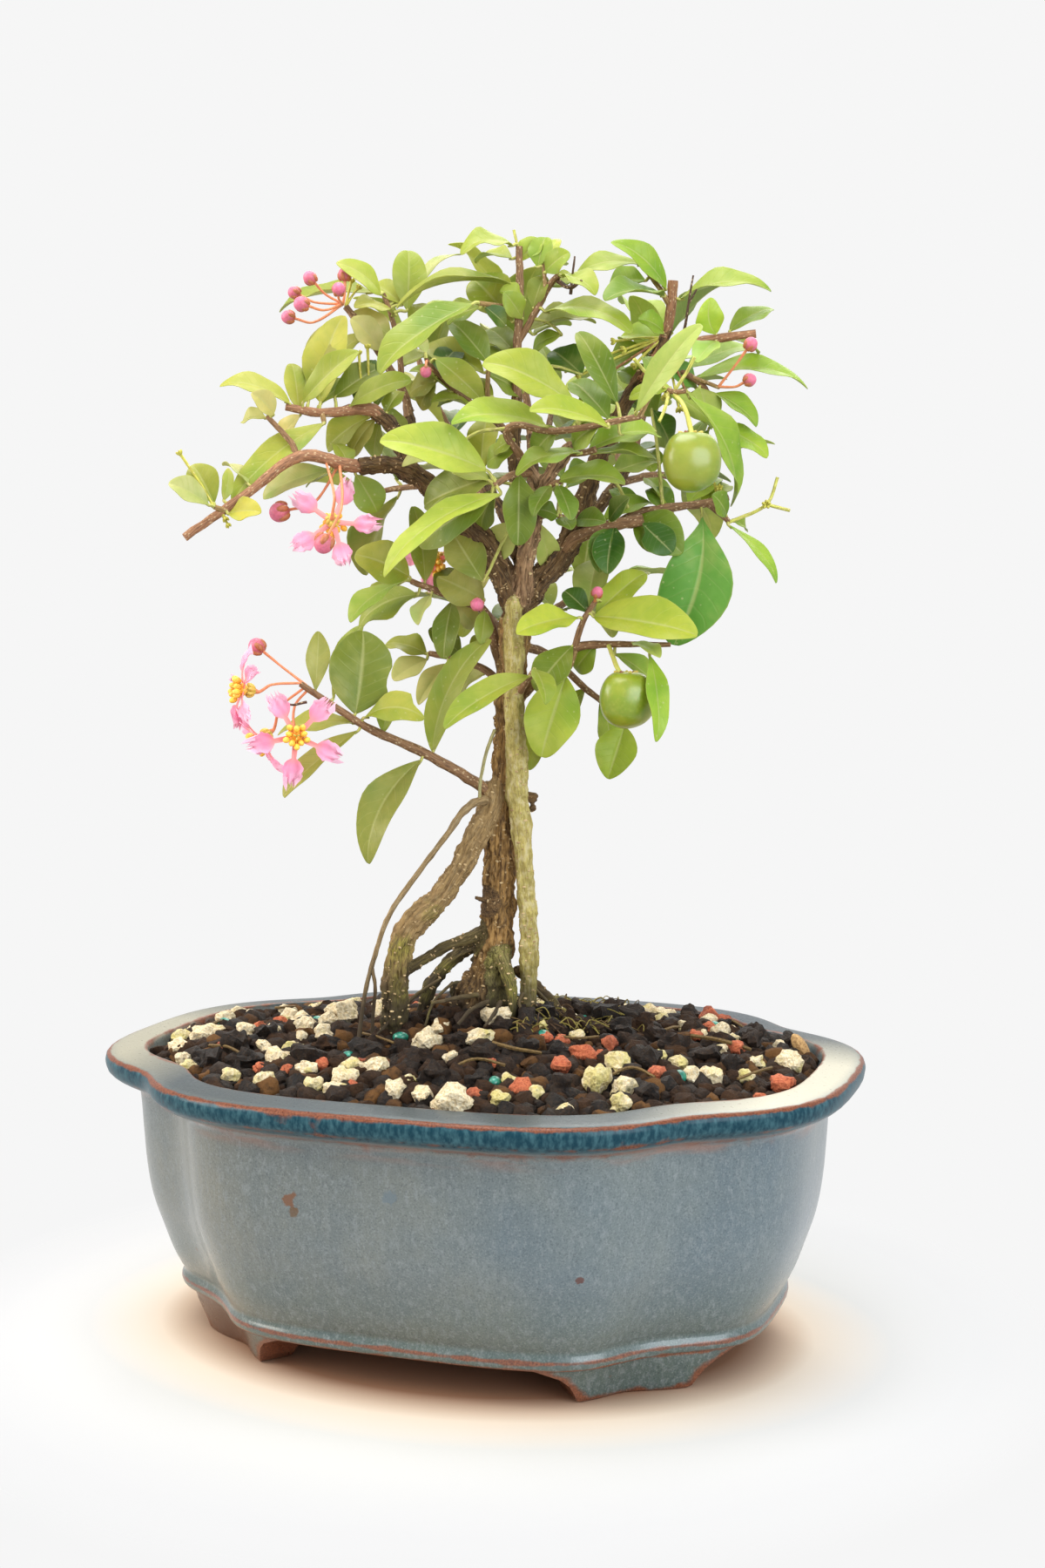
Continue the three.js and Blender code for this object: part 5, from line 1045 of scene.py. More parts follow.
# %% Clumps of the soil
CLUMP_SPACING = 3.2 * MM
clumps = {"Spacing": CLUMP_SPACING, "Least Size": 1.1 * MM, "Most Size": 3.7 * MM}
clumps.update({"Roughness": 1.35, "Seed": 5})
clump_mesh = grown_mesh(cover, clump_tree, clumps, "soil_clumps")
clump_mesh.shade_smooth()
clump_mesh.set_sharp_from_angle(angle=math.radians(58))
print("clumps:", triangles(clump_mesh), "triangles")


def joined(name, meshes):
    """One object of several meshes."""
    parts = []
    for i, mesh in enumerate(meshes):
        part = bpy.data.objects.new(f"{name}_{i}", mesh)
        scene.collection.objects.link(part)
        parts.append(part)
    chosen = {"active_object": parts[0], "selected_editable_objects": parts, "selected_objects": parts}
    with bpy.context.temp_override(**chosen):
        bpy.ops.object.join()
    parts[0].name = name
    parts[0].data.name = name
    return parts[0]


bed.data.materials.append(earth)
bed_mesh = bed.data
bpy.data.objects.remove(bed)
bed_mesh.shade_smooth()
soil = joined("soil_bed_and_clumps", [bed_mesh, clump_mesh])
declare(soil, "soil_mix", "soil")

# %% [markdown]
# ## Grains that the eye picks out
# The big pumice grains, the orange clay, the teal pearls and one large bark chip are set one by one,
# where they lie in the picture. More of each are scattered over the rest of the soil from a fixed
# seed, so that the back of the pot is as full as the front.

# %% Grains set one by one
PUMICE_PLACES = [
    [490, 1195, 4.3, 0.2], [505, 1180, 2.4, 0.1], [570, 1168, 3.4, 0.1], [552, 1192, 3.2, 0.6],
    [345, 1172, 3.0, 0.1], [330, 1160, 2.4, 0.0], [320, 1215, 3.2, 0.3], [395, 1238, 3.4, 0.3],
    [383, 1250, 2.6, 0.5], [430, 1228, 3.0, 0.4], [520, 1266, 4.4, 0.1], [485, 1258, 2.8, 0.2],
    [454, 1252, 3.0, 0.2], [716, 1250, 3.6, 0.5], [712, 1268, 2.6, 0.9], [686, 1240, 4.6, 0.95],
    [905, 1221, 4.0, 0.3], [393, 1165, 5.0, 0.1], [378, 1173, 3.0, 0.2], [232, 1188, 3.2, 0.0],
    [206, 1203, 3.0, 0.1], [250, 1184, 2.0, 0.0], [303, 1203, 2.2, 0.2], [217, 1224, 1.8, 0.5],
    [209, 1216, 2.2, 0.1], [290, 1168, 2.6, 0.1], [360, 1247, 2.8, 0.7], [404, 1224, 2.4, 0.8],
    [345, 1192, 2.2, 0.2], [650, 1275, 2.0, 0.8], [585, 1243, 2.4, 0.95], [573, 1262, 2.6, 0.95],
    [615, 1255, 2.4, 0.9], [708, 1222, 3.8, 0.85], [758, 1213, 2.0, 0.8], [778, 1223, 3.0, 0.9],
    [797, 1236, 2.8, 0.2], [816, 1236, 3.0, 0.35], [828, 1205, 1.9, 0.2], [840, 1195, 2.2, 0.3],
    [805, 1188, 2.0, 0.4], [867, 1220, 2.6, 0.7], [857, 1238, 2.2, 0.8], [622, 1178, 2.4, 0.95],
    [663, 1190, 2.0, 0.9], [264, 1235, 2.2, 0.8], [314, 1184, 2.4, 0.1], [336, 1204, 2.6, 0.6],
    [283, 1185, 2.8, 0.0], [304, 1241, 2.6, 0.7], [352, 1228, 2.4, 0.2], [372, 1186, 2.6, 0.1],
    [437, 1164, 3.2, 0.2], [450, 1180, 2.0, 0.5], [518, 1215, 2.0, 0.3], [470, 1240, 1.9, 0.9],
    [895, 1202, 1.8, 0.1],
]
CLAY_PLACES = [
    [645, 1224, 2.9, 0.1], [672, 1211, 3.4, 0.1], [600, 1250, 2.8, 0.2], [897, 1246, 3.2, 0.2],
    [755, 1235, 2.8, 0.2], [545, 1257, 2.0, 0.6], [700, 1198, 2.2, 0.8], [690, 1212, 1.8, 0.4],
    [800, 1190, 2.0, 0.1], [818, 1184, 1.6, 0.1], [845, 1204, 2.6, 0.5], [850, 1167, 3.4, 0.8],
    [872, 1172, 2.6, 0.9], [563, 1221, 1.9, 0.2], [627, 1192, 1.8, 0.3], [438, 1224, 2.0, 0.2],
    [370, 1222, 1.8, 0.6], [298, 1226, 1.8, 0.5], [330, 1228, 1.6, 0.2], [876, 1262, 1.7, 0.1],
    [405, 1247, 1.8, 0.2], [466, 1220, 1.6, 0.3], [255, 1203, 1.8, 0.7], [716, 1183, 1.8, 0.2],
]
PEARL_PLACES = [
    [460, 1191, 1.9, 0], [400, 1213, 1.8, 0], [624, 1189, 1.95, 0], [568, 1243, 1.9, 0], [780, 1237, 2.1, 0],
]


def rough_stone(skin, centre, size, tone, draw, roughness, sides=14, rings=10):
    """One stone of a few blended lumps, closed, with a seeded shape."""
    offset = Vector((draw(), draw(), draw())) * 40
    turn = Matrix.Rotation(draw() * math.tau, 3, "Z") @ Matrix.Rotation(draw() * math.tau, 3, "X")
    stretch = Vector((1.12, 0.92, 0.74 + 0.2 * draw()))
    lines = []
    for r in range(rings + 1):
        lean = math.pi * (0.04 + 0.92 * r / rings)
        ring = []
        for k in range(sides):
            angle = math.tau * k / sides
            across = math.sin(lean)
            way = Vector((across * math.cos(angle), across * math.sin(angle), -math.cos(lean)))
            lumps = 0.55 * noise.noise(way * 1.25 + offset) + 0.22 * noise.noise(way * 3.1 + offset)
            ring.append(centre + turn @ (way * stretch) * size * (1 + roughness * lumps))
        lines.append(ring)
    points, faces = skin_of_rings(lines)
    skin.add(points, faces, 0, [(tone, tone, tone, 1)] * len(points), [(0, 0, 0)] * len(points))


EDGE_ROOM = 3


def inside_pot(place, size):
    """A stone's place, pulled inwards where it would lie on the pot's lip."""
    flat = place.xy.length
    furthest = plan_radius(math.atan2(place.y, place.x)) - NECK_INSET - 0.8 * size
    if flat > furthest:
        x, y = place.x * furthest / flat, place.y * furthest / flat
        place = Vector((x, y, soil_height(x, y) + 0.3 * size))
    return place


# Seeded grains leave the strip in front and a ring round the trunk to the listed ones.
FRONT_STRIP = 12
TRUNK_ROOM = 17
LEFT_TO_HAND = 0.93


def scattered(count, seed, least, spread):
    """Seeded places over the soil, away from the listed ones in front, with sizes and tones."""
    draw = drawer(seed)
    rows = []
    while len(rows) < count:
        angle = draw() * math.tau
        reach = (plan_radius(angle) - NECK_INSET - EDGE_ROOM) * math.sqrt(draw())
        x, y = math.cos(angle) * reach, math.sin(angle) * reach
        size, tone = least + spread * draw(), draw()
        in_front = Vector((x, y, 0)).dot(AWAY) < FRONT_STRIP
        near_trunk = math.hypot(x - TRUNK_FOOT.x, y - TRUNK_FOOT.y) < TRUNK_ROOM
        if in_front and draw() < LEFT_TO_HAND or near_trunk:
            continue
        rows.append((Vector((x, y, soil_height(x, y) + 0.25 * size)), size, tone))
    return rows


def grain_piece(name, material, by_hand, by_draw, roughness, seed):
    skin = Skin()
    draw = drawer(seed)
    rows = [(inside_pot(on_soil(x, y, 0.3 * size), size), size, tone) for x, y, size, tone in by_hand]
    for centre, size, tone in rows + by_draw:
        rough_stone(skin, centre, size, tone, draw, roughness)
    piece = skin.piece(name, [material], 40)
    point_values(piece.data, "tone", [row[0] for row in skin.tints])
    return declare(piece, "soil_mix")


grain_piece("pumice_grains", pumice, PUMICE_PLACES, scattered(58, 17, 1.1, 2.0), 1.0, 19)
grain_piece("clay_grains", clay, CLAY_PLACES, scattered(30, 29, 0.9, 1.4), 0.95, 31)
grain_piece("fertiliser_pearls", pearl, PEARL_PLACES, scattered(7, 43, 1.7, 0.4), 0.06, 47)

# %% [markdown]
# ## Crumbs, a chip and rootlets
# Right of the trunk old compost is heaped up, held together by dry moss. Its crumbs are set one by one
# like the grains. The moss strands and the dry needles are thin limbs that follow the soil: each one
# is drawn through three places of the picture, and laid on the soil at each of them.

# %% Crumbs and strands
CRUMB_PLACES = [
    [603, 1172, 3.4, 0.2], [626, 1164, 3.0, 0.1], [646, 1160, 3.4, 0.5], [668, 1163, 3.8, 0.2],
    [690, 1166, 4.2, 0.1], [706, 1158, 3.6, 0.3], [722, 1168, 4.4, 0.2], [738, 1178, 3.6, 0.6],
    [655, 1174, 3.2, 0.7], [634, 1180, 2.6, 0.3], [676, 1180, 3.0, 0.5], [712, 1182, 3.4, 0.1],
    [752, 1188, 3.0, 0.3], [590, 1164, 2.8, 0.4], [575, 1178, 2.8, 0.2], [536, 1172, 3.0, 0.3],
    [516, 1166, 2.8, 0.6], [500, 1170, 2.4, 0.2], [478, 1172, 2.6, 0.4], [462, 1176, 2.2, 0.2],
    [524, 1194, 2.8, 0.2], [604, 1204, 3.2, 0.1], [556, 1212, 3.4, 0.2], [640, 1208, 3.0, 0.1],
    [480, 1214, 3.0, 0.3], [420, 1206, 3.4, 0.1], [352, 1212, 3.6, 0.2], [310, 1188, 3.2, 0.1],
    [272, 1200, 3.8, 0.2], [285, 1216, 3.4, 0.1], [742, 1216, 3.6, 0.1], [772, 1200, 3.6, 0.3],
    [812, 1212, 3.8, 0.2], [838, 1222, 3.2, 0.1], [862, 1196, 3.4, 0.3], [888, 1186, 3.2, 0.2],
    [872, 1152, 2.8, 0.3], [900, 1170, 2.6, 0.1], [918, 1196, 2.6, 0.2], [742, 1256, 3.2, 0.1],
    [642, 1248, 3.2, 0.2], [546, 1242, 3.0, 0.1], [500, 1236, 3.4, 0.2], [370, 1200, 2.8, 0.7],
    [244, 1218, 3.4, 0.1],
]
STRAW = (linear(142, 128, 62), linear(108, 86, 46), linear(124, 112, 50), linear(84, 62, 38))
MOSS_BOX = (592, 738, 1150, 1190)
MOSS_STRANDS = 170
LONGEST_NEEDLE = 9
# Dry needles and twigs: three places of the picture, and the radius in mm
NEEDLES = [
    [(786, 1194), (826, 1204), (872, 1214), 0.55], [(742, 1196), (770, 1190), (792, 1180), 0.4],
    [(216, 1196), (246, 1184), (276, 1166), 0.45], [(300, 1158), (322, 1166), (348, 1160), 0.4],
    [(566, 1204), (590, 1214), (622, 1216), 0.5], [(415, 1192), (432, 1200), (452, 1204), 0.35],
    [(845, 1246), (872, 1240), (898, 1226), 0.4], [(520, 1232), (548, 1226), (580, 1230), 0.4],
    [(700, 1242), (726, 1236), (752, 1244), 0.4], [(640, 1196), (662, 1202), (690, 1196), 0.35],
    [(236, 1206), (262, 1212), (292, 1222), 0.4], [(884, 1160), (900, 1176), (906, 1192), 0.4],
]
CHIP = (933, 1204, 4.3, 2.0)


def laid(place, lift):
    """A place moved up or down onto the soil, and inwards where it would lie on the lip."""
    place = inside_pot(place, 1)
    return Vector((place.x, place.y, soil_height(place.x, place.y) + lift))


def strand(skin, places, radius, tint):
    add_limb(skin, smooth_path([(place, radius) for place in places], 4), 5, 1, tint, 0.3)


crumbs = Skin()
draw = drawer(53)
for x, y, size, tone in CRUMB_PLACES:
    place = inside_pot(on_soil(x, y, 0.45 * size), size)
    rough_stone(crumbs, place, size, tone, draw, 1.5, 12, 9)
left, right, top, bottom = MOSS_BOX
for _ in range(MOSS_STRANDS):
    x, y = left + (right - left) * draw(), top + (bottom - top) * draw()
    turn, reach, lift = math.tau * draw(), 1.2 + 3.0 * draw(), 1.2 + 2.6 * draw()
    middle = inside_pot(on_soil(x, y), 2)
    step = Vector((math.cos(turn), math.sin(turn), 0)) * reach
    aside = Vector((step.y, -step.x, 0)) * (draw() - 0.5)
    near, far = laid(middle - step, lift - 1.5 * draw()), laid(middle + step, lift - 1.5 * draw())
    crest = laid(middle + aside, lift + 1.2 * draw())
    radius = 0.11 + 0.1 * draw()
    strand(crumbs, (near, crest, far), radius, STRAW[int(4 * draw()) % 4])
for first, second, third, radius in NEEDLES:
    middle = inside_pot(on_soil(*second), 1)
    ends = []
    for x, y in (first, third):
        way = inside_pot(on_soil(x, y), 1) - middle
        ends.append(laid(middle + way * min(1, LONGEST_NEEDLE / way.length), 1.6))
    strand(crumbs, (ends[0], laid(middle, 2.4), ends[1]), radius, STRAW[1])
chip_x, chip_y, chip_long, chip_wide = CHIP
chip_tints = (linear(150, 112, 68), linear(196, 158, 104))
chip_axis = UP * 0.8 - RIGHT * 0.45 + AWAY * 0.3
chip_place = inside_pot(on_soil(chip_x, chip_y, 1.5), chip_long)
add_ball(crumbs, chip_place, chip_axis, (chip_long, chip_wide), 1, chip_tints, 7, 6)

strand_finish, tree = new_material("dry_moss_and_needles")
tint = attribute(tree, "tint", "Color")
fibres = noise_value(tree, object_place(tree), 1500.0, 3.0, 0.6)
darker = mix(tree, 1.0, tint, (0.4, 0.34, 0.28, 1), "MULTIPLY")
colour = mix(tree, remap(tree, fibres, 0.32, 0.6), darker, tint)
inputs = {"Base Color": colour, "Roughness": 0.8, "Normal": bumped(tree, fibres, 0.5, 0.0003)}
principled(strand_finish, tree, inputs)
litter = crumbs.piece("crumbs_moss_and_needles", [earth, strand_finish], 40)
point_values(litter.data, "tone", [row[0] for row in crumbs.tints])
declare(litter, "soil_mix")
bpy.data.objects.remove(cover)

# %% [markdown]
# ## Wood: trunk, roots and limbs
# The old trunk stands on prop roots, with a paler stem grown against its front. Each limb is rows
# of column, row, distance behind the middle and radius. The fat limbs are joined into one skin by a
# voxel remesh, which melts them together as wood grows together. The bark's ridges are then pressed
# into that skin along each limb, because a pattern that ran in any other way would look like stone.

# %% Places of the wood
WOOD = {
    "trunk": [
        [556, 1212, 2, 7.0], [557, 1165, 2, 9.4], [560, 1135, 1, 7.6], [564, 1112, 1, 5.6],
        [567, 1083, 0, 4.6], [571, 1045, 0, 4.4], [573, 1000, 0, 4.1], [575, 950, 0, 3.6],
        [579, 900, 0, 3.5], [583, 840, 0, 3.4], [587, 780, 0, 3.5], [592, 720, 0, 3.7],
        [598, 664, 0, 4.0],
    ],
    "grown_stem": [
        [589, 690, -3, 1.8], [591, 760, -4, 2.4], [592, 830, -5, 2.7], [594, 900, -5, 2.9],
        [600, 970, -5, 2.4], [604, 1025, -5, 2.4], [607, 1061, -5, 2.5], [607, 1098, -4, 2.6],
        [607, 1130, -3, 2.3], [606, 1185, -2, 2.0],
    ],
    "prop_root": [
        [568, 898, -1, 2.2], [563, 925, -2, 2.9], [547, 960, -4, 3.2], [517, 1014, -6, 3.0],
        [500, 1036, -7, 3.1], [471, 1062, -8, 3.4], [459, 1093, -8, 3.2], [453, 1155, -8, 3.5],
        [451, 1225, -8, 3.2],
    ],
    "hanging_root": [
        [562, 921, -3, 1.2], [553, 919, -5, 1.3], [533, 930, -8, 1.1], [514, 957, -10, 0.8],
        [475, 1009, -12, 0.8], [446, 1052, -13, 0.7], [429, 1102, -13, 0.7], [419, 1141, -13, 0.6],
        [409, 1215, -15, 0.6],
    ],
    "hanging_root_fork": [
        [427, 1110, -13, 0.5], [431, 1134, -13, 0.5], [429, 1156, -12, 0.5], [426, 1215, -12, 0.5],
    ],
    "hair_root": [
        [568, 838, -3, 0.5], [559, 862, -6, 0.45], [552, 895, -7, 0.45], [550, 922, -5, 0.45],
    ],
    "low_root": [[556, 1068, 0, 2.0], [538, 1077, -1, 1.7], [510, 1088, -4, 1.5], [462, 1117, -8, 1.4]],
    "back_low_root": [
        [556, 1082, 2, 1.9], [530, 1093, 5, 1.8], [494, 1132, 6, 1.8], [480, 1180, 6, 1.5],
    ],
    "short_root": [
        [577, 1098, -3, 1.9], [583, 1118, -7, 1.6], [588, 1140, -9, 1.3], [586, 1195, -10, 1.1],
    ],
    "right_root": [[592, 1112, 2, 1.6], [622, 1138, 7, 1.4], [640, 1156, 9, 1.2], [655, 1200, 10, 1.0]],
    "cut_stub": [[592, 915, -1, 1.4], [617, 914, -1, 1.3]],
    "small_stub": [[563, 1036, -2, 0.8], [545, 1030, -4, 0.6]],
    "left_main": [
        [594, 705, -1, 3.2], [577, 658, -1, 3.4], [545, 611, -3, 3.0], [510, 575, -5, 2.8],
        [485, 550, -6, 2.6], [462, 538, -7, 2.5], [440, 533, -8, 2.2], [412, 535, -10, 2.0],
    ],
    "left_upper": [[478, 549, -6, 2.0], [464, 520, -5, 2.1], [451, 490, -3, 2.0], [430, 473, -2, 1.8]],
    "left_rise": [[466, 525, -4, 1.6], [472, 495, 5, 1.5], [468, 466, 9, 1.3]],
    "centre_limb": [
        [598, 690, -1, 2.6], [604, 640, -5, 2.4], [613, 600, -8, 2.1], [622, 565, -11, 1.9],
        [637, 537, -13, 1.8], [657, 510, -15, 1.6],
    ],
    "front_limb": [[621, 566, -10, 1.2], [612, 542, -12, 1.3], [598, 524, -14, 1.2]],
    "leader": [
        [601, 690, 1, 2.9], [602, 650, 3, 2.8], [598, 600, 4, 2.3], [592, 550, 6, 1.9],
        [591, 500, 7, 1.7], [594, 452, 7, 1.5],
    ],
    "right_main": [
        [604, 690, 1, 3.2], [618, 668, 1, 3.2], [636, 648, 1, 3.1], [655, 620, 2, 3.0],
        [667, 590, 3, 2.8], [676, 560, 4, 2.6], [686, 530, 5, 2.3], [704, 488, 8, 2.0],
        [730, 442, 10, 1.8], [754, 408, 11, 1.6], [766, 378, 11, 1.4],
    ],
    "back_left": [[596, 640, 3, 2.0], [578, 590, 14, 1.7], [548, 545, 25, 1.4]],
    "back_middle": [[601, 620, 5, 2.0], [612, 560, 18, 1.7], [610, 500, 30, 1.4]],
    "back_right": [[640, 640, 3, 2.0], [690, 580, 16, 1.6], [725, 530, 27, 1.4]],
}
SLIM_ROOTS = {"hanging_root", "hanging_root_fork", "hair_root"}
OLD_BARK = linear(160, 122, 70)
ROOT_BARK = linear(138, 112, 68)
GREEN_BARK = linear(182, 166, 94)
LIMB_BARK = linear(110, 82, 49)
BARK_TINTS = {
    "trunk": OLD_BARK, "grown_stem": GREEN_BARK, "prop_root": linear(156, 126, 82),
    "hanging_root": linear(150, 124, 86), "hanging_root_fork": linear(140, 112, 76),
    "hair_root": linear(176, 168, 116), "low_root": linear(96, 82, 44),
    "back_low_root": linear(92, 80, 44), "short_root": linear(146, 136, 78),
    "right_root": ROOT_BARK, "centre_limb": linear(158, 122, 88), "front_limb": linear(158, 124, 92),
}
print("limbs:", len(WOOD))


def rows_path(rows, steps):
    return smooth_path([(seen(x, y, away), radius) for x, y, away, radius in rows], steps)


# %% One skin for the fat limbs
VOXEL = 0.45
LIMB_SIDES = 20
LIMB_STEPS = 9
body = Skin()
for name, rows in WOOD.items():
    if name not in SLIM_ROOTS:
        add_limb(body, rows_path(rows, LIMB_STEPS), LIMB_SIDES, 0, OLD_BARK, 0.16)
knob_places = [(525, 1137, 1, 2.2), (604, 931, -1, 1.1), (612, 927, -1, 1.0)]
for x, y, away, radius in knob_places:
    add_ball(body, seen(x, y, away), UP, (radius * 1.2, radius), 0, (OLD_BARK, OLD_BARK))
rough = body.piece("wood_rough", [])
melt = rough.modifiers.new("melt_together", "REMESH")
melt.mode = "VOXEL"
melt.voxel_size = VOXEL * MM
ease = rough.modifiers.new("ease_steps", "SMOOTH")
ease.factor = 0.6
ease.iterations = 4
wood_mesh = final_mesh(rough, "wood")
print("wood after the remesh:", triangles(wood_mesh), "triangles")

# %% Where each point of the wood lies along its limb
limb_marks = []
for name, rows in WOOD.items():
    if name in SLIM_ROOTS:
        continue
    path = rows_path(rows, 24)
    run = 0
    for i, ((place, radius), (along, aside, other)) in enumerate(zip(path, carried(path))):
        run += (place - path[max(i - 1, 0)][0]).length
        limb_marks.append((place, radius, along, aside, other, run, name))
near_limbs = kdtree.KDTree(len(limb_marks))
for i, mark in enumerate(limb_marks):
    near_limbs.insert(mark[0], i)
near_limbs.balance()
limb_seeds = {name: 31.0 * i for i, name in enumerate(WOOD)}
MOSSY = {"prop_root": 1.15, "low_root": 0.8, "back_low_root": 0.85, "grown_stem": 0.6, "short_root": 1.0}
MOSS_REACH = {"prop_root": 34}
RUGGED = {"grown_stem": 0.4, "prop_root": 0.65, "low_root": 0.7}


def bark_relief(around, along, seed, radius):
    """How far the bark stands out, in mm: long ridges, split by sharp furrows."""
    where = Vector((around.x * 0.7, around.y * 0.7, along * 0.11 + seed))
    ridge = abs(noise.noise(where)) * 2.6 - 0.6
    flake = noise.noise(Vector((around.x * 1.5, around.y * 1.5, along * 0.7 + seed)))
    swell = noise.noise(Vector((around.x * 0.35, around.y * 0.35, along * 0.3 + seed)))
    depth = min(0.8, 0.24 * radius)
    return depth * (ridge + 0.75 * flake) + 0.13 * radius * swell


points = []
tints = []
spots = []
mosses = []
rugged = []
grains = []
foot_level = TRUNK_FOOT.z
for vertex in wood_mesh.vertices:
    point = vertex.co / MM
    best = None
    for place, index, gap in near_limbs.find_n(point, 6):
        depth = gap - limb_marks[index][1]
        if best is None or depth < best[0]:
            best = (depth, index)
    place, radius, along, aside, other, run, name = limb_marks[best[1]]
    offset = point - place
    around = Vector((offset.dot(aside), offset.dot(other)))
    run += offset.dot(along)
    rough = RUGGED.get(name, 1.0)
    relief = (0.4 + 0.6 * rough) * bark_relief(around, run, limb_seeds[name], radius)
    points.append(point + vertex.normal * relief)
    tints.append(BARK_TINTS.get(name, LIMB_BARK))
    spots.append((around.x, around.y, run + limb_seeds[name]))
    height = point.z - foot_level
    moss = MOSSY.get(name, 0.25) * max(0.0, min(1.0, 1.0 - (height - 3) / MOSS_REACH.get(name, 24)))
    mosses.append(moss)
    rugged.append(rough)
    grains.append(tuple(along))
wood_skin = Skin()
wood_skin.add(points, [list(face.vertices) for face in wood_mesh.polygons], 0, tints, spots)
print("points of the wood with bark:", len(points))

# %% Slim roots and rootlets
for name in SLIM_ROOTS:
    add_limb(wood_skin, rows_path(WOOD[name], 8), 7, 0, BARK_TINTS[name], 0.3)
mosses += [0.0] * (len(wood_skin.points) - len(mosses))
ROOTLETS = [
    [[505, 1124, 4, 0.5], [470, 1150, 2, 0.45], [452, 1190, 0, 0.3]],
    [[520, 1128, 0, 0.5], [498, 1150, -6, 0.4], [488, 1178, -12, 0.3]],
    [[548, 1142, -6, 0.7], [522, 1146, -12, 0.6], [495, 1152, -14, 0.4]],
    [[560, 1150, -8, 0.8], [540, 1160, -14, 0.6], [526, 1176, -18, 0.4]],
    [[575, 1150, -9, 0.7], [566, 1166, -15, 0.5], [556, 1178, -20, 0.35]],
    [[600, 1140, -6, 0.6], [596, 1152, -10, 0.5], [604, 1166, -12, 0.35]],
    [[606, 1128, -3, 0.5], [625, 1146, 0, 0.4], [640, 1166, -4, 0.3]],
    [[455, 1165, -10, 0.5], [440, 1180, -12, 0.4], [425, 1196, -16, 0.3]],
]
for rows in ROOTLETS:
    add_limb(wood_skin, rows_path(rows, 6), 6, 0, linear(132, 110, 70), 0.4)
mosses += [0.5] * (len(wood_skin.points) - len(mosses))
rugged += [0.6] * (len(wood_skin.points) - len(rugged))
print("wood skin:", len(wood_skin.points), "points")

# %% [markdown]
# ## Bark
# The bark reads each point's place round and along its limb, so its fine cracks run lengthwise. The
# furrows are painted dark, a painted shade in the cracks, and the ridges dry and light. Low on the
# roots a green film of moss lies over it, which the point's own moss value brings in through noise.

# %% Bark material
bark, tree = new_material("furrowed_bark")
spot = attribute(tree, "spot", "Vector")
tint = attribute(tree, "tint", "Color")
moss = attribute(tree, "moss", "Fac")
rough = attribute(tree, "rugged", "Fac")
cracks = noise_value(tree, stretched(tree, spot, (1.5, 1.5, 0.2)), 1.0, 3.0, 0.6, 0.4)
fibres = noise_value(tree, stretched(tree, spot, (5.0, 5.0, 0.45)), 1.0, 3.0, 0.6)
patches = noise_value(tree, object_place(tree), 120.0, 3.0)
dark = mix(tree, 1.0, tint, (0.2, 0.16, 0.12, 1), "MULTIPLY")
light = mix(tree, 0.42, tint, linear(214, 186, 138))
# painted shade in the cracks, where the bump sinks: the bark darkened towards a fifth of its colour
colour = mix(tree, calculate(tree, "MULTIPLY", rough, remap(tree, cracks, 0.6, 0.36)), tint, dark)
colour = mix(tree, remap(tree, fibres, 0.52, 0.78, 0, 0.6), colour, light)
colour = mix(tree, remap(tree, fibres, 0.46, 0.3, 0, 0.5), colour, dark)
colour = mix(tree, remap(tree, patches, 0.58, 0.8, 0, 0.3), colour, linear(168, 144, 106))
blotches = noise_value(tree, stretched(tree, spot, (0.8, 0.8, 0.4)), 1.0, 4.0, 0.7)
smooth = remap(tree, rough, 0.7, 0.4)
pale = calculate(tree, "MULTIPLY", smooth, remap(tree, blotches, 0.5, 0.62, 0, 0.6))
colour = mix(tree, pale, colour, linear(200, 186, 146))
drab = calculate(tree, "MULTIPLY", smooth, remap(tree, blotches, 0.47, 0.36, 0, 0.6))
colour = mix(tree, drab, colour, linear(126, 108, 54))
green = mix(tree, remap(tree, fibres, 0.38, 0.62), linear(46, 42, 16), linear(160, 152, 58))
covered = calculate(tree, "ADD", moss, remap(tree, patches, 0.3, 0.7, -0.8, 0.2))
colour = mix(tree, remap(tree, covered, 0.2, 0.8, 0, 0.8), colour, green)
low = node(tree, "ShaderNodeSeparateXYZ", {0: object_place(tree)}).outputs[2]
low = calculate(tree, "ADD", low, remap(tree, patches, 0.3, 0.7, -0.005, 0.005))
colour = mix(tree, remap(tree, low, 0.086, 0.104, 0.9, 0), colour, linear(44, 34, 20))
relief = calculate(tree, "ADD", cracks, calculate(tree, "MULTIPLY", fibres, 0.45))
inputs = {"Base Color": colour, "Roughness": 0.85, "Normal": bumped(tree, relief, 0.7, 0.0006)}
principled(bark, tree, inputs)

wood = wood_skin.piece("trunk_and_limbs", [bark], 70)
point_values(wood.data, "moss", mosses)
point_values(wood.data, "rugged", rugged)

# %% [markdown]
# Lenticels are the small pale warts that a bark breathes through. They lie across the limb and come
# by the hundred, so Geometry Nodes sets one flat bead at each of many seeded points. The wood keeps
# the way that its limb runs at each point, and each bead is turned to lie across it.

# %% Lenticels
wart, tree = new_material("pale_lenticels")
tone = attribute(tree, "tone", "Fac")
fine = noise_value(tree, object_place(tree), 2500.0, 2.0)
colour = mix(tree, tone, linear(146, 118, 80), linear(214, 186, 138))
colour = mix(tree, remap(tree, fine, 0.35, 0.7, 0, 0.4), colour, linear(140, 108, 72))
inputs = {"Base Color": colour, "Roughness": 0.8, "Normal": bumped(tree, fine, 0.4, 0.0003)}
principled(wart, tree, inputs)

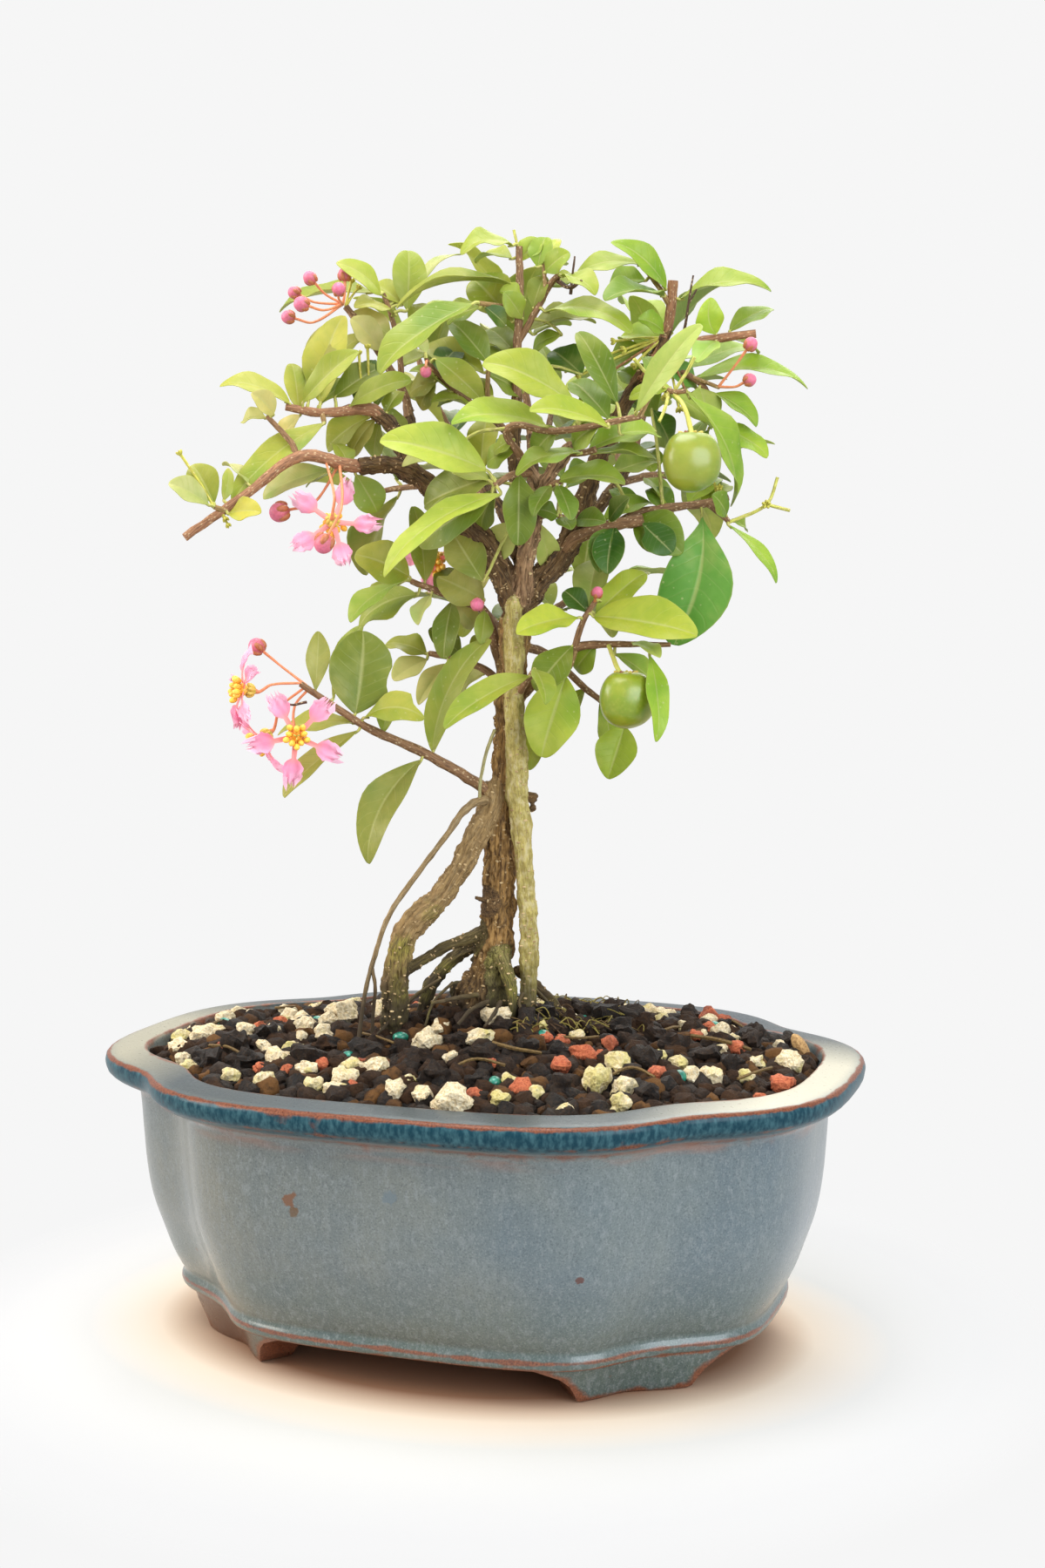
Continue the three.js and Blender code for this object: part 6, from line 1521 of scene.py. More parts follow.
wart_tree, given = new_group("lenticels", ("Density", "Least Width", "Most Width"), "Seed")
inputs = {"Mesh": given["Geometry"], "Density": given["Density"], "Seed": given["Seed"]}
spread = node(wart_tree, "GeometryNodeDistributePointsOnFaces", inputs, distribute_method="RANDOM")
inputs = {"Name": "grain"}
grain = node(wart_tree, "GeometryNodeInputNamedAttribute", inputs, data_type="FLOAT_VECTOR")
inputs = {"Rotation": spread.outputs["Rotation"], "Vector": grain.outputs[0]}
lying = node(wart_tree, "FunctionNodeAlignRotationToVector", inputs, axis="Y", pivot_axis="Z").outputs[0]
tone = node(wart_tree, "FunctionNodeRandomValue", {"Seed": 3}, data_type="FLOAT").outputs[1]
inputs = {"Geometry": spread.outputs["Points"], "Name": "tone", "Value": tone}
toned = node(wart_tree, "GeometryNodeStoreNamedAttribute", inputs, data_type="FLOAT", domain="POINT")
wide = node(wart_tree, "FunctionNodeRandomValue", {"Seed": 7}, data_type="FLOAT")
link(wart_tree, given["Least Width"], wide.inputs[2])
link(wart_tree, given["Most Width"], wide.inputs[3])
bead = node(wart_tree, "GeometryNodeMeshUVSphere", {"Segments": 6, "Rings": 4, "Radius": 1.0})
high = calculate(wart_tree, "MULTIPLY", wide.outputs[1], 0.5)
thick = calculate(wart_tree, "MULTIPLY", wide.outputs[1], 0.35)
size = node(wart_tree, "ShaderNodeCombineXYZ", {0: wide.outputs[1], 1: high, 2: thick}).outputs[0]
inputs = {"Points": toned.outputs[0], "Instance": bead.outputs[0], "Rotation": lying, "Scale": size}
placed = node(wart_tree, "GeometryNodeInstanceOnPoints", inputs)
end_group(wart_tree, placed.outputs[0], wart)

limb_faces = wood_skin.faces[:len(wood_mesh.polygons)]
thick_limbs = plain_object("thick_limbs", wood_skin.points[:len(grains)], limb_faces)
ways = thick_limbs.data.attributes.new("grain", "FLOAT_VECTOR", "POINT")
ways.data.foreach_set("vector", [value for row in grains for value in row])
values = {"Density": 150000.0, "Least Width": 0.2 * MM, "Most Width": 0.64 * MM, "Seed": 5}
wart_mesh = grown_mesh(thick_limbs, wart_tree, values, "lenticels")
bpy.data.objects.remove(thick_limbs)
lenticels = bpy.data.objects.new("lenticels_of_the_bark", wart_mesh)
scene.collection.objects.link(lenticels)
declare(lenticels, "bark", "trunk_and_roots")
declare(wood, "bark", "trunk_and_roots")

# %% [markdown]
# ## Leafy shoots
# A shoot is a few twigs and their leaves. A leaf is one row: the column and row of its base and of
# its tip, how far behind its base its tip lies, its width as seen, its roll in degrees and its arch.
# At roll 0 a leaf shows its upper side, and at 90 that side faces up. The same rows shaped the
# frame's flat blades, so the fine leaves made here lie where the blades are.

# %% Twigs and leaves of the shoots
SHOOTS = {
    "leader_top": {"stems": [
        [[593, 470, 7, 1.4], [594, 400, 7, 1.3], [597, 340, 7, 1.1], [596, 283, 7, 0.9]],
        [[596, 392, 7, 0.9], [618, 352, 6, 0.9], [632, 326, 5, 0.9], [642, 316, 3, 0.8]],
        [[627, 336, 5, 0.6], [624, 304, 5, 0.5]],
        [[597, 352, 7, 0.8], [572, 351, 1, 0.7], [550, 348, -5, 0.6]],
        [[596, 290, 7, 0.4], [590, 264, 7, 0.4]],
    ], "leaves": [
        [589, 282, 529, 289, -6, 22, 55, 0.28], [589, 297, 546, 299, 8, 17, 60, 0.2],
        [592, 329, 454, 350, -4, 17, 72, 0.22], [589, 370, 543, 319, 5, 50, 15, 0.08],
        [600, 366, 580, 336, -8, 25, 10, 0.1], [618, 307, 626, 272, 3, 25, 20, 0.1],
        [626, 313, 653, 290, -5, 28, 25, 0.1], [628, 300, 642, 274, 8, 15, 20, 0.1],
        [643, 316, 684, 337, -7, 24, 50, 0.18], [604, 380, 684, 367, 7, 22, 60, 0.14],
        [626, 358, 726, 380, -12, 26, 55, 0.24], [612, 384, 655, 372, 12, 10, 65, 0.1],
        [543, 349, 433, 424, -10, 36, 45, 0.1],
    ]},
    "upper_middle": {"stems": [
        [[592, 505, 7, 1.1], [562, 478, 5, 0.9], [527, 452, 3, 0.8], [505, 432, 1, 0.7],
         [489, 412, 0, 0.6]],
        [[562, 478, 5, 0.7], [560, 448, 4, 0.7], [561, 420, 3, 0.6]],
    ], "leaves": [
        [560, 416, 518, 368, 4, 30, 25, 0.1], [556, 428, 480, 399, 8, 32, 40, 0.12],
        [500, 412, 553, 458, -7, 30, 20, 0.1], [519, 450, 471, 424, -6, 15, 65, 0.16],
        [549, 474, 495, 460, -4, 16, 62, 0.26], [489, 406, 478, 383, 6, 14, 20, 0.1],
        [562, 420, 590, 396, 10, 20, 40, 0.1],
    ]},
    "front_left": {"stems": [
        [[610, 543, -12, 1.1], [586, 546, -18, 0.9], [567, 558, -21, 0.8]],
    ], "leaves": [
        [575, 567, 437, 655, -12, 26, 50, 0.16], [564, 573, 480, 626, 6, 46, 25, 0.1],
        [559, 540, 437, 503, -6, 46, 35, 0.1], [596, 542, 595, 626, -5, 36, 15, 0.06],
    ]},
    "front_middle": {"stems": [
        [[599, 526, -14, 1.1], [583, 492, -16, 1.0], [638, 495, -21, 0.9], [735, 478, -28, 0.8]],
        [[735, 478, -28, 0.7], [748, 450, -30, 0.6]],
    ], "leaves": [
        [628, 490, 519, 481, -8, 30, 50, 0.16], [661, 466, 556, 413, -4, 42, 35, 0.12],
        [699, 491, 610, 468, -12, 26, 45, 0.14], [709, 464, 664, 379, 4, 30, 15, 0.06],
        [730, 474, 803, 372, -12, 27, 25, 0.08], [712, 498, 758, 500, 9, 22, 50, 0.1],
        [590, 505, 566, 520, 4, 20, 40, 0.1],
    ]},
    "limb_end": {"stems": [
        [[650, 520, -14, 1.0], [668, 520, -17, 0.9], [684, 516, -19, 0.8]],
    ], "leaves": [
        [668, 520, 592, 541, -7, 20, 62, 0.16], [676, 516, 753, 491, -9, 30, 50, 0.1],
        [678, 520, 755, 526, 3, 15, 68, 0.08],
    ]},
    "limb_side": {"stems": [
        [[621, 568, -10, 1.0], [634, 556, -14, 0.8], [644, 553, -16, 0.7]],
    ], "leaves": [
        [640, 553, 718, 551, -3, 24, 55, 0.16], [640, 557, 656, 596, -8, 22, 25, 0.1],
        [632, 558, 612, 590, -9, 20, 25, 0.1],
    ]},
    "left_tip": {"stems": [
        [[469, 480, 7, 1.3], [465, 455, 9, 1.2], [440, 412, 8, 1.1], [415, 375, 8, 1.0],
         [397, 352, 8, 0.9]],
        [[462, 450, 9, 0.9], [458, 400, 12, 0.8], [447, 355, 13, 0.7], [440, 337, 13, 0.6]],
    ], "leaves": [
        [437, 338, 387, 301, -6, 24, 40, 0.2], [426, 336, 319, 352, 3, 18, 62, 0.12],
        [467, 357, 469, 286, 4, 36, 10, 0.05], [462, 345, 526, 287, 14, 16, 50, 0.1],
        [437, 402, 404, 365, -5, 28, 25, 0.1], [394, 402, 420, 387, -8, 16, 45, 0.1],
        [455, 362, 408, 351, -9, 17, 60, 0.2], [470, 372, 500, 352, 8, 24, 35, 0.1],
        [462, 420, 500, 408, 12, 26, 45, 0.1],
    ]},
    "left_upper_end": {"stems": [
        [[440, 480, -2, 1.6], [425, 470, -3, 1.7], [370, 474, -5, 1.2], [328, 467, -7, 1.0]],
        [[370, 474, -5, 0.7], [372, 486, -8, 0.6]],
    ], "leaves": [
        [368, 462, 394, 361, 6, 36, 15, 0.05], [348, 462, 410, 402, -7, 28, 30, 0.1],
        [333, 463, 253, 439, -3, 20, 55, 0.18], [372, 486, 265, 575, -9, 34, 30, 0.04],
        [402, 466, 471, 435, -8, 26, 35, 0.14], [425, 478, 374, 516, 7, 30, 30, 0.1],
        [432, 480, 402, 524, 3, 24, 30, 0.1], [436, 484, 430, 528, 10, 24, 20, 0.1],
        [345, 476, 322, 508, 8, 22, 30, 0.1],
    ]},
    "left_end": {"stems": [
        [[420, 534, -9, 1.7], [405, 535, -10, 1.8], [345, 524, -14, 1.5], [285, 566, -18, 1.2],
         [212, 617, -22, 1.1]],
        [[342, 526, -14, 0.9], [334, 508, -13, 0.8], [307, 478, -12, 0.7]],
        [[258, 586, -20, 0.8], [246, 582, -22, 0.7]],
    ], "leaves": [
        [314, 476, 289, 451, -4, 22, 30, 0.1], [306, 480, 278, 484, 4, 18, 45, 0.2],
        [380, 539, 301, 570, 5, 26, 45, 0.1], [400, 540, 350, 556, 5, 12, 65, 0.1],
        [408, 544, 434, 588, 3, 36, 15, 0.05], [246, 578, 221, 533, 3, 32, 15, 0.1],
        [240, 580, 194, 554, -5, 24, 35, 0.1], [262, 590, 299, 587, -5, 24, 35, 0.1],
        [257, 575, 263, 537, 3, 12, 40, 0.1], [285, 556, 257, 531, 9, 10, 60, 0.1],
    ]},
    "left_mid": {"stems": [
        [[582, 785, 0, 1.6], [572, 752, 3, 1.5], [556, 702, 5, 1.3], [530, 690, 6, 1.1],
         [472, 667, 8, 0.8]],
    ], "leaves": [
        [470, 662, 408, 636, -5, 42, 25, 0.12], [488, 668, 476, 580, 6, 28, 25, 0.06],
        [462, 668, 401, 713, -7, 22, 55, 0.14], [480, 683, 410, 719, 4, 26, 50, 0.12],
        [495, 684, 479, 716, -8, 18, 40, 0.1], [520, 689, 509, 756, -5, 28, 20, 0.06],
        [557, 700, 552, 739, -6, 20, 20, 0.1], [556, 688, 502, 662, -8, 52, 12, 0.1],
        [540, 690, 560, 640, 12, 30, 20, 0.1],
    ]},
    "left_inner": {"stems": [
        [[584, 800, 2, 1.2], [560, 771, 9, 1.1], [526, 757, 14, 0.9], [493, 750, 18, 0.8]],
    ], "leaves": [
        [514, 762, 480, 808, -8, 22, 30, 0.1], [558, 772, 524, 798, 8, 20, 50, 0.1],
        [530, 752, 493, 722, -4, 24, 25, 0.1], [490, 751, 443, 738, 4, 22, 55, 0.12],
        [490, 757, 451, 780, -4, 24, 35, 0.1], [543, 758, 566, 724, 12, 22, 25, 0.1],
    ]},
    "left_low": {"stems": [
        [[577, 922, -1, 1.8], [545, 898, -3, 1.6], [490, 866, -7, 1.3], [420, 834, -11, 1.1],
         [345, 785, -16, 0.8]],
    ], "leaves": [
        [408, 820, 417, 723, 8, 62, 12, 0.08], [382, 803, 414, 716, 15, 22, 25, 0.08],
        [362, 795, 366, 724, 3, 24, 20, 0.06], [418, 824, 486, 822, -7, 28, 40, 0.16],
        [410, 830, 317, 839, 9, 18, 60, 0.1], [412, 838, 323, 913, -3, 22, 50, 0.06],
        [484, 872, 420, 990, -8, 48, 25, 0.1], [497, 864, 560, 731, 5, 26, 35, -0.1],
    ]},
    "trunk_shoot": {"stems": [
        [[594, 800, -4, 1.0], [605, 782, -10, 0.8], [613, 770, -13, 0.7]],
    ], "leaves": [
        [608, 776, 509, 834, -11, 26, 45, 0.1], [614, 768, 628, 806, -12, 24, 30, 0.1],
    ]},
    "right_low": {"stems": [
        [[592, 806, 0, 1.6], [612, 785, -2, 1.5], [660, 745, -6, 1.2], [690, 740, -8, 1.0],
         [770, 740, -12, 0.6]],
        [[659, 746, -6, 0.9], [670, 712, -9, 0.8], [684, 690, -10, 0.7]],
        [[662, 744, -6, 0.7], [655, 766, -9, 0.6]],
    ], "leaves": [
        [650, 776, 621, 869, -4, 56, 15, 0.06], [634, 786, 604, 885, 6, 34, 20, 0.06],
        [658, 741, 615, 793, -9, 36, 25, 0.12], [665, 709, 593, 726, -8, 30, 45, 0.12],
        [682, 708, 801, 728, -12, 44, 35, 0.1], [684, 706, 741, 656, 5, 30, 30, 0.06],
        [676, 700, 690, 637, 14, 40, 20, 0.1], [690, 690, 746, 654, 14, 20, 40, 0.06],
        [746, 752, 757, 849, -5, 24, 25, 0.1], [706, 750, 754, 787, 8, 22, 45, 0.1],
        [727, 738, 758, 753, -9, 16, 50, 0.1],
    ]},
    "right_fruiting": {"stems": [
        [[600, 742, 2, 1.3], [630, 752, 9, 1.1], [672, 790, 9, 0.9], [712, 820, 9, 0.8]],
    ], "leaves": [
        [717, 834, 698, 894, -4, 44, 15, 0.06], [672, 790, 640, 850, 10, 26, 30, 0.1],
        [690, 800, 700, 862, 13, 26, 25, 0.1],
    ]},
    "right_inner": {"stems": [
        [[672, 600, 0, 1.0], [658, 596, -6, 0.8], [640, 592, -9, 0.7]],
    ], "leaves": [
        [640, 592, 614, 584, -4, 20, 25, 0.1], [644, 594, 656, 606, -8, 20, 20, 0.1],
        [662, 597, 694, 598, -9, 24, 20, 0.1],
    ]},
    "right_end": {"stems": [
        [[648, 630, 0, 1.8], [662, 617, -2, 1.8], [690, 606, -4, 1.7], [738, 597, -7, 1.5]],
        [[705, 603, -4, 1.2], [730, 590, -1, 1.2], [758, 584, -1, 1.2], [810, 578, 0, 1.1],
         [836, 571, 1, 1.0]],
        [[812, 578, 0, 0.9], [828, 590, -3, 0.8], [838, 600, -4, 0.7]],
        [[836, 600, -4, 0.5], [880, 579, -6, 0.45], [893, 548, -6, 0.45]],
        [[880, 579, -6, 0.45], [907, 586, -8, 0.45]],
    ], "leaves": [
        [700, 606, 688, 656, -6, 32, 15, 0.08], [736, 600, 772, 634, -4, 48, 12, 0.1],
        [690, 600, 748, 575, 6, 22, 50, 0.1], [700, 598, 722, 571, -9, 20, 30, 0.1],
        [806, 592, 773, 739, -9, 74, 12, 0.08], [836, 602, 895, 666, -6, 14, 55, 0.1],
        [834, 592, 819, 568, -8, 24, 25, 0.1], [842, 598, 857, 608, 8, 14, 30, 0.1],
        [768, 582, 742, 548, 10, 24, 35, 0.1], [790, 578, 826, 548, 10, 22, 45, 0.1],
    ]},
    "fruit_twig": {"stems": [
        [[738, 432, 10, 1.1], [752, 440, 2, 0.9], [766, 448, -6, 0.8], [778, 450, -12, 0.7],
         [788, 449, -13, 0.6]],
        [[774, 450, -11, 0.45], [790, 425, -13, 0.45], [798, 410, -14, 0.45]],
        [[766, 448, -6, 0.45], [742, 428, -12, 0.45], [728, 412, -15, 0.45]],
        [[768, 448, -7, 0.45], [764, 468, -16, 0.45], [757, 484, -18, 0.45]],
    ], "leaves": [
        [768, 452, 820, 490, 10, 22, 40, 0.1], [770, 445, 722, 456, 4, 22, 55, 0.1],
        [760, 444, 740, 408, 6, 24, 30, 0.1], [790, 453, 846, 580, 16, 30, 55, 0.2],
    ]},
    "upper_right": {"stems": [
        [[762, 388, 11, 1.3], [769, 366, 11, 1.4], [773, 322, 10, 1.4]],
        [[770, 352, 11, 0.8], [754, 326, 8, 0.7], [738, 306, 6, 0.6]],
    ], "leaves": [
        [765, 332, 704, 276, -8, 26, 35, 0.2], [738, 304, 658, 316, -6, 22, 55, 0.2],
        [742, 322, 697, 328, 9, 30, 30, 0.1], [763, 340, 695, 342, -10, 25, 55, 0.14],
        [780, 344, 886, 332, -4, 21, 60, 0.24], [762, 382, 734, 366, -7, 24, 30, 0.14],
        [760, 396, 711, 386, 8, 26, 45, 0.1],
    ]},
    "right_top_end": {"stems": [
        [[750, 412, 10, 1.3], [770, 402, 9, 1.3], [800, 392, 7, 1.2], [868, 383, 4, 1.1]],
    ], "leaves": [
        [822, 384, 816, 342, -4, 27, 12, 0.06], [838, 380, 888, 353, 5, 20, 50, 0.14],
        [822, 392, 800, 416, -8, 24, 30, 0.1], [840, 388, 872, 404, 9, 14, 50, 0.1],
    ]},
    "right_mid_end": {"stems": [
        [[742, 428, 11, 1.1], [768, 424, 11, 1.0], [792, 432, 9, 0.9], [812, 450, 7, 0.8],
         [817, 490, 5, 0.7]],
        [[792, 432, 9, 0.6], [826, 445, 4, 0.5]],
    ], "leaves": [
        [800, 434, 929, 440, -7, 20, 60, 0.2], [787, 424, 861, 396, 5, 24, 50, 0.08],
        [803, 445, 812, 486, -8, 34, 15, 0.1], [820, 452, 870, 488, -4, 22, 50, 0.12],
        [819, 488, 883, 523, -5, 24, 45, 0.1], [814, 492, 800, 540, 9, 26, 25, 0.1],
    ]},
}
print("shoots in view:", len(SHOOTS))

# %% [markdown]
# Shoots behind the crown carry their leaves in opposite pairs, each pair turned a quarter from the
# last, as the real plant does. A row gives the twig, the seed of its draws and its leaves' length.

# %% Shoots behind the crown
BACK_SHOOTS = {
    "back_left_high": {
        "stem": [[554, 553, 24, 1.2], [520, 500, 33, 1.1], [492, 445, 40, 0.9], [476, 398, 44, 0.7]],
        "seed": 11, "leaf": 23,
    },
    "back_left_low": {
        "stem": [[566, 571, 19, 1.2], [515, 556, 33, 1.0], [462, 560, 42, 0.9], [425, 566, 47, 0.7]],
        "seed": 23, "leaf": 23,
    },
    "back_left_deep": {
        "stem": [[548, 545, 25, 1.2], [556, 552, 38, 1.0], [552, 550, 52, 0.8], [545, 540, 62, 0.7]],
        "seed": 37, "leaf": 22,
    },
    "back_top": {
        "stem": [[610, 500, 30, 1.2], [604, 455, 36, 1.1], [592, 400, 40, 0.9], [588, 352, 42, 0.7]],
        "seed": 41, "leaf": 22,
    },
    "back_middle_deep": {
        "stem": [[611, 530, 24, 1.2], [628, 500, 42, 1.0], [634, 470, 54, 0.8], [640, 455, 62, 0.7]],
        "seed": 53, "leaf": 22,
    },
    "back_right_high": {
        "stem": [[725, 530, 27, 1.2], [738, 480, 35, 1.0], [752, 430, 40, 0.9], [762, 392, 43, 0.7]],
        "seed": 67, "leaf": 22,
    },
    "back_right_low": {
        "stem": [[706, 556, 21, 1.2], [752, 545, 35, 1.0], [780, 548, 43, 0.8], [800, 540, 48, 0.7]],
        "seed": 71, "leaf": 21,
    },
    "back_right_deep": {
        "stem": [[716, 542, 24, 1.2], [710, 524, 40, 1.0], [706, 505, 52, 0.8], [702, 492, 60, 0.7]],
        "seed": 83, "leaf": 22,
    },
    "back_low_left": {
        "stem": [[586, 742, 2, 1.2], [566, 712, 15, 1.0], [545, 690, 28, 0.9], [530, 672, 38, 0.7]],
        "seed": 97, "leaf": 20,
    },
    "back_low_right": {
        "stem": [[604, 722, 2, 1.3], [636, 700, 15, 1.1], [668, 680, 28, 0.9], [690, 672, 38, 0.7]],
        "seed": 101, "leaf": 20,
    },
}
print("shoots behind:", len(BACK_SHOOTS))

# %% [markdown]
# ## Colours of the leaves
# Young leaves and leaves with light behind them are yellow-green. Old ones in the shade are dark,
# and a few glossy ones mirror the sky and look bluish. Each leaf in view gets one word, in the order
# of its rows, and the hidden ones draw theirs.

# %% Colours of the leaves
LEAF_TINTS = {
    "young": linear(202, 200, 108), "pale": linear(214, 206, 130), "yellow": linear(212, 208, 84),
    "bright": linear(194, 196, 80), "mid": linear(176, 180, 72), "olive": linear(166, 164, 78),
    "dark": linear(134, 148, 56), "deep": linear(82, 112, 42), "blue": linear(122, 160, 82),
}
LEAF_WORDS = {
    "leader_top": "mid mid mid mid mid mid mid bright mid mid mid pale mid",
    "upper_middle": "dark mid mid mid mid pale dark",
    "front_left": "bright dark bright dark",
    "front_middle": "bright mid bright dark pale mid mid",
    "limb_end": "mid bright mid",
    "limb_side": "mid dark dark",
    "left_tip": "bright mid mid pale pale mid mid mid mid",
    "left_upper_end": "bright mid mid bright mid mid olive mid pale",
    "left_end": "pale pale pale pale mid mid pale yellow young pale",
    "left_mid": "mid mid bright mid pale dark mid olive pale",
    "left_inner": "pale pale dark mid pale mid",
    "left_low": "dark mid olive mid mid olive olive mid",
    "trunk_shoot": "mid mid",
    "right_low": "bright bright dark yellow yellow bright pale pale bright mid pale",
    "right_fruiting": "bright mid mid",
    "right_inner": "dark dark dark",
    "right_end": "dark deep mid deep blue bright dark mid mid bright",
    "fruit_twig": "mid bright pale mid",
    "upper_right": "mid mid mid dark mid bright bright",
    "right_top_end": "yellow mid pale mid",
    "right_mid_end": "bright mid pale mid bright dark",
}
HIDDEN_WORDS = ["mid", "dark", "olive", "mid", "bright", "deep"]
SUNNY_SIDE = (-10, 45)
SHADY = (0.78, 1.0, 0.62)
STALK_TINT = linear(186, 186, 96)
TWIG_TINT = linear(142, 106, 72)
YOUNG_TWIG_TINT = linear(158, 126, 78)
PEDICEL_TINT = linear(202, 200, 96)
for name, words in LEAF_WORDS.items():
    if len(words.split()) != len(SHOOTS[name]["leaves"]):
        print("words and leaves differ on", name)
print("leaves in view:", sum(len(shoot["leaves"]) for shoot in SHOOTS.values()))

# %% [markdown]
# ## From a row to a leaf in space
# In the frame a blade was bent back a little wherever it would have touched a neighbour. The same
# few bends are tried here, and the one whose tip is a corner of the frame's solid is the right one.

# %% From a row to a leaf in space
BLADE_THICKNESS = 0.7
BENDS = (0, 0.2, -0.2, 0.4, -0.4, 0.6, -0.6, 0.8, -0.8)
TIP_NEARNESS = 0.06


def nearest_on_stems(stems, x, y):
    """Where a stem passes nearest to a place of the picture: column, row, distance behind, radius."""
    best, best_gap = None, math.inf
    for rows in stems:
        for first, second in zip(rows, rows[1:]):
            step_x, step_y = second[0] - first[0], second[1] - first[1]
            share = ((x - first[0]) * step_x + (y - first[1]) * step_y) / (step_x ** 2 + step_y ** 2)
            share = min(1, max(0, share))
            near = [a + share * (b - a) for a, b in zip(first, second)]
            gap = math.hypot(near[0] - x, near[1] - y)
            if gap < best_gap:
                best, best_gap = near, gap
    return best


def leaf_of(root, base, tip, facing, width, arch):
    along = tip - base
    length = along.length
    along.normalize()
    normal = (facing - along * facing.dot(along)).normalized()
    leaf = {"root": root, "base": base, "tip": tip, "along": along, "normal": normal}
    leaf.update({"across": along.cross(normal), "length": length, "width": width, "arch": arch, "bow": 0})
    return leaf


def leaf_from_row(stems, row, bend):
    base_x, base_y, tip_x, tip_y, tip_deep, width_seen, roll, arch = row
    root_x, root_y, away, radius = nearest_on_stems(stems, base_x, base_y)
    flat = math.hypot(tip_x - base_x, tip_y - base_y) * dot_size(away)
    deep = tip_deep + bend * flat
    base = seen(base_x, base_y, away + 0.12 * deep)
    tip = seen(tip_x, tip_y, away + deep)
    root = seen(root_x, root_y, away)
    along = (tip - base).normalized()
    upward = (RIGHT * -along.dot(UP) + UP * along.dot(RIGHT)).normalized()
    steep = upward.dot(RIGHT) if abs(upward.z) < 0.15 else upward.z
    if steep < 0:
        upward.negate()
    turned = math.radians(roll)
    facing = AWAY * -math.cos(turned) + upward * math.sin(turned)
    width = width_seen * dot_size(away) / max(0.45, math.cos(turned))
    return leaf_of(root, base, tip, facing, min(width, 0.62 * (tip - base).length + 1), arch)


PAIRS = 3
PETIOLE_LENGTH = 2.2
BACK_ARCH = 0.12


def back_leaf_makers(shoot):
    """For each leaf of a back shoot, a function that gives it at a bend."""
    draw = drawer(shoot["seed"])
    places = [seen(x, y, away) for x, y, away, radius in shoot["stem"]]
    makers = []
    for pair in range(PAIRS):
        middle = places[pair + 1]
        before = middle - places[pair]
        along = before.normalized()
        if pair + 1 < PAIRS:
            after = places[pair + 2] - middle
            a, b = math.sqrt(before.length), math.sqrt(after.length)
            along = (before / a - (before + after) / (a + b) + after / b).normalized()
        level = along.cross(UP).normalized()
        rise = level.cross(along)
        turned = pair % 2 * math.pi / 2 + 0.5 * (draw() - 0.5)
        for side in (1, -1):
            out = level * side * math.cos(turned) + rise * side * math.sin(turned) + along * 0.75
            length = shoot["leaf"] * (0.8 + 0.35 * draw())
            lift = 0.25 * (draw() - 0.3)
            width = length * (0.42 + 0.1 * draw())
            out = (out + UP * lift).normalized()

            def maker(bend, out=out, length=length, width=width, middle=middle, along=along):
                base = middle + out * PETIOLE_LENGTH
                tip = base + out * length + along * bend * length * 0.5 - UP * bend * length * 0.4
                return leaf_of(middle, base, tip, UP + out * 0.3, width, BACK_ARCH)

            makers.append(maker)
    return makers


def frame_corners(name):
    """A search tree over the corners of one solid of the frame."""
    corners = [vertex.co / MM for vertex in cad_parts[name].data.vertices]
    search = kdtree.KDTree(len(corners))
    for i, corner in enumerate(corners):
        search.insert(corner, i)
    search.balance()
    return search


def settled(maker, corners):
    """How near the frame comes to a leaf's tip, and the leaf at the bend that fits it best."""
    best = None
    for bend in BENDS:
        leaf = maker(bend)
        half = leaf["normal"] * BLADE_THICKNESS / 2
        gaps = [corners.find(leaf["tip"] + half)[2], corners.find(leaf["tip"] - half)[2]]
        if best is None or max(gaps) < best[0]:
            best = (max(gaps), leaf)
    return best


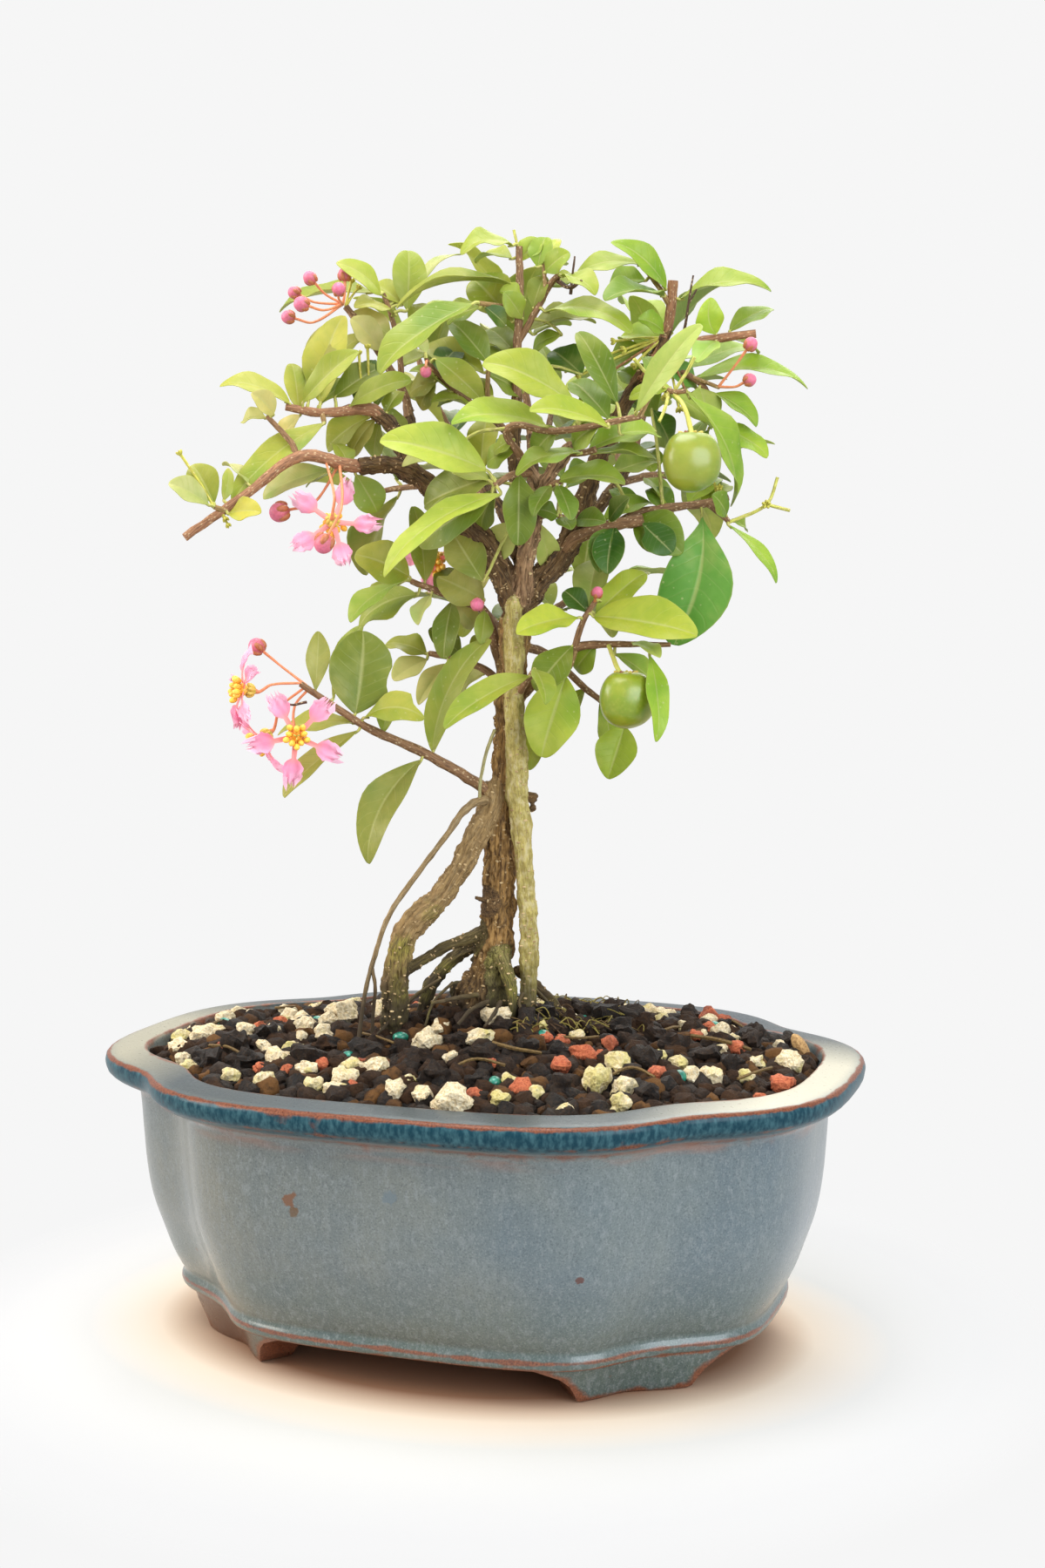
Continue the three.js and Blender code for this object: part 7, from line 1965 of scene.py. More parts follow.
# Leaves that the frame leaves out: the same numbers as the rows above, and the leaf's colour
MORE_LEAVES = {
    "left_upper_end": [
        [385, 456, 440, 420, 5, 30, 30, 0.1, "dark"], [343, 470, 335, 416, 5, 24, 20, 0.1, "mid"],
        [430, 472, 470, 500, 6, 26, 30, 0.1, "olive"], [410, 470, 428, 412, 8, 26, 25, 0.1, "deep"],
        [366, 466, 402, 436, 9, 22, 30, 0.1, "mid"], [354, 462, 382, 368, 8, 34, 18, 0.06, "olive"],
        [444, 474, 462, 448, 6, 22, 30, 0.1, "mid"], [432, 468, 446, 446, 7, 18, 30, 0.1, "dark"],
    ],
    "upper_middle": [
        [566, 456, 530, 436, 5, 20, 40, 0.12, "mid"], [505, 436, 470, 452, 6, 26, 30, 0.1, "olive"],
        [540, 462, 516, 426, 9, 30, 20, 0.1, "dark"], [527, 450, 560, 440, 8, 26, 35, 0.1, "mid"],
        [560, 430, 600, 452, 8, 30, 30, 0.1, "dark"], [500, 430, 528, 398, 9, 28, 20, 0.1, "deep"],
        [528, 455, 502, 464, 5, 16, 40, 0.1, "mid"], [500, 436, 482, 470, 7, 24, 25, 0.1, "olive"],
    ],
    "leader_top": [
        [612, 354, 625, 316, 1, 22, 25, 0.1, "olive"], [603, 345, 574, 334, -3, 22, 40, 0.12, "bright"],
        [645, 384, 611, 400, 5, 20, 40, 0.1, "mid"], [668, 430, 634, 402, 8, 38, 20, 0.08, "deep"],
        [598, 420, 636, 436, 8, 30, 30, 0.1, "dark"], [594, 410, 560, 376, 9, 30, 25, 0.1, "dark"],
        [597, 300, 620, 274, 2, 24, 25, 0.1, "bright"], [630, 330, 668, 322, 5, 22, 50, 0.12, "mid"],
        [551, 353, 512, 370, 4, 24, 40, 0.1, "dark"], [556, 352, 581, 374, 4, 20, 30, 0.1, "deep"],
    ],
    "left_tip": [
        [462, 350, 430, 326, 5, 24, 30, 0.1, "mid"], [440, 356, 474, 330, 7, 22, 40, 0.1, "olive"],
        [405, 358, 448, 386, 4, 26, 30, 0.1, "pale"],
    ],
    "left_end": [[400, 536, 384, 508, 8, 20, 40, 0.1, "mid"]],
    "front_left": [
        [566, 548, 486, 580, 8, 42, 35, 0.1, "dark"], [562, 552, 520, 538, 4, 28, 45, 0.12, "mid"],
        [568, 562, 552, 606, 10, 30, 20, 0.1, "dark"],
    ],
    "limb_side": [
        [555, 668, 518, 610, 7, 42, 15, 0.06, "olive"], [540, 560, 512, 600, 9, 32, 25, 0.1, "dark"],
    ],
    "front_middle": [
        [520, 515, 460, 532, 4, 20, 45, 0.12, "pale"], [640, 492, 612, 524, 8, 30, 30, 0.1, "dark"],
        [690, 486, 656, 512, 7, 30, 30, 0.1, "mid"], [660, 488, 702, 462, 9, 32, 35, 0.1, "mid"],
        [700, 482, 655, 436, 10, 32, 30, 0.1, "dark"], [592, 516, 558, 532, 6, 26, 30, 0.1, "mid"],
    ],
    "right_inner": [
        [598, 600, 565, 640, 10, 34, 20, 0.08, "pale"], [618, 598, 632, 655, 12, 26, 15, 0.08, "pale"],
        [650, 560, 690, 540, 8, 30, 40, 0.1, "dark"], [646, 550, 622, 520, 9, 28, 30, 0.1, "dark"],
    ],
    "upper_right": [
        [800, 446, 763, 420, -2, 24, 30, 0.12, "blue"], [745, 452, 712, 424, 6, 34, 30, 0.1, "mid"],
        [760, 440, 738, 476, 6, 32, 30, 0.1, "mid"], [770, 426, 746, 396, 8, 30, 25, 0.1, "olive"],
        [742, 402, 700, 420, 8, 30, 35, 0.1, "mid"], [752, 414, 784, 396, 8, 26, 35, 0.1, "pale"],
        [735, 470, 700, 452, 8, 30, 35, 0.1, "dark"],
    ],
    "right_end": [
        [700, 545, 757, 528, 6, 26, 45, 0.1, "dark"], [748, 470, 770, 512, 8, 30, 30, 0.1, "deep"],
        [772, 590, 745, 560, 5, 26, 35, 0.1, "dark"], [806, 580, 838, 556, 7, 24, 40, 0.1, "mid"],
        [732, 588, 702, 560, 6, 22, 40, 0.1, "dark"], [728, 594, 783, 634, -7, 50, 12, 0.1, "dark"],
        [706, 602, 697, 657, -9, 34, 15, 0.08, "deep"],
    ],
    "right_low": [
        [676, 704, 648, 678, 3, 24, 25, 0.1, "deep"], [684, 740, 660, 770, 6, 30, 20, 0.1, "mid"],
    ],
    "right_mid_end": [
        [820, 470, 790, 452, 5, 30, 35, 0.1, "olive"], [822, 480, 846, 520, 6, 26, 40, 0.1, "mid"],
    ],
    "left_low": [[440, 842, 452, 800, 5, 22, 25, 0.1, "mid"]],
    "left_mid": [
        [520, 690, 545, 720, 6, 24, 25, 0.1, "pale"], [500, 680, 530, 656, 8, 26, 30, 0.1, "dark"],
    ],
}
# Leaves that curve sideways: how far, as a share of the length, and how much wider they are
BOWED = {
    ("left_low", 6): (0.1, 0.82),
    ("left_low", 7): (-0.16, 1.25),
    ("left_low", 3): (-0.12, 1.1),
    ("left_low", 0): (0.04, 1.15),
    ("left_mid", 3): (0.1, 1.35),
    ("right_end", 4): (-0.09, 1.0),
    ("right_top_end", 0): (-0.15, 1.1),
    ("left_upper_end", 0): (-0.05, 1.2),
    ("left_upper_end", 3): (0.05, 0.95),
}
shoot_leaves = {}
scene_only = 0
for name, shoot in SHOOTS.items():
    corners = frame_corners(f"shoot_{name}")
    shoot_leaves[name] = []
    for number, (row, word) in enumerate(zip(shoot["leaves"], LEAF_WORDS[name].split())):
        gap, leaf = settled(lambda bend: leaf_from_row(shoot["stems"], row, bend), corners)
        if gap > TIP_NEARNESS:
            scene_only += 1
            leaf = leaf_from_row(shoot["stems"], row, 0)
        leaf["bow"], wider = BOWED.get((name, number), (0, 1))
        leaf["width"] *= wider
        shoot_leaves[name].append((leaf, word))
for name, shoot in BACK_SHOOTS.items():
    corners = frame_corners(f"shoot_{name}")
    shoot_leaves[name] = []
    for i, maker in enumerate(back_leaf_makers(shoot)):
        gap, leaf = settled(maker, corners)
        if gap > TIP_NEARNESS:
            scene_only += 1
            leaf = maker(0)
            leaf["tip"].y = min(leaf["tip"].y, frame_box[1][1] / MM)
        shoot_leaves[name].append((leaf, HIDDEN_WORDS[(i + shoot["seed"]) % len(HIDDEN_WORDS)]))
for name, rows in MORE_LEAVES.items():
    for *row, word in rows:
        shoot_leaves[name].append((leaf_from_row(SHOOTS[name]["stems"], row, 0), word))
print("leaves:", sum(len(leaves) for leaves in shoot_leaves.values()), "not in the frame:", scene_only)

# %% [markdown]
# ## The shape of one leaf
# A leaf is a thin closed skin: a grid for its upper side, one for its underside and a narrow rim.
# Its outline swells past the middle and ends in a short point. The two halves rise from the midrib
# like a shallow gutter, the margin waves a little, and the tip bends down. Five leaves have been
# eaten, so a leaf may carry bites, which are circles cut from its edge.

# %% The shape of one leaf
LEAF_COLUMNS = 10
LEAF_STEPS = 18
LEAF_SKIN = 0.17
# Blades are a little wider than the frame's, and their arch is flatter.
FULLER = 1.1
FLATTER = 0.55
MIDRIB_DEPTH = 0.22
# Bites of a leaf, by its shoot and number: [share of its length, share of its half width, radius]
BITES = {
    ("left_low", 0): [(0.42, 1.08, 0.34), (0.6, 1.1, 0.2)],
    ("left_low", 3): [(0.9, -0.6, 0.2)],
    ("left_mid", 7): [(0.9, 0.6, 0.3)],
    ("right_end", 1): [(0.1, 0.75, 0.42)],
    ("right_low", 6): [(0.86, 0.7, 0.25)],
}


def leaf_half_width(share, shape):
    """Half the width of a leaf at a share of its length, for a half width of 1."""
    fullest, base_taper, tip_taper = shape
    power = math.log(0.5) / math.log(fullest)
    taper = base_taper + (tip_taper - base_taper) * share
    return math.sin(math.pi * share ** power) ** taper


def eaten(share, aside, bites):
    """How far out the edge still reaches at a share, on the side of aside."""
    reach = 1.0
    for at, middle, radius in bites:
        if middle * aside <= 0:
            continue
        reach_in = radius ** 2 - ((share - at) * 2.1) ** 2
        if reach_in > 0:
            reach = min(reach, abs(middle) - math.sqrt(reach_in))
    return max(0.12, reach)


def add_leaf(skin, leaf, tint, draw, bites=()):
    """A fine leaf in the place of one of the frame's blades."""
    shape = (0.48 + 0.12 * draw(), 0.7 + 0.25 * draw(), 0.46 + 0.2 * draw())
    fold = 0.22 + 0.34 * draw()
    wave = 0.08 + 0.12 * draw()
    phase = draw() * math.tau
    curl = 0.05 + 0.1 * draw()
    skew = 0.12 * (draw() - 0.5)
    shade = 0.9 + 0.2 * draw()
    half = leaf["width"] / 2 * FULLER
    warm = 0.9 + 0.2 * draw()
    place = leaf["base"].dot(RIGHT)
    green = min(1, max(0, (place - SUNNY_SIDE[0]) / (SUNNY_SIDE[1] - SUNNY_SIDE[0])))
    red_share, green_share, blue_share = (1 + green * (part - 1) for part in SHADY)
    tint = (tint[0] * red_share, tint[1] * green_share, tint[2] * blue_share)
    under = (*(0.55 * a * shade + 0.45 * b for a, b in zip(tint, linear(172, 176, 112))), 1)
    upper = (tint[0] * shade * warm, tint[1] * shade, tint[2] * shade, 1)
    grids = []
    bulge = leaf["normal"] * leaf["arch"] * FLATTER + leaf["across"] * leaf["bow"]
    for step in range(LEAF_STEPS + 1):
        share = 0.006 + 0.988 * (0.5 - 0.5 * math.cos(math.pi * step / LEAF_STEPS))
        wide = max(0.03, leaf_half_width(share, shape)) * half
        middle = leaf["base"].lerp(leaf["tip"], share)
        middle += bulge * leaf["length"] * 4 * share * (1 - share)
        middle += leaf["across"] * skew * half * math.sin(math.pi * share)
        row = []
        for column in range(LEAF_COLUMNS + 1):
            aside = 2 * column / LEAF_COLUMNS - 1
            aside *= eaten(share, aside, bites)
            rise = fold * abs(aside) * wide - 0.1 * wide * aside ** 2
            ripple = math.sin(share * 9.5 + phase + (1.7 if aside > 0 else 0))
            rise += wave * half * aside ** 2 * ripple * math.sin(math.pi * share)
            rise -= curl * leaf["length"] * max(0, share - 0.72) ** 2 * 6
            row.append((middle + leaf["across"] * aside * wide + leaf["normal"] * rise, aside, share))
        grids.append(row)
    points = []
    spots = []
    tints = []
    for side in (1, -1):
        for row in grids:
            for place, aside, share in row:
                rib = MIDRIB_DEPTH * max(0, 1 - abs(aside) * 6) * (1 - share)
                thick = LEAF_SKIN * (1 - 0.5 * abs(aside)) + (rib if side < 0 else 0)
                points.append(place + leaf["normal"] * side * thick)
                spots.append((aside, share, side))
                tints.append(upper if side > 0 else under)
    flipped = leaf["along"].cross(leaf["normal"]).dot(leaf["across"]) > 0
    skin.add(points, sheet_faces(LEAF_STEPS, LEAF_COLUMNS, flipped), 0, tints, spots)


def add_stalk(skin, leaf):
    """The short petiole between the twig and the blade."""
    start, base = leaf["root"], leaf["base"]
    reach = (base - start).length
    bend = start.lerp(base, 0.55) + UP * 0.12 * reach
    inside = base + leaf["along"] * min(1.5, 0.1 * leaf["length"]) - leaf["normal"] * 0.1
    rows = [(start, 0.55), (bend, 0.46), (base, 0.42), (inside, 0.25)]
    add_limb(skin, smooth_path(rows, 4), 7, 1, STALK_TINT, 0.1)


print("faces of one leaf:", 2 * LEAF_COLUMNS * LEAF_STEPS + 2 * (LEAF_COLUMNS + LEAF_STEPS))

# %% [markdown]
# ## Leaf and twig materials
# A leaf's upper side has a waxy gloss and its veins are sunk and paler. Light also passes through the
# blade, so the shader mixes a glossy surface with a translucent one. The veins are drawn on the
# leaf's own coordinates: how far from the midrib, and how far along.

# %% Leaf and twig materials
leaf_finish, tree = new_material("waxy_leaf")
spot = node(tree, "ShaderNodeSeparateXYZ", {0: attribute(tree, "spot", "Vector")}).outputs
tint = attribute(tree, "tint", "Color")
aside = calculate(tree, "ABSOLUTE", spot[0])
bent = calculate(tree, "MULTIPLY", calculate(tree, "POWER", aside, 1.3), 0.2)
slant = calculate(tree, "SUBTRACT", spot[1], bent)
wobble = noise_value(tree, object_place(tree), 160.0, 2.0)
slant = calculate(tree, "ADD", slant, remap(tree, wobble, 0.3, 0.7, -0.012, 0.012))
part = calculate(tree, "FRACT", calculate(tree, "MULTIPLY", slant, 8.0))
vein = remap(tree, calculate(tree, "ABSOLUTE", calculate(tree, "SUBTRACT", part, 0.5)), 0.0, 0.09, 1, 0)
vein = calculate(tree, "MULTIPLY", vein, remap(tree, aside, 0.75, 1.0, 1, 0))
rib = remap(tree, aside, 0.025, 0.085, 1, 0)
mottle = noise_value(tree, object_place(tree), 420.0, 3.0, 0.6)
blotch = noise_value(tree, object_place(tree), 60.0, 3.0, 0.55)
greener = mix(tree, 1.0, tint, (0.52, 0.74, 0.42, 1), "MULTIPLY")
yellower = mix(tree, 0.5, tint, linear(222, 216, 132))
colour = mix(tree, remap(tree, blotch, 0.5, 0.68, 0, 0.8), tint, greener)
colour = mix(tree, remap(tree, blotch, 0.45, 0.3, 0, 0.7), colour, yellower)
colour = mix(tree, remap(tree, mottle, 0.4, 0.7, 0, 0.25), colour, greener)
colour = mix(tree, calculate(tree, "MULTIPLY", vein, 0.1), colour, linear(206, 208, 138))
colour = mix(tree, calculate(tree, "MULTIPLY", rib, 0.42), colour, linear(210, 208, 138))
# painted edge light: the outermost margin of the blade is paled towards a light yellow-green
colour = mix(tree, remap(tree, aside, 0.94, 1.0, 0, 0.35), colour, linear(190, 190, 110))
flecks = node(tree, "ShaderNodeTexVoronoi", {"Vector": object_place(tree), "Scale": 420.0}).outputs[0]
flecks = calculate(tree, "MULTIPLY", remap(tree, flecks, 0.16, 0.08), remap(tree, blotch, 0.48, 0.56))
colour = mix(tree, calculate(tree, "MULTIPLY", flecks, 0.45), colour, linear(214, 210, 150))
height = calculate(tree, "MULTIPLY", mottle, 0.4)
height = calculate(tree, "SUBTRACT", height, calculate(tree, "MULTIPLY", vein, 0.5))
height = calculate(tree, "SUBTRACT", height, rib)
inputs = {"Base Color": colour, "Normal": bumped(tree, height, 0.3, 0.0004)}
inputs["Roughness"] = remap(tree, mottle, 0.3, 0.7, 0.36, 0.54)
surface = node(tree, "ShaderNodeBsdfPrincipled", inputs)
glowing = mix(tree, 0.35, colour, linear(208, 208, 116))
through = node(tree, "ShaderNodeBsdfTranslucent", {"Color": glowing})
blade = node(tree, "ShaderNodeMixShader", {0: 0.4, 1: surface.outputs[0], 2: through.outputs[0]})
finished(leaf_finish, tree, blade.outputs[0])

twig_finish, tree = new_material("twig_bark")
spot = attribute(tree, "spot", "Vector")
tint = attribute(tree, "tint", "Color")
fibres = noise_value(tree, stretched(tree, spot, (3.0, 3.0, 0.4)), 1.0, 3.0, 0.6)
spotted = stretched(tree, spot, (1.3, 1.3, 0.8))
dots = node(tree, "ShaderNodeTexVoronoi", {"Vector": spotted, "Scale": 1.0}).outputs[0]
dark = mix(tree, 1.0, tint, (0.45, 0.4, 0.36, 1), "MULTIPLY")
colour = mix(tree, remap(tree, fibres, 0.35, 0.6), dark, tint)
colour = mix(tree, remap(tree, dots, 0.3, 0.18, 0, 0.55), colour, linear(214, 188, 146))
inputs = {"Base Color": colour, "Roughness": 0.7, "Normal": bumped(tree, fibres, 0.5, 0.0003)}
principled(twig_finish, tree, inputs)

# %% Twigs and leaves in one skin for each shoot
TWIG_SIDES = 9
THIN_TWIG = 0.5
DRY_TWIGS = {
    "leader_top": [
        [[655, 338, 2, 0.5], [657, 318, 1, 0.35], [660, 294, 0, 0.25]],
        [[640, 322, 4, 0.7], [655, 330, 0, 0.6], [668, 322, -3, 0.35]],
    ],
    "upper_right": [
        [[779, 412, 9, 0.6], [787, 372, 6, 0.4], [791, 345, 5, 0.35], [796, 316, 4, 0.25]],
        [[790, 350, 5, 0.3], [800, 332, 4, 0.25]],
    ],
    "left_low": [
        [[352, 806, -20, 0.4], [334, 809, -22, 0.3], [318, 799, -24, 0.2]],
        [[335, 809, -22, 0.25], [326, 808, -24, 0.2]],
    ],
}
DRY_TINT = linear(92, 66, 50)
# Spent cups of fallen flowers: column, row, distance behind, and size in mm, with a colour word
SPENT_CUPS = {
    "upper_right": [
        [650, 424, 2, 1.0, "lime"], [664, 432, 0, 1.1, "lime"], [684, 440, -2, 1.0, "brown"],
        [704, 392, 2, 1.0, "lime"], [716, 402, 0, 1.2, "lime"], [728, 420, -2, 1.0, "lime"],
        [736, 434, -3, 1.0, "brown"], [748, 446, -4, 1.1, "lime"], [764, 456, -6, 1.2, "lime"],
        [780, 470, -6, 1.1, "lime"], [792, 462, -5, 1.0, "brown"],
    ],
    "right_end": [
        [818, 548, -4, 1.2, "lime"], [826, 560, -4, 1.0, "lime"], [880, 579, -2, 1.2, "lime"],
    ],
    "left_end": [[206, 520, 0, 0.9, "lime"], [259, 596, -1, 0.9, "lime"], [262, 603, -1, 0.8, "lime"]],
    "left_upper_end": [[412, 405, 2, 0.9, "lime"], [422, 398, 2, 0.9, "lime"]],
    "left_tip": [[404, 322, 2, 0.9, "lime"], [412, 330, 2, 0.9, "lime"]],
}
SPENT_TINTS = {"lime": linear(204, 198, 82), "brown": linear(150, 104, 62)}
STUB_TINT = linear(164, 116, 82)
# The first stem of each of these shoots was cut back, and its bark is red-brown
CUT_BACK = {"upper_right", "right_top_end", "left_upper_end", "left_end"}
SPENT_LOBES = 5


def add_spent_cup(skin, stems, row):
    """A short dry stalk from the nearest stem, with the small knobbed cup left on its end."""
    x, y, nearer, size, word = row
    root_x, root_y, away, radius = nearest_on_stems(stems, x, y)
    root, tip = seen(root_x, root_y, away), seen(x, y, away + nearer)
    tint = SPENT_TINTS[word]
    way = (tip - root).normalized()
    path = smooth_path([(root, 0.45), (root.lerp(tip, 0.5) + UP * 0.4, 0.34), (tip, 0.4)], 4)
    add_limb(skin, path, 6, 1, tint, 0.2)
    lobe = (0.75 * size, 0.42 * size)
    for out in spokes(SPENT_LOBES, *beside(way, UP)):
        add_ball(skin, tip + out * 0.55 * size, way + out * 0.6, lobe, 1, (tint, tint), 7, 5)


def twig_tint(rows):
    thickest = max(row[3] for row in rows)
    if thickest <= THIN_TWIG:
        return PEDICEL_TINT
    return YOUNG_TWIG_TINT if thickest < 0.85 else TWIG_TINT


def shoot_piece(name, stems, leaves, seed):
    skin = Skin()
    draw = drawer(seed)
    for number, (leaf, word) in enumerate(leaves):
        add_leaf(skin, leaf, LEAF_TINTS[word], draw, BITES.get((name, number), ()))
        add_stalk(skin, leaf)
    for i, rows in enumerate(stems):
        tint = STUB_TINT if i == 0 and name in CUT_BACK else twig_tint(rows)
        add_limb(skin, rows_path(rows, 7), TWIG_SIDES, 1, tint, 0.22)
    for rows in DRY_TWIGS.get(name, []):
        add_limb(skin, rows_path(rows, 5), 5, 1, DRY_TINT, 0.3)
    for row in SPENT_CUPS.get(name, []):
        add_spent_cup(skin, stems, row)
    piece = skin.piece(f"shoot_{name}_leaves", [leaf_finish, twig_finish], 70)
    return declare(piece, "leaf", f"shoot_{name}")


for number, (name, leaves) in enumerate(shoot_leaves.items()):
    stems = SHOOTS[name]["stems"] if name in SHOOTS else [BACK_SHOOTS[name]["stem"]]
    shoot_piece(name, stems, leaves, 101 + number)

# %% [markdown]
# ## Flowers
# Each flower has five pink petals that stand on narrow claws, like little spoons with a ruffled and
# fringed edge. In the middle are ten short stamens with yellow heads, and below them a green cup with
# oil glands. A row gives the flower's middle, the way it faces as right, up and nearer, the turn of
# its petals, its span and the places that its stalk passes.

# %% Places of the flowers
FLOWERS = {
    "open": {
        "middle": [340, 846, -24], "facing": [0.15, 0.1, 1], "turn": 0.5, "span": 25,
        "pedicel": [[338, 812, -15], [354, 791, -15.4]],
    },
    "left": {
        "middle": [283, 792, -19], "facing": [-0.95, 0.15, 0.35], "turn": 0.2, "span": 22,
        "pedicel": [[312, 786, -17], [347, 784, -16]],
    },
    "lower": {
        "middle": [303, 846, -12], "facing": [-0.7, -0.55, 0.2], "turn": 0.9, "span": 21,
        "pedicel": [[322, 812, -14], [350, 789, -15.6]],
    },
    "hanging": {
        "middle": [382, 598, -20], "facing": [-0.05, -0.25, -0.9], "turn": 0.35, "span": 24,
        "pedicel": [[384, 570, -24], [374, 529, -12]],
    },
    "inner": {
        "middle": [503, 642, 15], "facing": [-0.35, -0.4, 0.8], "turn": 0.1, "span": 20,
        "pedicel": [[514, 634, 22], [546, 646, 20], [554, 694, 6]],
    },
}
PETALS = 5
PETAL_COLUMNS = 12
PETAL_STEPS = 14
PETAL_SKIN = 0.1
CLAW_SHARE = 0.47
PETAL_DEEP = linear(250, 154, 194)
PETAL_PALE = linear(255, 220, 234)
CLAW_TINT = linear(252, 178, 176)


def direction(facing):
    right, up, nearer = facing
    return (RIGHT * right + UP * up - AWAY * nearer).normalized()


def flower_axes(flower):
    forward = direction(flower["facing"])
    return seen(*flower["middle"]), forward, *beside(forward, RIGHT if abs(forward.z) > STEEP else UP)


def petal_half_width(share):
    """Half the width of a petal at a share of its reach, as a share of that reach."""
    claw = 0.035 + 0.03 * (1 - share)
    if share < CLAW_SHARE:
        return claw
    spoon = (share - CLAW_SHARE) / (1 - CLAW_SHARE)
    return max(claw * (1 - spoon), 0.225 * math.sin(math.pi * spoon ** 0.95 * 0.93) ** 0.5)


def add_petal(skin, centre, out, across, forward, reach, draw):
    """One ruffled petal on its claw."""
    phase = draw() * math.tau
    cup = 0.25 + 0.3 * draw()
    lean = 0.16 * (draw() - 0.4)
    rows = []
    for step in range(PETAL_STEPS + 1):
        share = 0.07 + 0.93 * step / PETAL_STEPS
        half = petal_half_width(share) * reach
        spoon = max(0, (share - CLAW_SHARE) / (1 - CLAW_SHARE))
        for column in range(PETAL_COLUMNS + 1):
            aside = 2 * column / PETAL_COLUMNS - 1
            outer = aside ** 2 + spoon ** 4
            frill = 0.075 * reach * spoon * math.sin(aside * 15 + phase) * outer
            notch = 0.05 * reach * spoon ** 6 * math.cos(aside * 9 + phase)
            rise = 0.1 * reach * math.sin(math.pi * share) + cup * half * aside ** 2
            rise += lean * reach * share ** 2
            rise += 0.07 * reach * spoon * math.sin(aside * 7 + phase * 2) * (0.25 + abs(aside))
            rise += 0.03 * reach * spoon * math.sin(share * 21 + aside * 4 + phase)
            end = share * reach + frill + notch
            wide = half * (1 + 0.2 * spoon * math.sin(share * 34 + phase + (2 if aside > 0 else 0)))
            place = centre + out * end + across * aside * wide + forward * (rise + 0.4)
            veined = 0.5 + 0.5 * math.sin(aside * 26)
            shade = spoon * (0.55 + 0.3 * abs(aside)) + 0.12 * veined * spoon
            tint = tuple(a + (b - a) * min(1, shade * 1.15) for a, b in zip(PETAL_DEEP, PETAL_PALE))
            if spoon < 0.3:
                part = spoon / 0.3
                tint = tuple(a + (b - a) * part for a, b in zip(CLAW_TINT, tint))
            rows.append((place, tint, (aside, share, 0)))
    points = [place + forward * side * PETAL_SKIN for side in (1, -1) for place, tint, spot in rows]
    tints = [tint for side in (1, -1) for place, tint, spot in rows]
    spots = [spot for side in (1, -1) for place, tint, spot in rows]
    flipped = out.cross(across).dot(forward) > 0
    skin.add(points, sheet_faces(PETAL_STEPS, PETAL_COLUMNS, flipped), 0, tints, spots)


print("flowers:", len(FLOWERS))

# %% Petal material
petal_finish, tree = new_material("pink_petal")
spot = node(tree, "ShaderNodeSeparateXYZ", {0: attribute(tree, "spot", "Vector")}).outputs
tint = attribute(tree, "tint", "Color")
lines = calculate(tree, "ABSOLUTE", calculate(tree, "SINE", calculate(tree, "MULTIPLY", spot[0], 17.0)))
crumple = noise_value(tree, object_place(tree), 900.0, 2.0)
deeper = mix(tree, 1.0, tint, (0.93, 0.66, 0.84, 1), "MULTIPLY")
colour = mix(tree, remap(tree, lines, 0.25, 0.0, 0, 0.45), tint, deeper)
inputs = {"Base Color": colour, "Roughness": 0.55, "Normal": bumped(tree, crumple, 0.4, 0.0003)}
surface = node(tree, "ShaderNodeBsdfPrincipled", inputs)
through = node(tree, "ShaderNodeBsdfTranslucent", {"Color": colour})
petal_mix = node(tree, "ShaderNodeMixShader", {0: 0.4, 1: surface.outputs[0], 2: through.outputs[0]})
finished(petal_finish, tree, petal_mix.outputs[0])

soft_finish, tree = new_material("stalks_and_buds")
tint = attribute(tree, "tint", "Color")
cells = noise_value(tree, object_place(tree), 1300.0, 2.0)
deeper = mix(tree, 1.0, tint, (0.72, 0.6, 0.6, 1), "MULTIPLY")
colour = mix(tree, remap(tree, cells, 0.35, 0.7, 0, 0.6), tint, deeper)
inputs = {"Base Color": colour, "Roughness": 0.5, "Normal": bumped(tree, cells, 0.3, 0.0002)}
inputs.update({"Subsurface Weight": 0.15, "Subsurface Scale": 0.002})
principled(soft_finish, tree, inputs)

# %% Petals, stamens and cups
STAMENS = 10
STAMEN_SPREAD = 2.4
GLANDS = 8
STYLES = 3
STYLE_TINT = linear(196, 200, 96)
STALK_PINK = linear(222, 140, 96)
CUP_TINT = linear(206, 186, 88)
GLAND_TINT = linear(244, 196, 88)
FILAMENT_TINT = linear(252, 196, 96)
ANTHER_TINTS = (linear(252, 172, 44), linear(255, 212, 84))


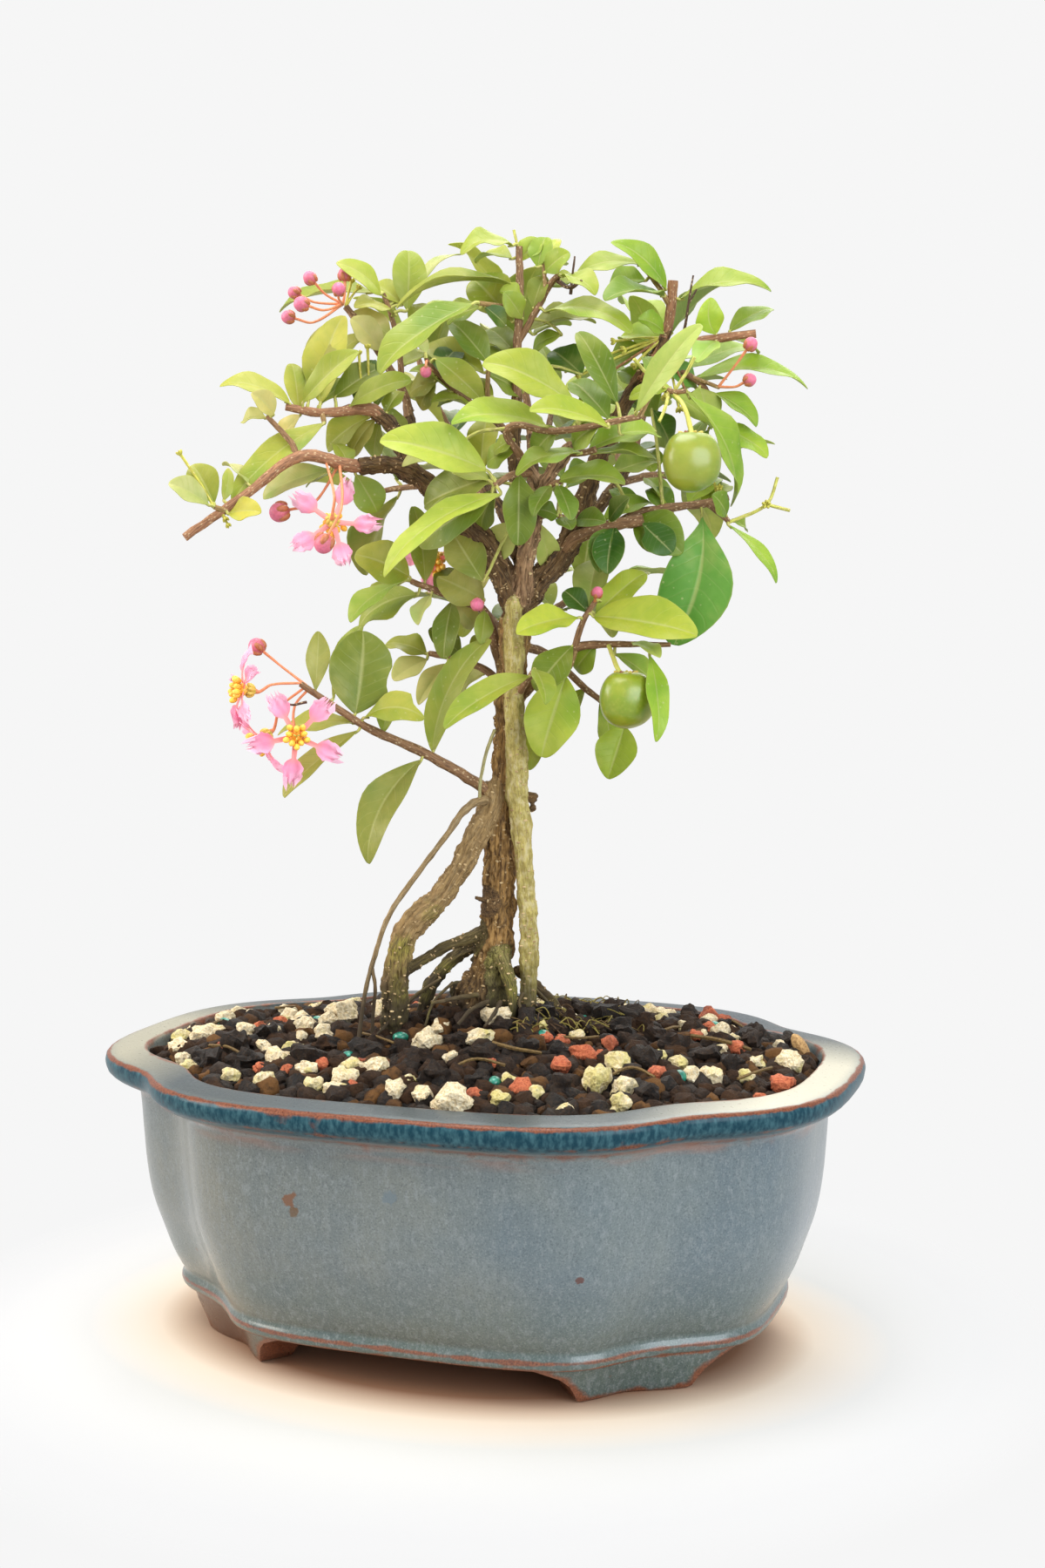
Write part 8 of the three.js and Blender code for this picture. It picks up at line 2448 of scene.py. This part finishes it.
def flower_pieces(name, flower, seed):
    centre, forward, first, second = flower_axes(flower)
    draw = drawer(seed)
    reach = flower["span"] / 2
    petals = Skin()
    for out in spokes(PETALS, first, second, 0, flower["turn"]):
        add_petal(petals, centre, out, forward.cross(out), forward, reach * (0.94 + 0.06 * draw()), draw)
    made = petals.piece(f"flower_{name}_pink_petals", [petal_finish], 80)
    declare(made, "petal", f"flower_{name}_petals")
    middle = Skin()
    foot = [(seen(*place), 0.34) for place in reversed(flower["pedicel"])]
    rows = foot + [(centre - forward * 3.4, 0.42), (centre - forward * 2.0, 0.85)]
    add_limb(middle, smooth_path(rows, 6), 8, 0, STALK_PINK, 0.12)
    add_ball(middle, centre - forward * 1.0, forward, (1.5, 1.5), 0, (CUP_TINT, CUP_TINT))
    add_ball(middle, centre + forward * 1.0, forward, (1.3, 1.7), 0, (FILAMENT_TINT, ANTHER_TINTS[0]))
    for out in spokes(GLANDS, first, second, 0.3):
        place = centre - forward * 1.1 + out * 1.3
        add_ball(middle, place, forward + out * 0.4, (1.15, 0.62), 0, (GLAND_TINT, CUP_TINT), 8, 6)
    for i, out in enumerate(spokes(STAMENS, first, second)):
        lean = 0.75 + 0.35 * (i % 2) + 0.15 * draw()
        tip = centre + forward * (2.3 + 0.9 * draw()) + out * lean * STAMEN_SPREAD
        rows = [(centre + out * 0.5, 0.2), (centre + forward * 1.3 + out * 0.8, 0.16), (tip, 0.13)]
        add_limb(middle, smooth_path(rows, 3), 5, 0, FILAMENT_TINT)
        add_ball(middle, tip + forward * 0.2, forward + out * 0.6, (1.15, 0.85), 0, ANTHER_TINTS, 7, 5)
    for out in spokes(STYLES, first, second, 0.5):
        bend, tip = centre + forward * 3.2 + out * 0.4, centre + forward * 3.6 + out * 0.8
        add_limb(middle, smooth_path([(centre, 0.2), (bend, 0.15), (tip, 0.2)], 3), 5, 0, STYLE_TINT)
    made = middle.piece(f"flower_{name}_stamens_and_cup", [soft_finish], 70)
    declare(made, "flower_middle", f"flower_{name}_middle")


for number, (name, flower) in enumerate(FLOWERS.items()):
    flower_pieces(name, flower, 211 + number)

# %% [markdown]
# ## Buds
# The buds sit in loose clusters at the ends of shoots. Each is a pink ball of folded petals in a
# red-brown cup of five sepals, on a thin orange-pink stalk.

# %% Places of the buds
BUDS = {
    "left_tip": {
        "foot": [394, 349, 7],
        "heads": [{"bud": [356, 319, 2, 1.8], "bend": [374, 338, 5]},
         {"bud": [396, 315, 6, 1.8], "bend": [396, 335, 6]},
         {"bud": [338, 336, 9, 1.7], "bend": [362, 347, 9]},
         {"bud": [346, 349, -3, 2.0], "bend": [372, 356, 2]},
         {"bud": [389, 332, -3, 1.8], "bend": [389, 343, 1]},
         {"bud": [331, 364, 3, 1.8], "bend": [360, 370, 5]}],
    },
    "upper_middle": {
        "foot": [490, 414, 0], "heads": [{"bud": [489, 427, -5, 1.5], "bend": [489, 420, -3]}],
    },
    "left_end": {
        "foot": [390, 532, -11],
        "heads": [{"bud": [321, 588, -13, 2.6], "bend": [360, 578, -12]},
         {"bud": [372, 624, -31, 2.5], "bend": [392, 584, -30]}],
    },
    "left_low": {
        "foot": [352, 787, -15.6], "heads": [{"bud": [295, 742, -12, 2.2], "bend": [322, 764, -13]}],
    },
    "left_mid": {"foot": [549, 695, 4], "heads": [{"bud": [548, 694, -4, 1.8], "bend": [549, 695, 0]}]},
    "right_low": {
        "foot": [683, 691, -10], "heads": [{"bud": [686, 680, -14, 1.5], "bend": [684, 686, -13]}],
    },
    "right_end": {
        "foot": [825, 444, 4],
        "heads": [{"bud": [862, 395, -2, 1.8], "bend": [844, 420, 1]},
         {"bud": [861, 436, 0, 1.7], "bend": [844, 444, 2]}],
    },
}
BUD_PINK = linear(220, 116, 148)
BUD_RED = linear(186, 92, 84)
BUD_GLAND = linear(178, 104, 66)
SEPALS = 5


def bud_piece(name, cluster):
    skin = Skin()
    foot = seen(*cluster["foot"])
    for head in cluster["heads"]:
        x, y, away, radius = head["bud"]
        middle, knee = seen(x, y, away), seen(*head["bend"])
        along = (middle - knee).normalized()
        rows = [(foot, 0.4), (knee, 0.32), (middle - along * radius, 0.4), (middle, 0.6)]
        add_limb(skin, smooth_path(rows, 6), 8, 0, STALK_PINK, 0.15)
        add_ball(skin, middle, along, (radius * 1.04, radius), 0, (BUD_RED, BUD_PINK), 14, 10)
        sepal = (0.66 * radius, 0.4 * radius)
        for out in spokes(SEPALS, *beside(along, UP)):
            place = middle - along * 0.34 * radius + out * 0.7 * radius
            add_ball(skin, place, along + out * 0.25, sepal, 0, (BUD_GLAND, BUD_GLAND), 8, 6)
    declare(skin.piece(f"buds_{name}_on_stalks", [soft_finish], 70), "bud", f"buds_{name}")


for name, cluster in BUDS.items():
    bud_piece(name, cluster)

# %% [markdown]
# ## Fruits
# Two unripe cherries hang in front. Each has three soft lobes, a dimple where its stalk leaves and
# the dry remains of its cup round the dimple. The skin is smooth, green and shiny, with paler
# clouds in it.

# %% Places of the fruits
FRUITS = {
    "upper": {
        "middle": [793, 530, -19], "radius": 7.6, "height": 15.6,
        "stalk": [[794, 497, -18, 0.7], [786, 468, -15, 0.6], [775, 452, -11, 0.6]],
    },
    "lower": {
        "middle": [719, 803, -14], "radius": 7.4, "height": 15.2,
        "stalk": [[712, 772, -14, 0.7], [705, 757, -12, 0.6], [699, 741, -9, 0.6]],
    },
}
FRUIT_PROFILE = [
    (-1.0, 0.03), (-0.985, 0.17), (-0.93, 0.37), (-0.8, 0.63), (-0.55, 0.87), (-0.2, 0.985),
    (0.15, 1.0), (0.45, 0.93), (0.72, 0.77), (0.88, 0.57), (0.93, 0.36), (0.88, 0.18), (0.83, 0.06),
]
FRUIT_SIDES = 48
FRUIT_STEPS = 3
LOBE_SWELL = 0.07
FRUIT_TINTS = {"upper": (0.84, 0.84, 0.68, 1), "lower": (1.25, 1.08, 0.9, 1)}
CUP_LOBES = 7
DRY_CUP = linear(150, 104, 70)
fruit_finish, tree = new_material("green_fruit_skin")
place = object_place(tree)
cloud = noise_value(tree, place, 70.0, 3.0, 0.5)
fine = noise_value(tree, place, 900.0, 2.0)
colour = mix(tree, remap(tree, cloud, 0.35, 0.68), linear(112, 138, 40), linear(160, 166, 64))
colour = mix(tree, remap(tree, fine, 0.5, 0.75, 0, 0.2), colour, linear(170, 178, 92))
colour = mix(tree, 1.0, colour, attribute(tree, "tint", "Color"), "MULTIPLY")
inputs = {"Base Color": colour, "Normal": bumped(tree, fine, 0.06, 0.0004), "Roughness": 0.3}
inputs.update({"Subsurface Weight": 0.2, "Subsurface Scale": 0.003})
inputs.update({"Coat Weight": 0.2, "Coat Roughness": 0.2})
principled(fruit_finish, tree, inputs)


def fruit_piece(name, fruit):
    skin = Skin()
    centre = seen(*fruit["middle"])
    rings = []
    for level, wide in smooth_profile(FRUIT_PROFILE, FRUIT_STEPS):
        high = level * fruit["height"] / 2
        ring = []
        for i in range(FRUIT_SIDES):
            angle = math.tau * i / FRUIT_SIDES
            lobes = LOBE_SWELL * (math.cos(3 * angle) - 0.5) + 0.03 * abs(level) * math.cos(6 * angle)
            reach = fruit["radius"] * wide * (1 + lobes)
            ring.append(centre + Vector((math.cos(angle) * reach, math.sin(angle) * reach, high)))
        rings.append(ring)
    points, faces = skin_of_rings(rings)
    skin.add(points, faces, 0, [FRUIT_TINTS[name]] * len(points), [(0, 0, 0)] * len(points))
    top = centre + UP * 0.42 * fruit["height"]
    stalk = [(top, 0.9)] + [(seen(x, y, away), radius) for x, y, away, radius in fruit["stalk"]]
    add_limb(skin, smooth_path(stalk, 6), 9, 1, PEDICEL_TINT, 0.15)
    for i, out in enumerate(spokes(CUP_LOBES, Vector((1, 0, 0)), Vector((0, 1, 0)))):
        tint = DRY_CUP if i % 2 else CUP_TINT
        add_ball(skin, top + out * 2.3 + UP * 0.5, out + UP * 0.5, (1.1, 0.55), 1, (tint, tint), 8, 6)
    piece = skin.piece(f"fruit_{name}_on_its_stalk", [fruit_finish, soft_finish], 70)
    declare(piece, "fruit", f"fruit_{name}")


for name, fruit in FRUITS.items():
    fruit_piece(name, fruit)

# %% [markdown]
# ## Drain nets
# A square of black plastic net lies over each drain hole and keeps the soil in. It is a grid whose
# edges become round bars, which is two nodes in a Geometry Nodes tree.

# %% Drain nets
NET_WIDTH = 23
NET_BAR = 0.45
NET_BARS = 9
NET_LIFT = 0.8
net_finish, tree = new_material("black_plastic_net")
grit = noise_value(tree, object_place(tree), 800.0, 3.0)
colour = mix(tree, remap(tree, grit, 0.4, 0.75), linear(26, 26, 27), linear(62, 58, 52))
inputs = {"Base Color": colour, "Roughness": remap(tree, grit, 0.3, 0.7, 0.4, 0.7)}
principled(net_finish, tree, inputs)

net_tree, given = new_group("drain_net", ("Width", "Bar Radius"), "Bars")
inputs = {"Size X": given["Width"], "Size Y": given["Width"]}
inputs.update({"Vertices X": given["Bars"], "Vertices Y": given["Bars"]})
grid = node(net_tree, "GeometryNodeMeshGrid", inputs)
lines = node(net_tree, "GeometryNodeMeshToCurve", {"Mesh": grid.outputs[0]})
inputs = {"Resolution": 6, "Radius": given["Bar Radius"]}
outline = node(net_tree, "GeometryNodeCurvePrimitiveCircle", inputs)
inputs = {"Curve": lines.outputs[0], "Profile Curve": outline.outputs[0], "Fill Caps": True}
bar = node(net_tree, "GeometryNodeCurveToMesh", inputs)
end_group(net_tree, bar.outputs[0], net_finish)
for side, name in ((-1, "left"), (1, "right")):
    holder = plain_object("holder", [Vector((0, 0, 0))], [])
    values = {"Width": NET_WIDTH * MM, "Bar Radius": NET_BAR * MM, "Bars": NET_BARS}
    net_mesh = grown_mesh(holder, net_tree, values, f"drain_net_{name}")
    bpy.data.objects.remove(holder)
    place = Vector((side * DRAIN_OFFSET, 0, FOOT_HEIGHT + FLOOR_THICKNESS + NET_LIFT))
    net_mesh.transform(Matrix.Translation(place * MM))
    net = bpy.data.objects.new(f"net_over_{name}_hole", net_mesh)
    scene.collection.objects.link(net)
    declare(net, "net", f"drain_net_{name}")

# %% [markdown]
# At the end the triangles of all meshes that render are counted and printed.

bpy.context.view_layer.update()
shown = [o for o in scene.objects if o.type == "MESH" and not o.hide_render]
print("all triangles:", sum(triangles(o.data) for o in shown))
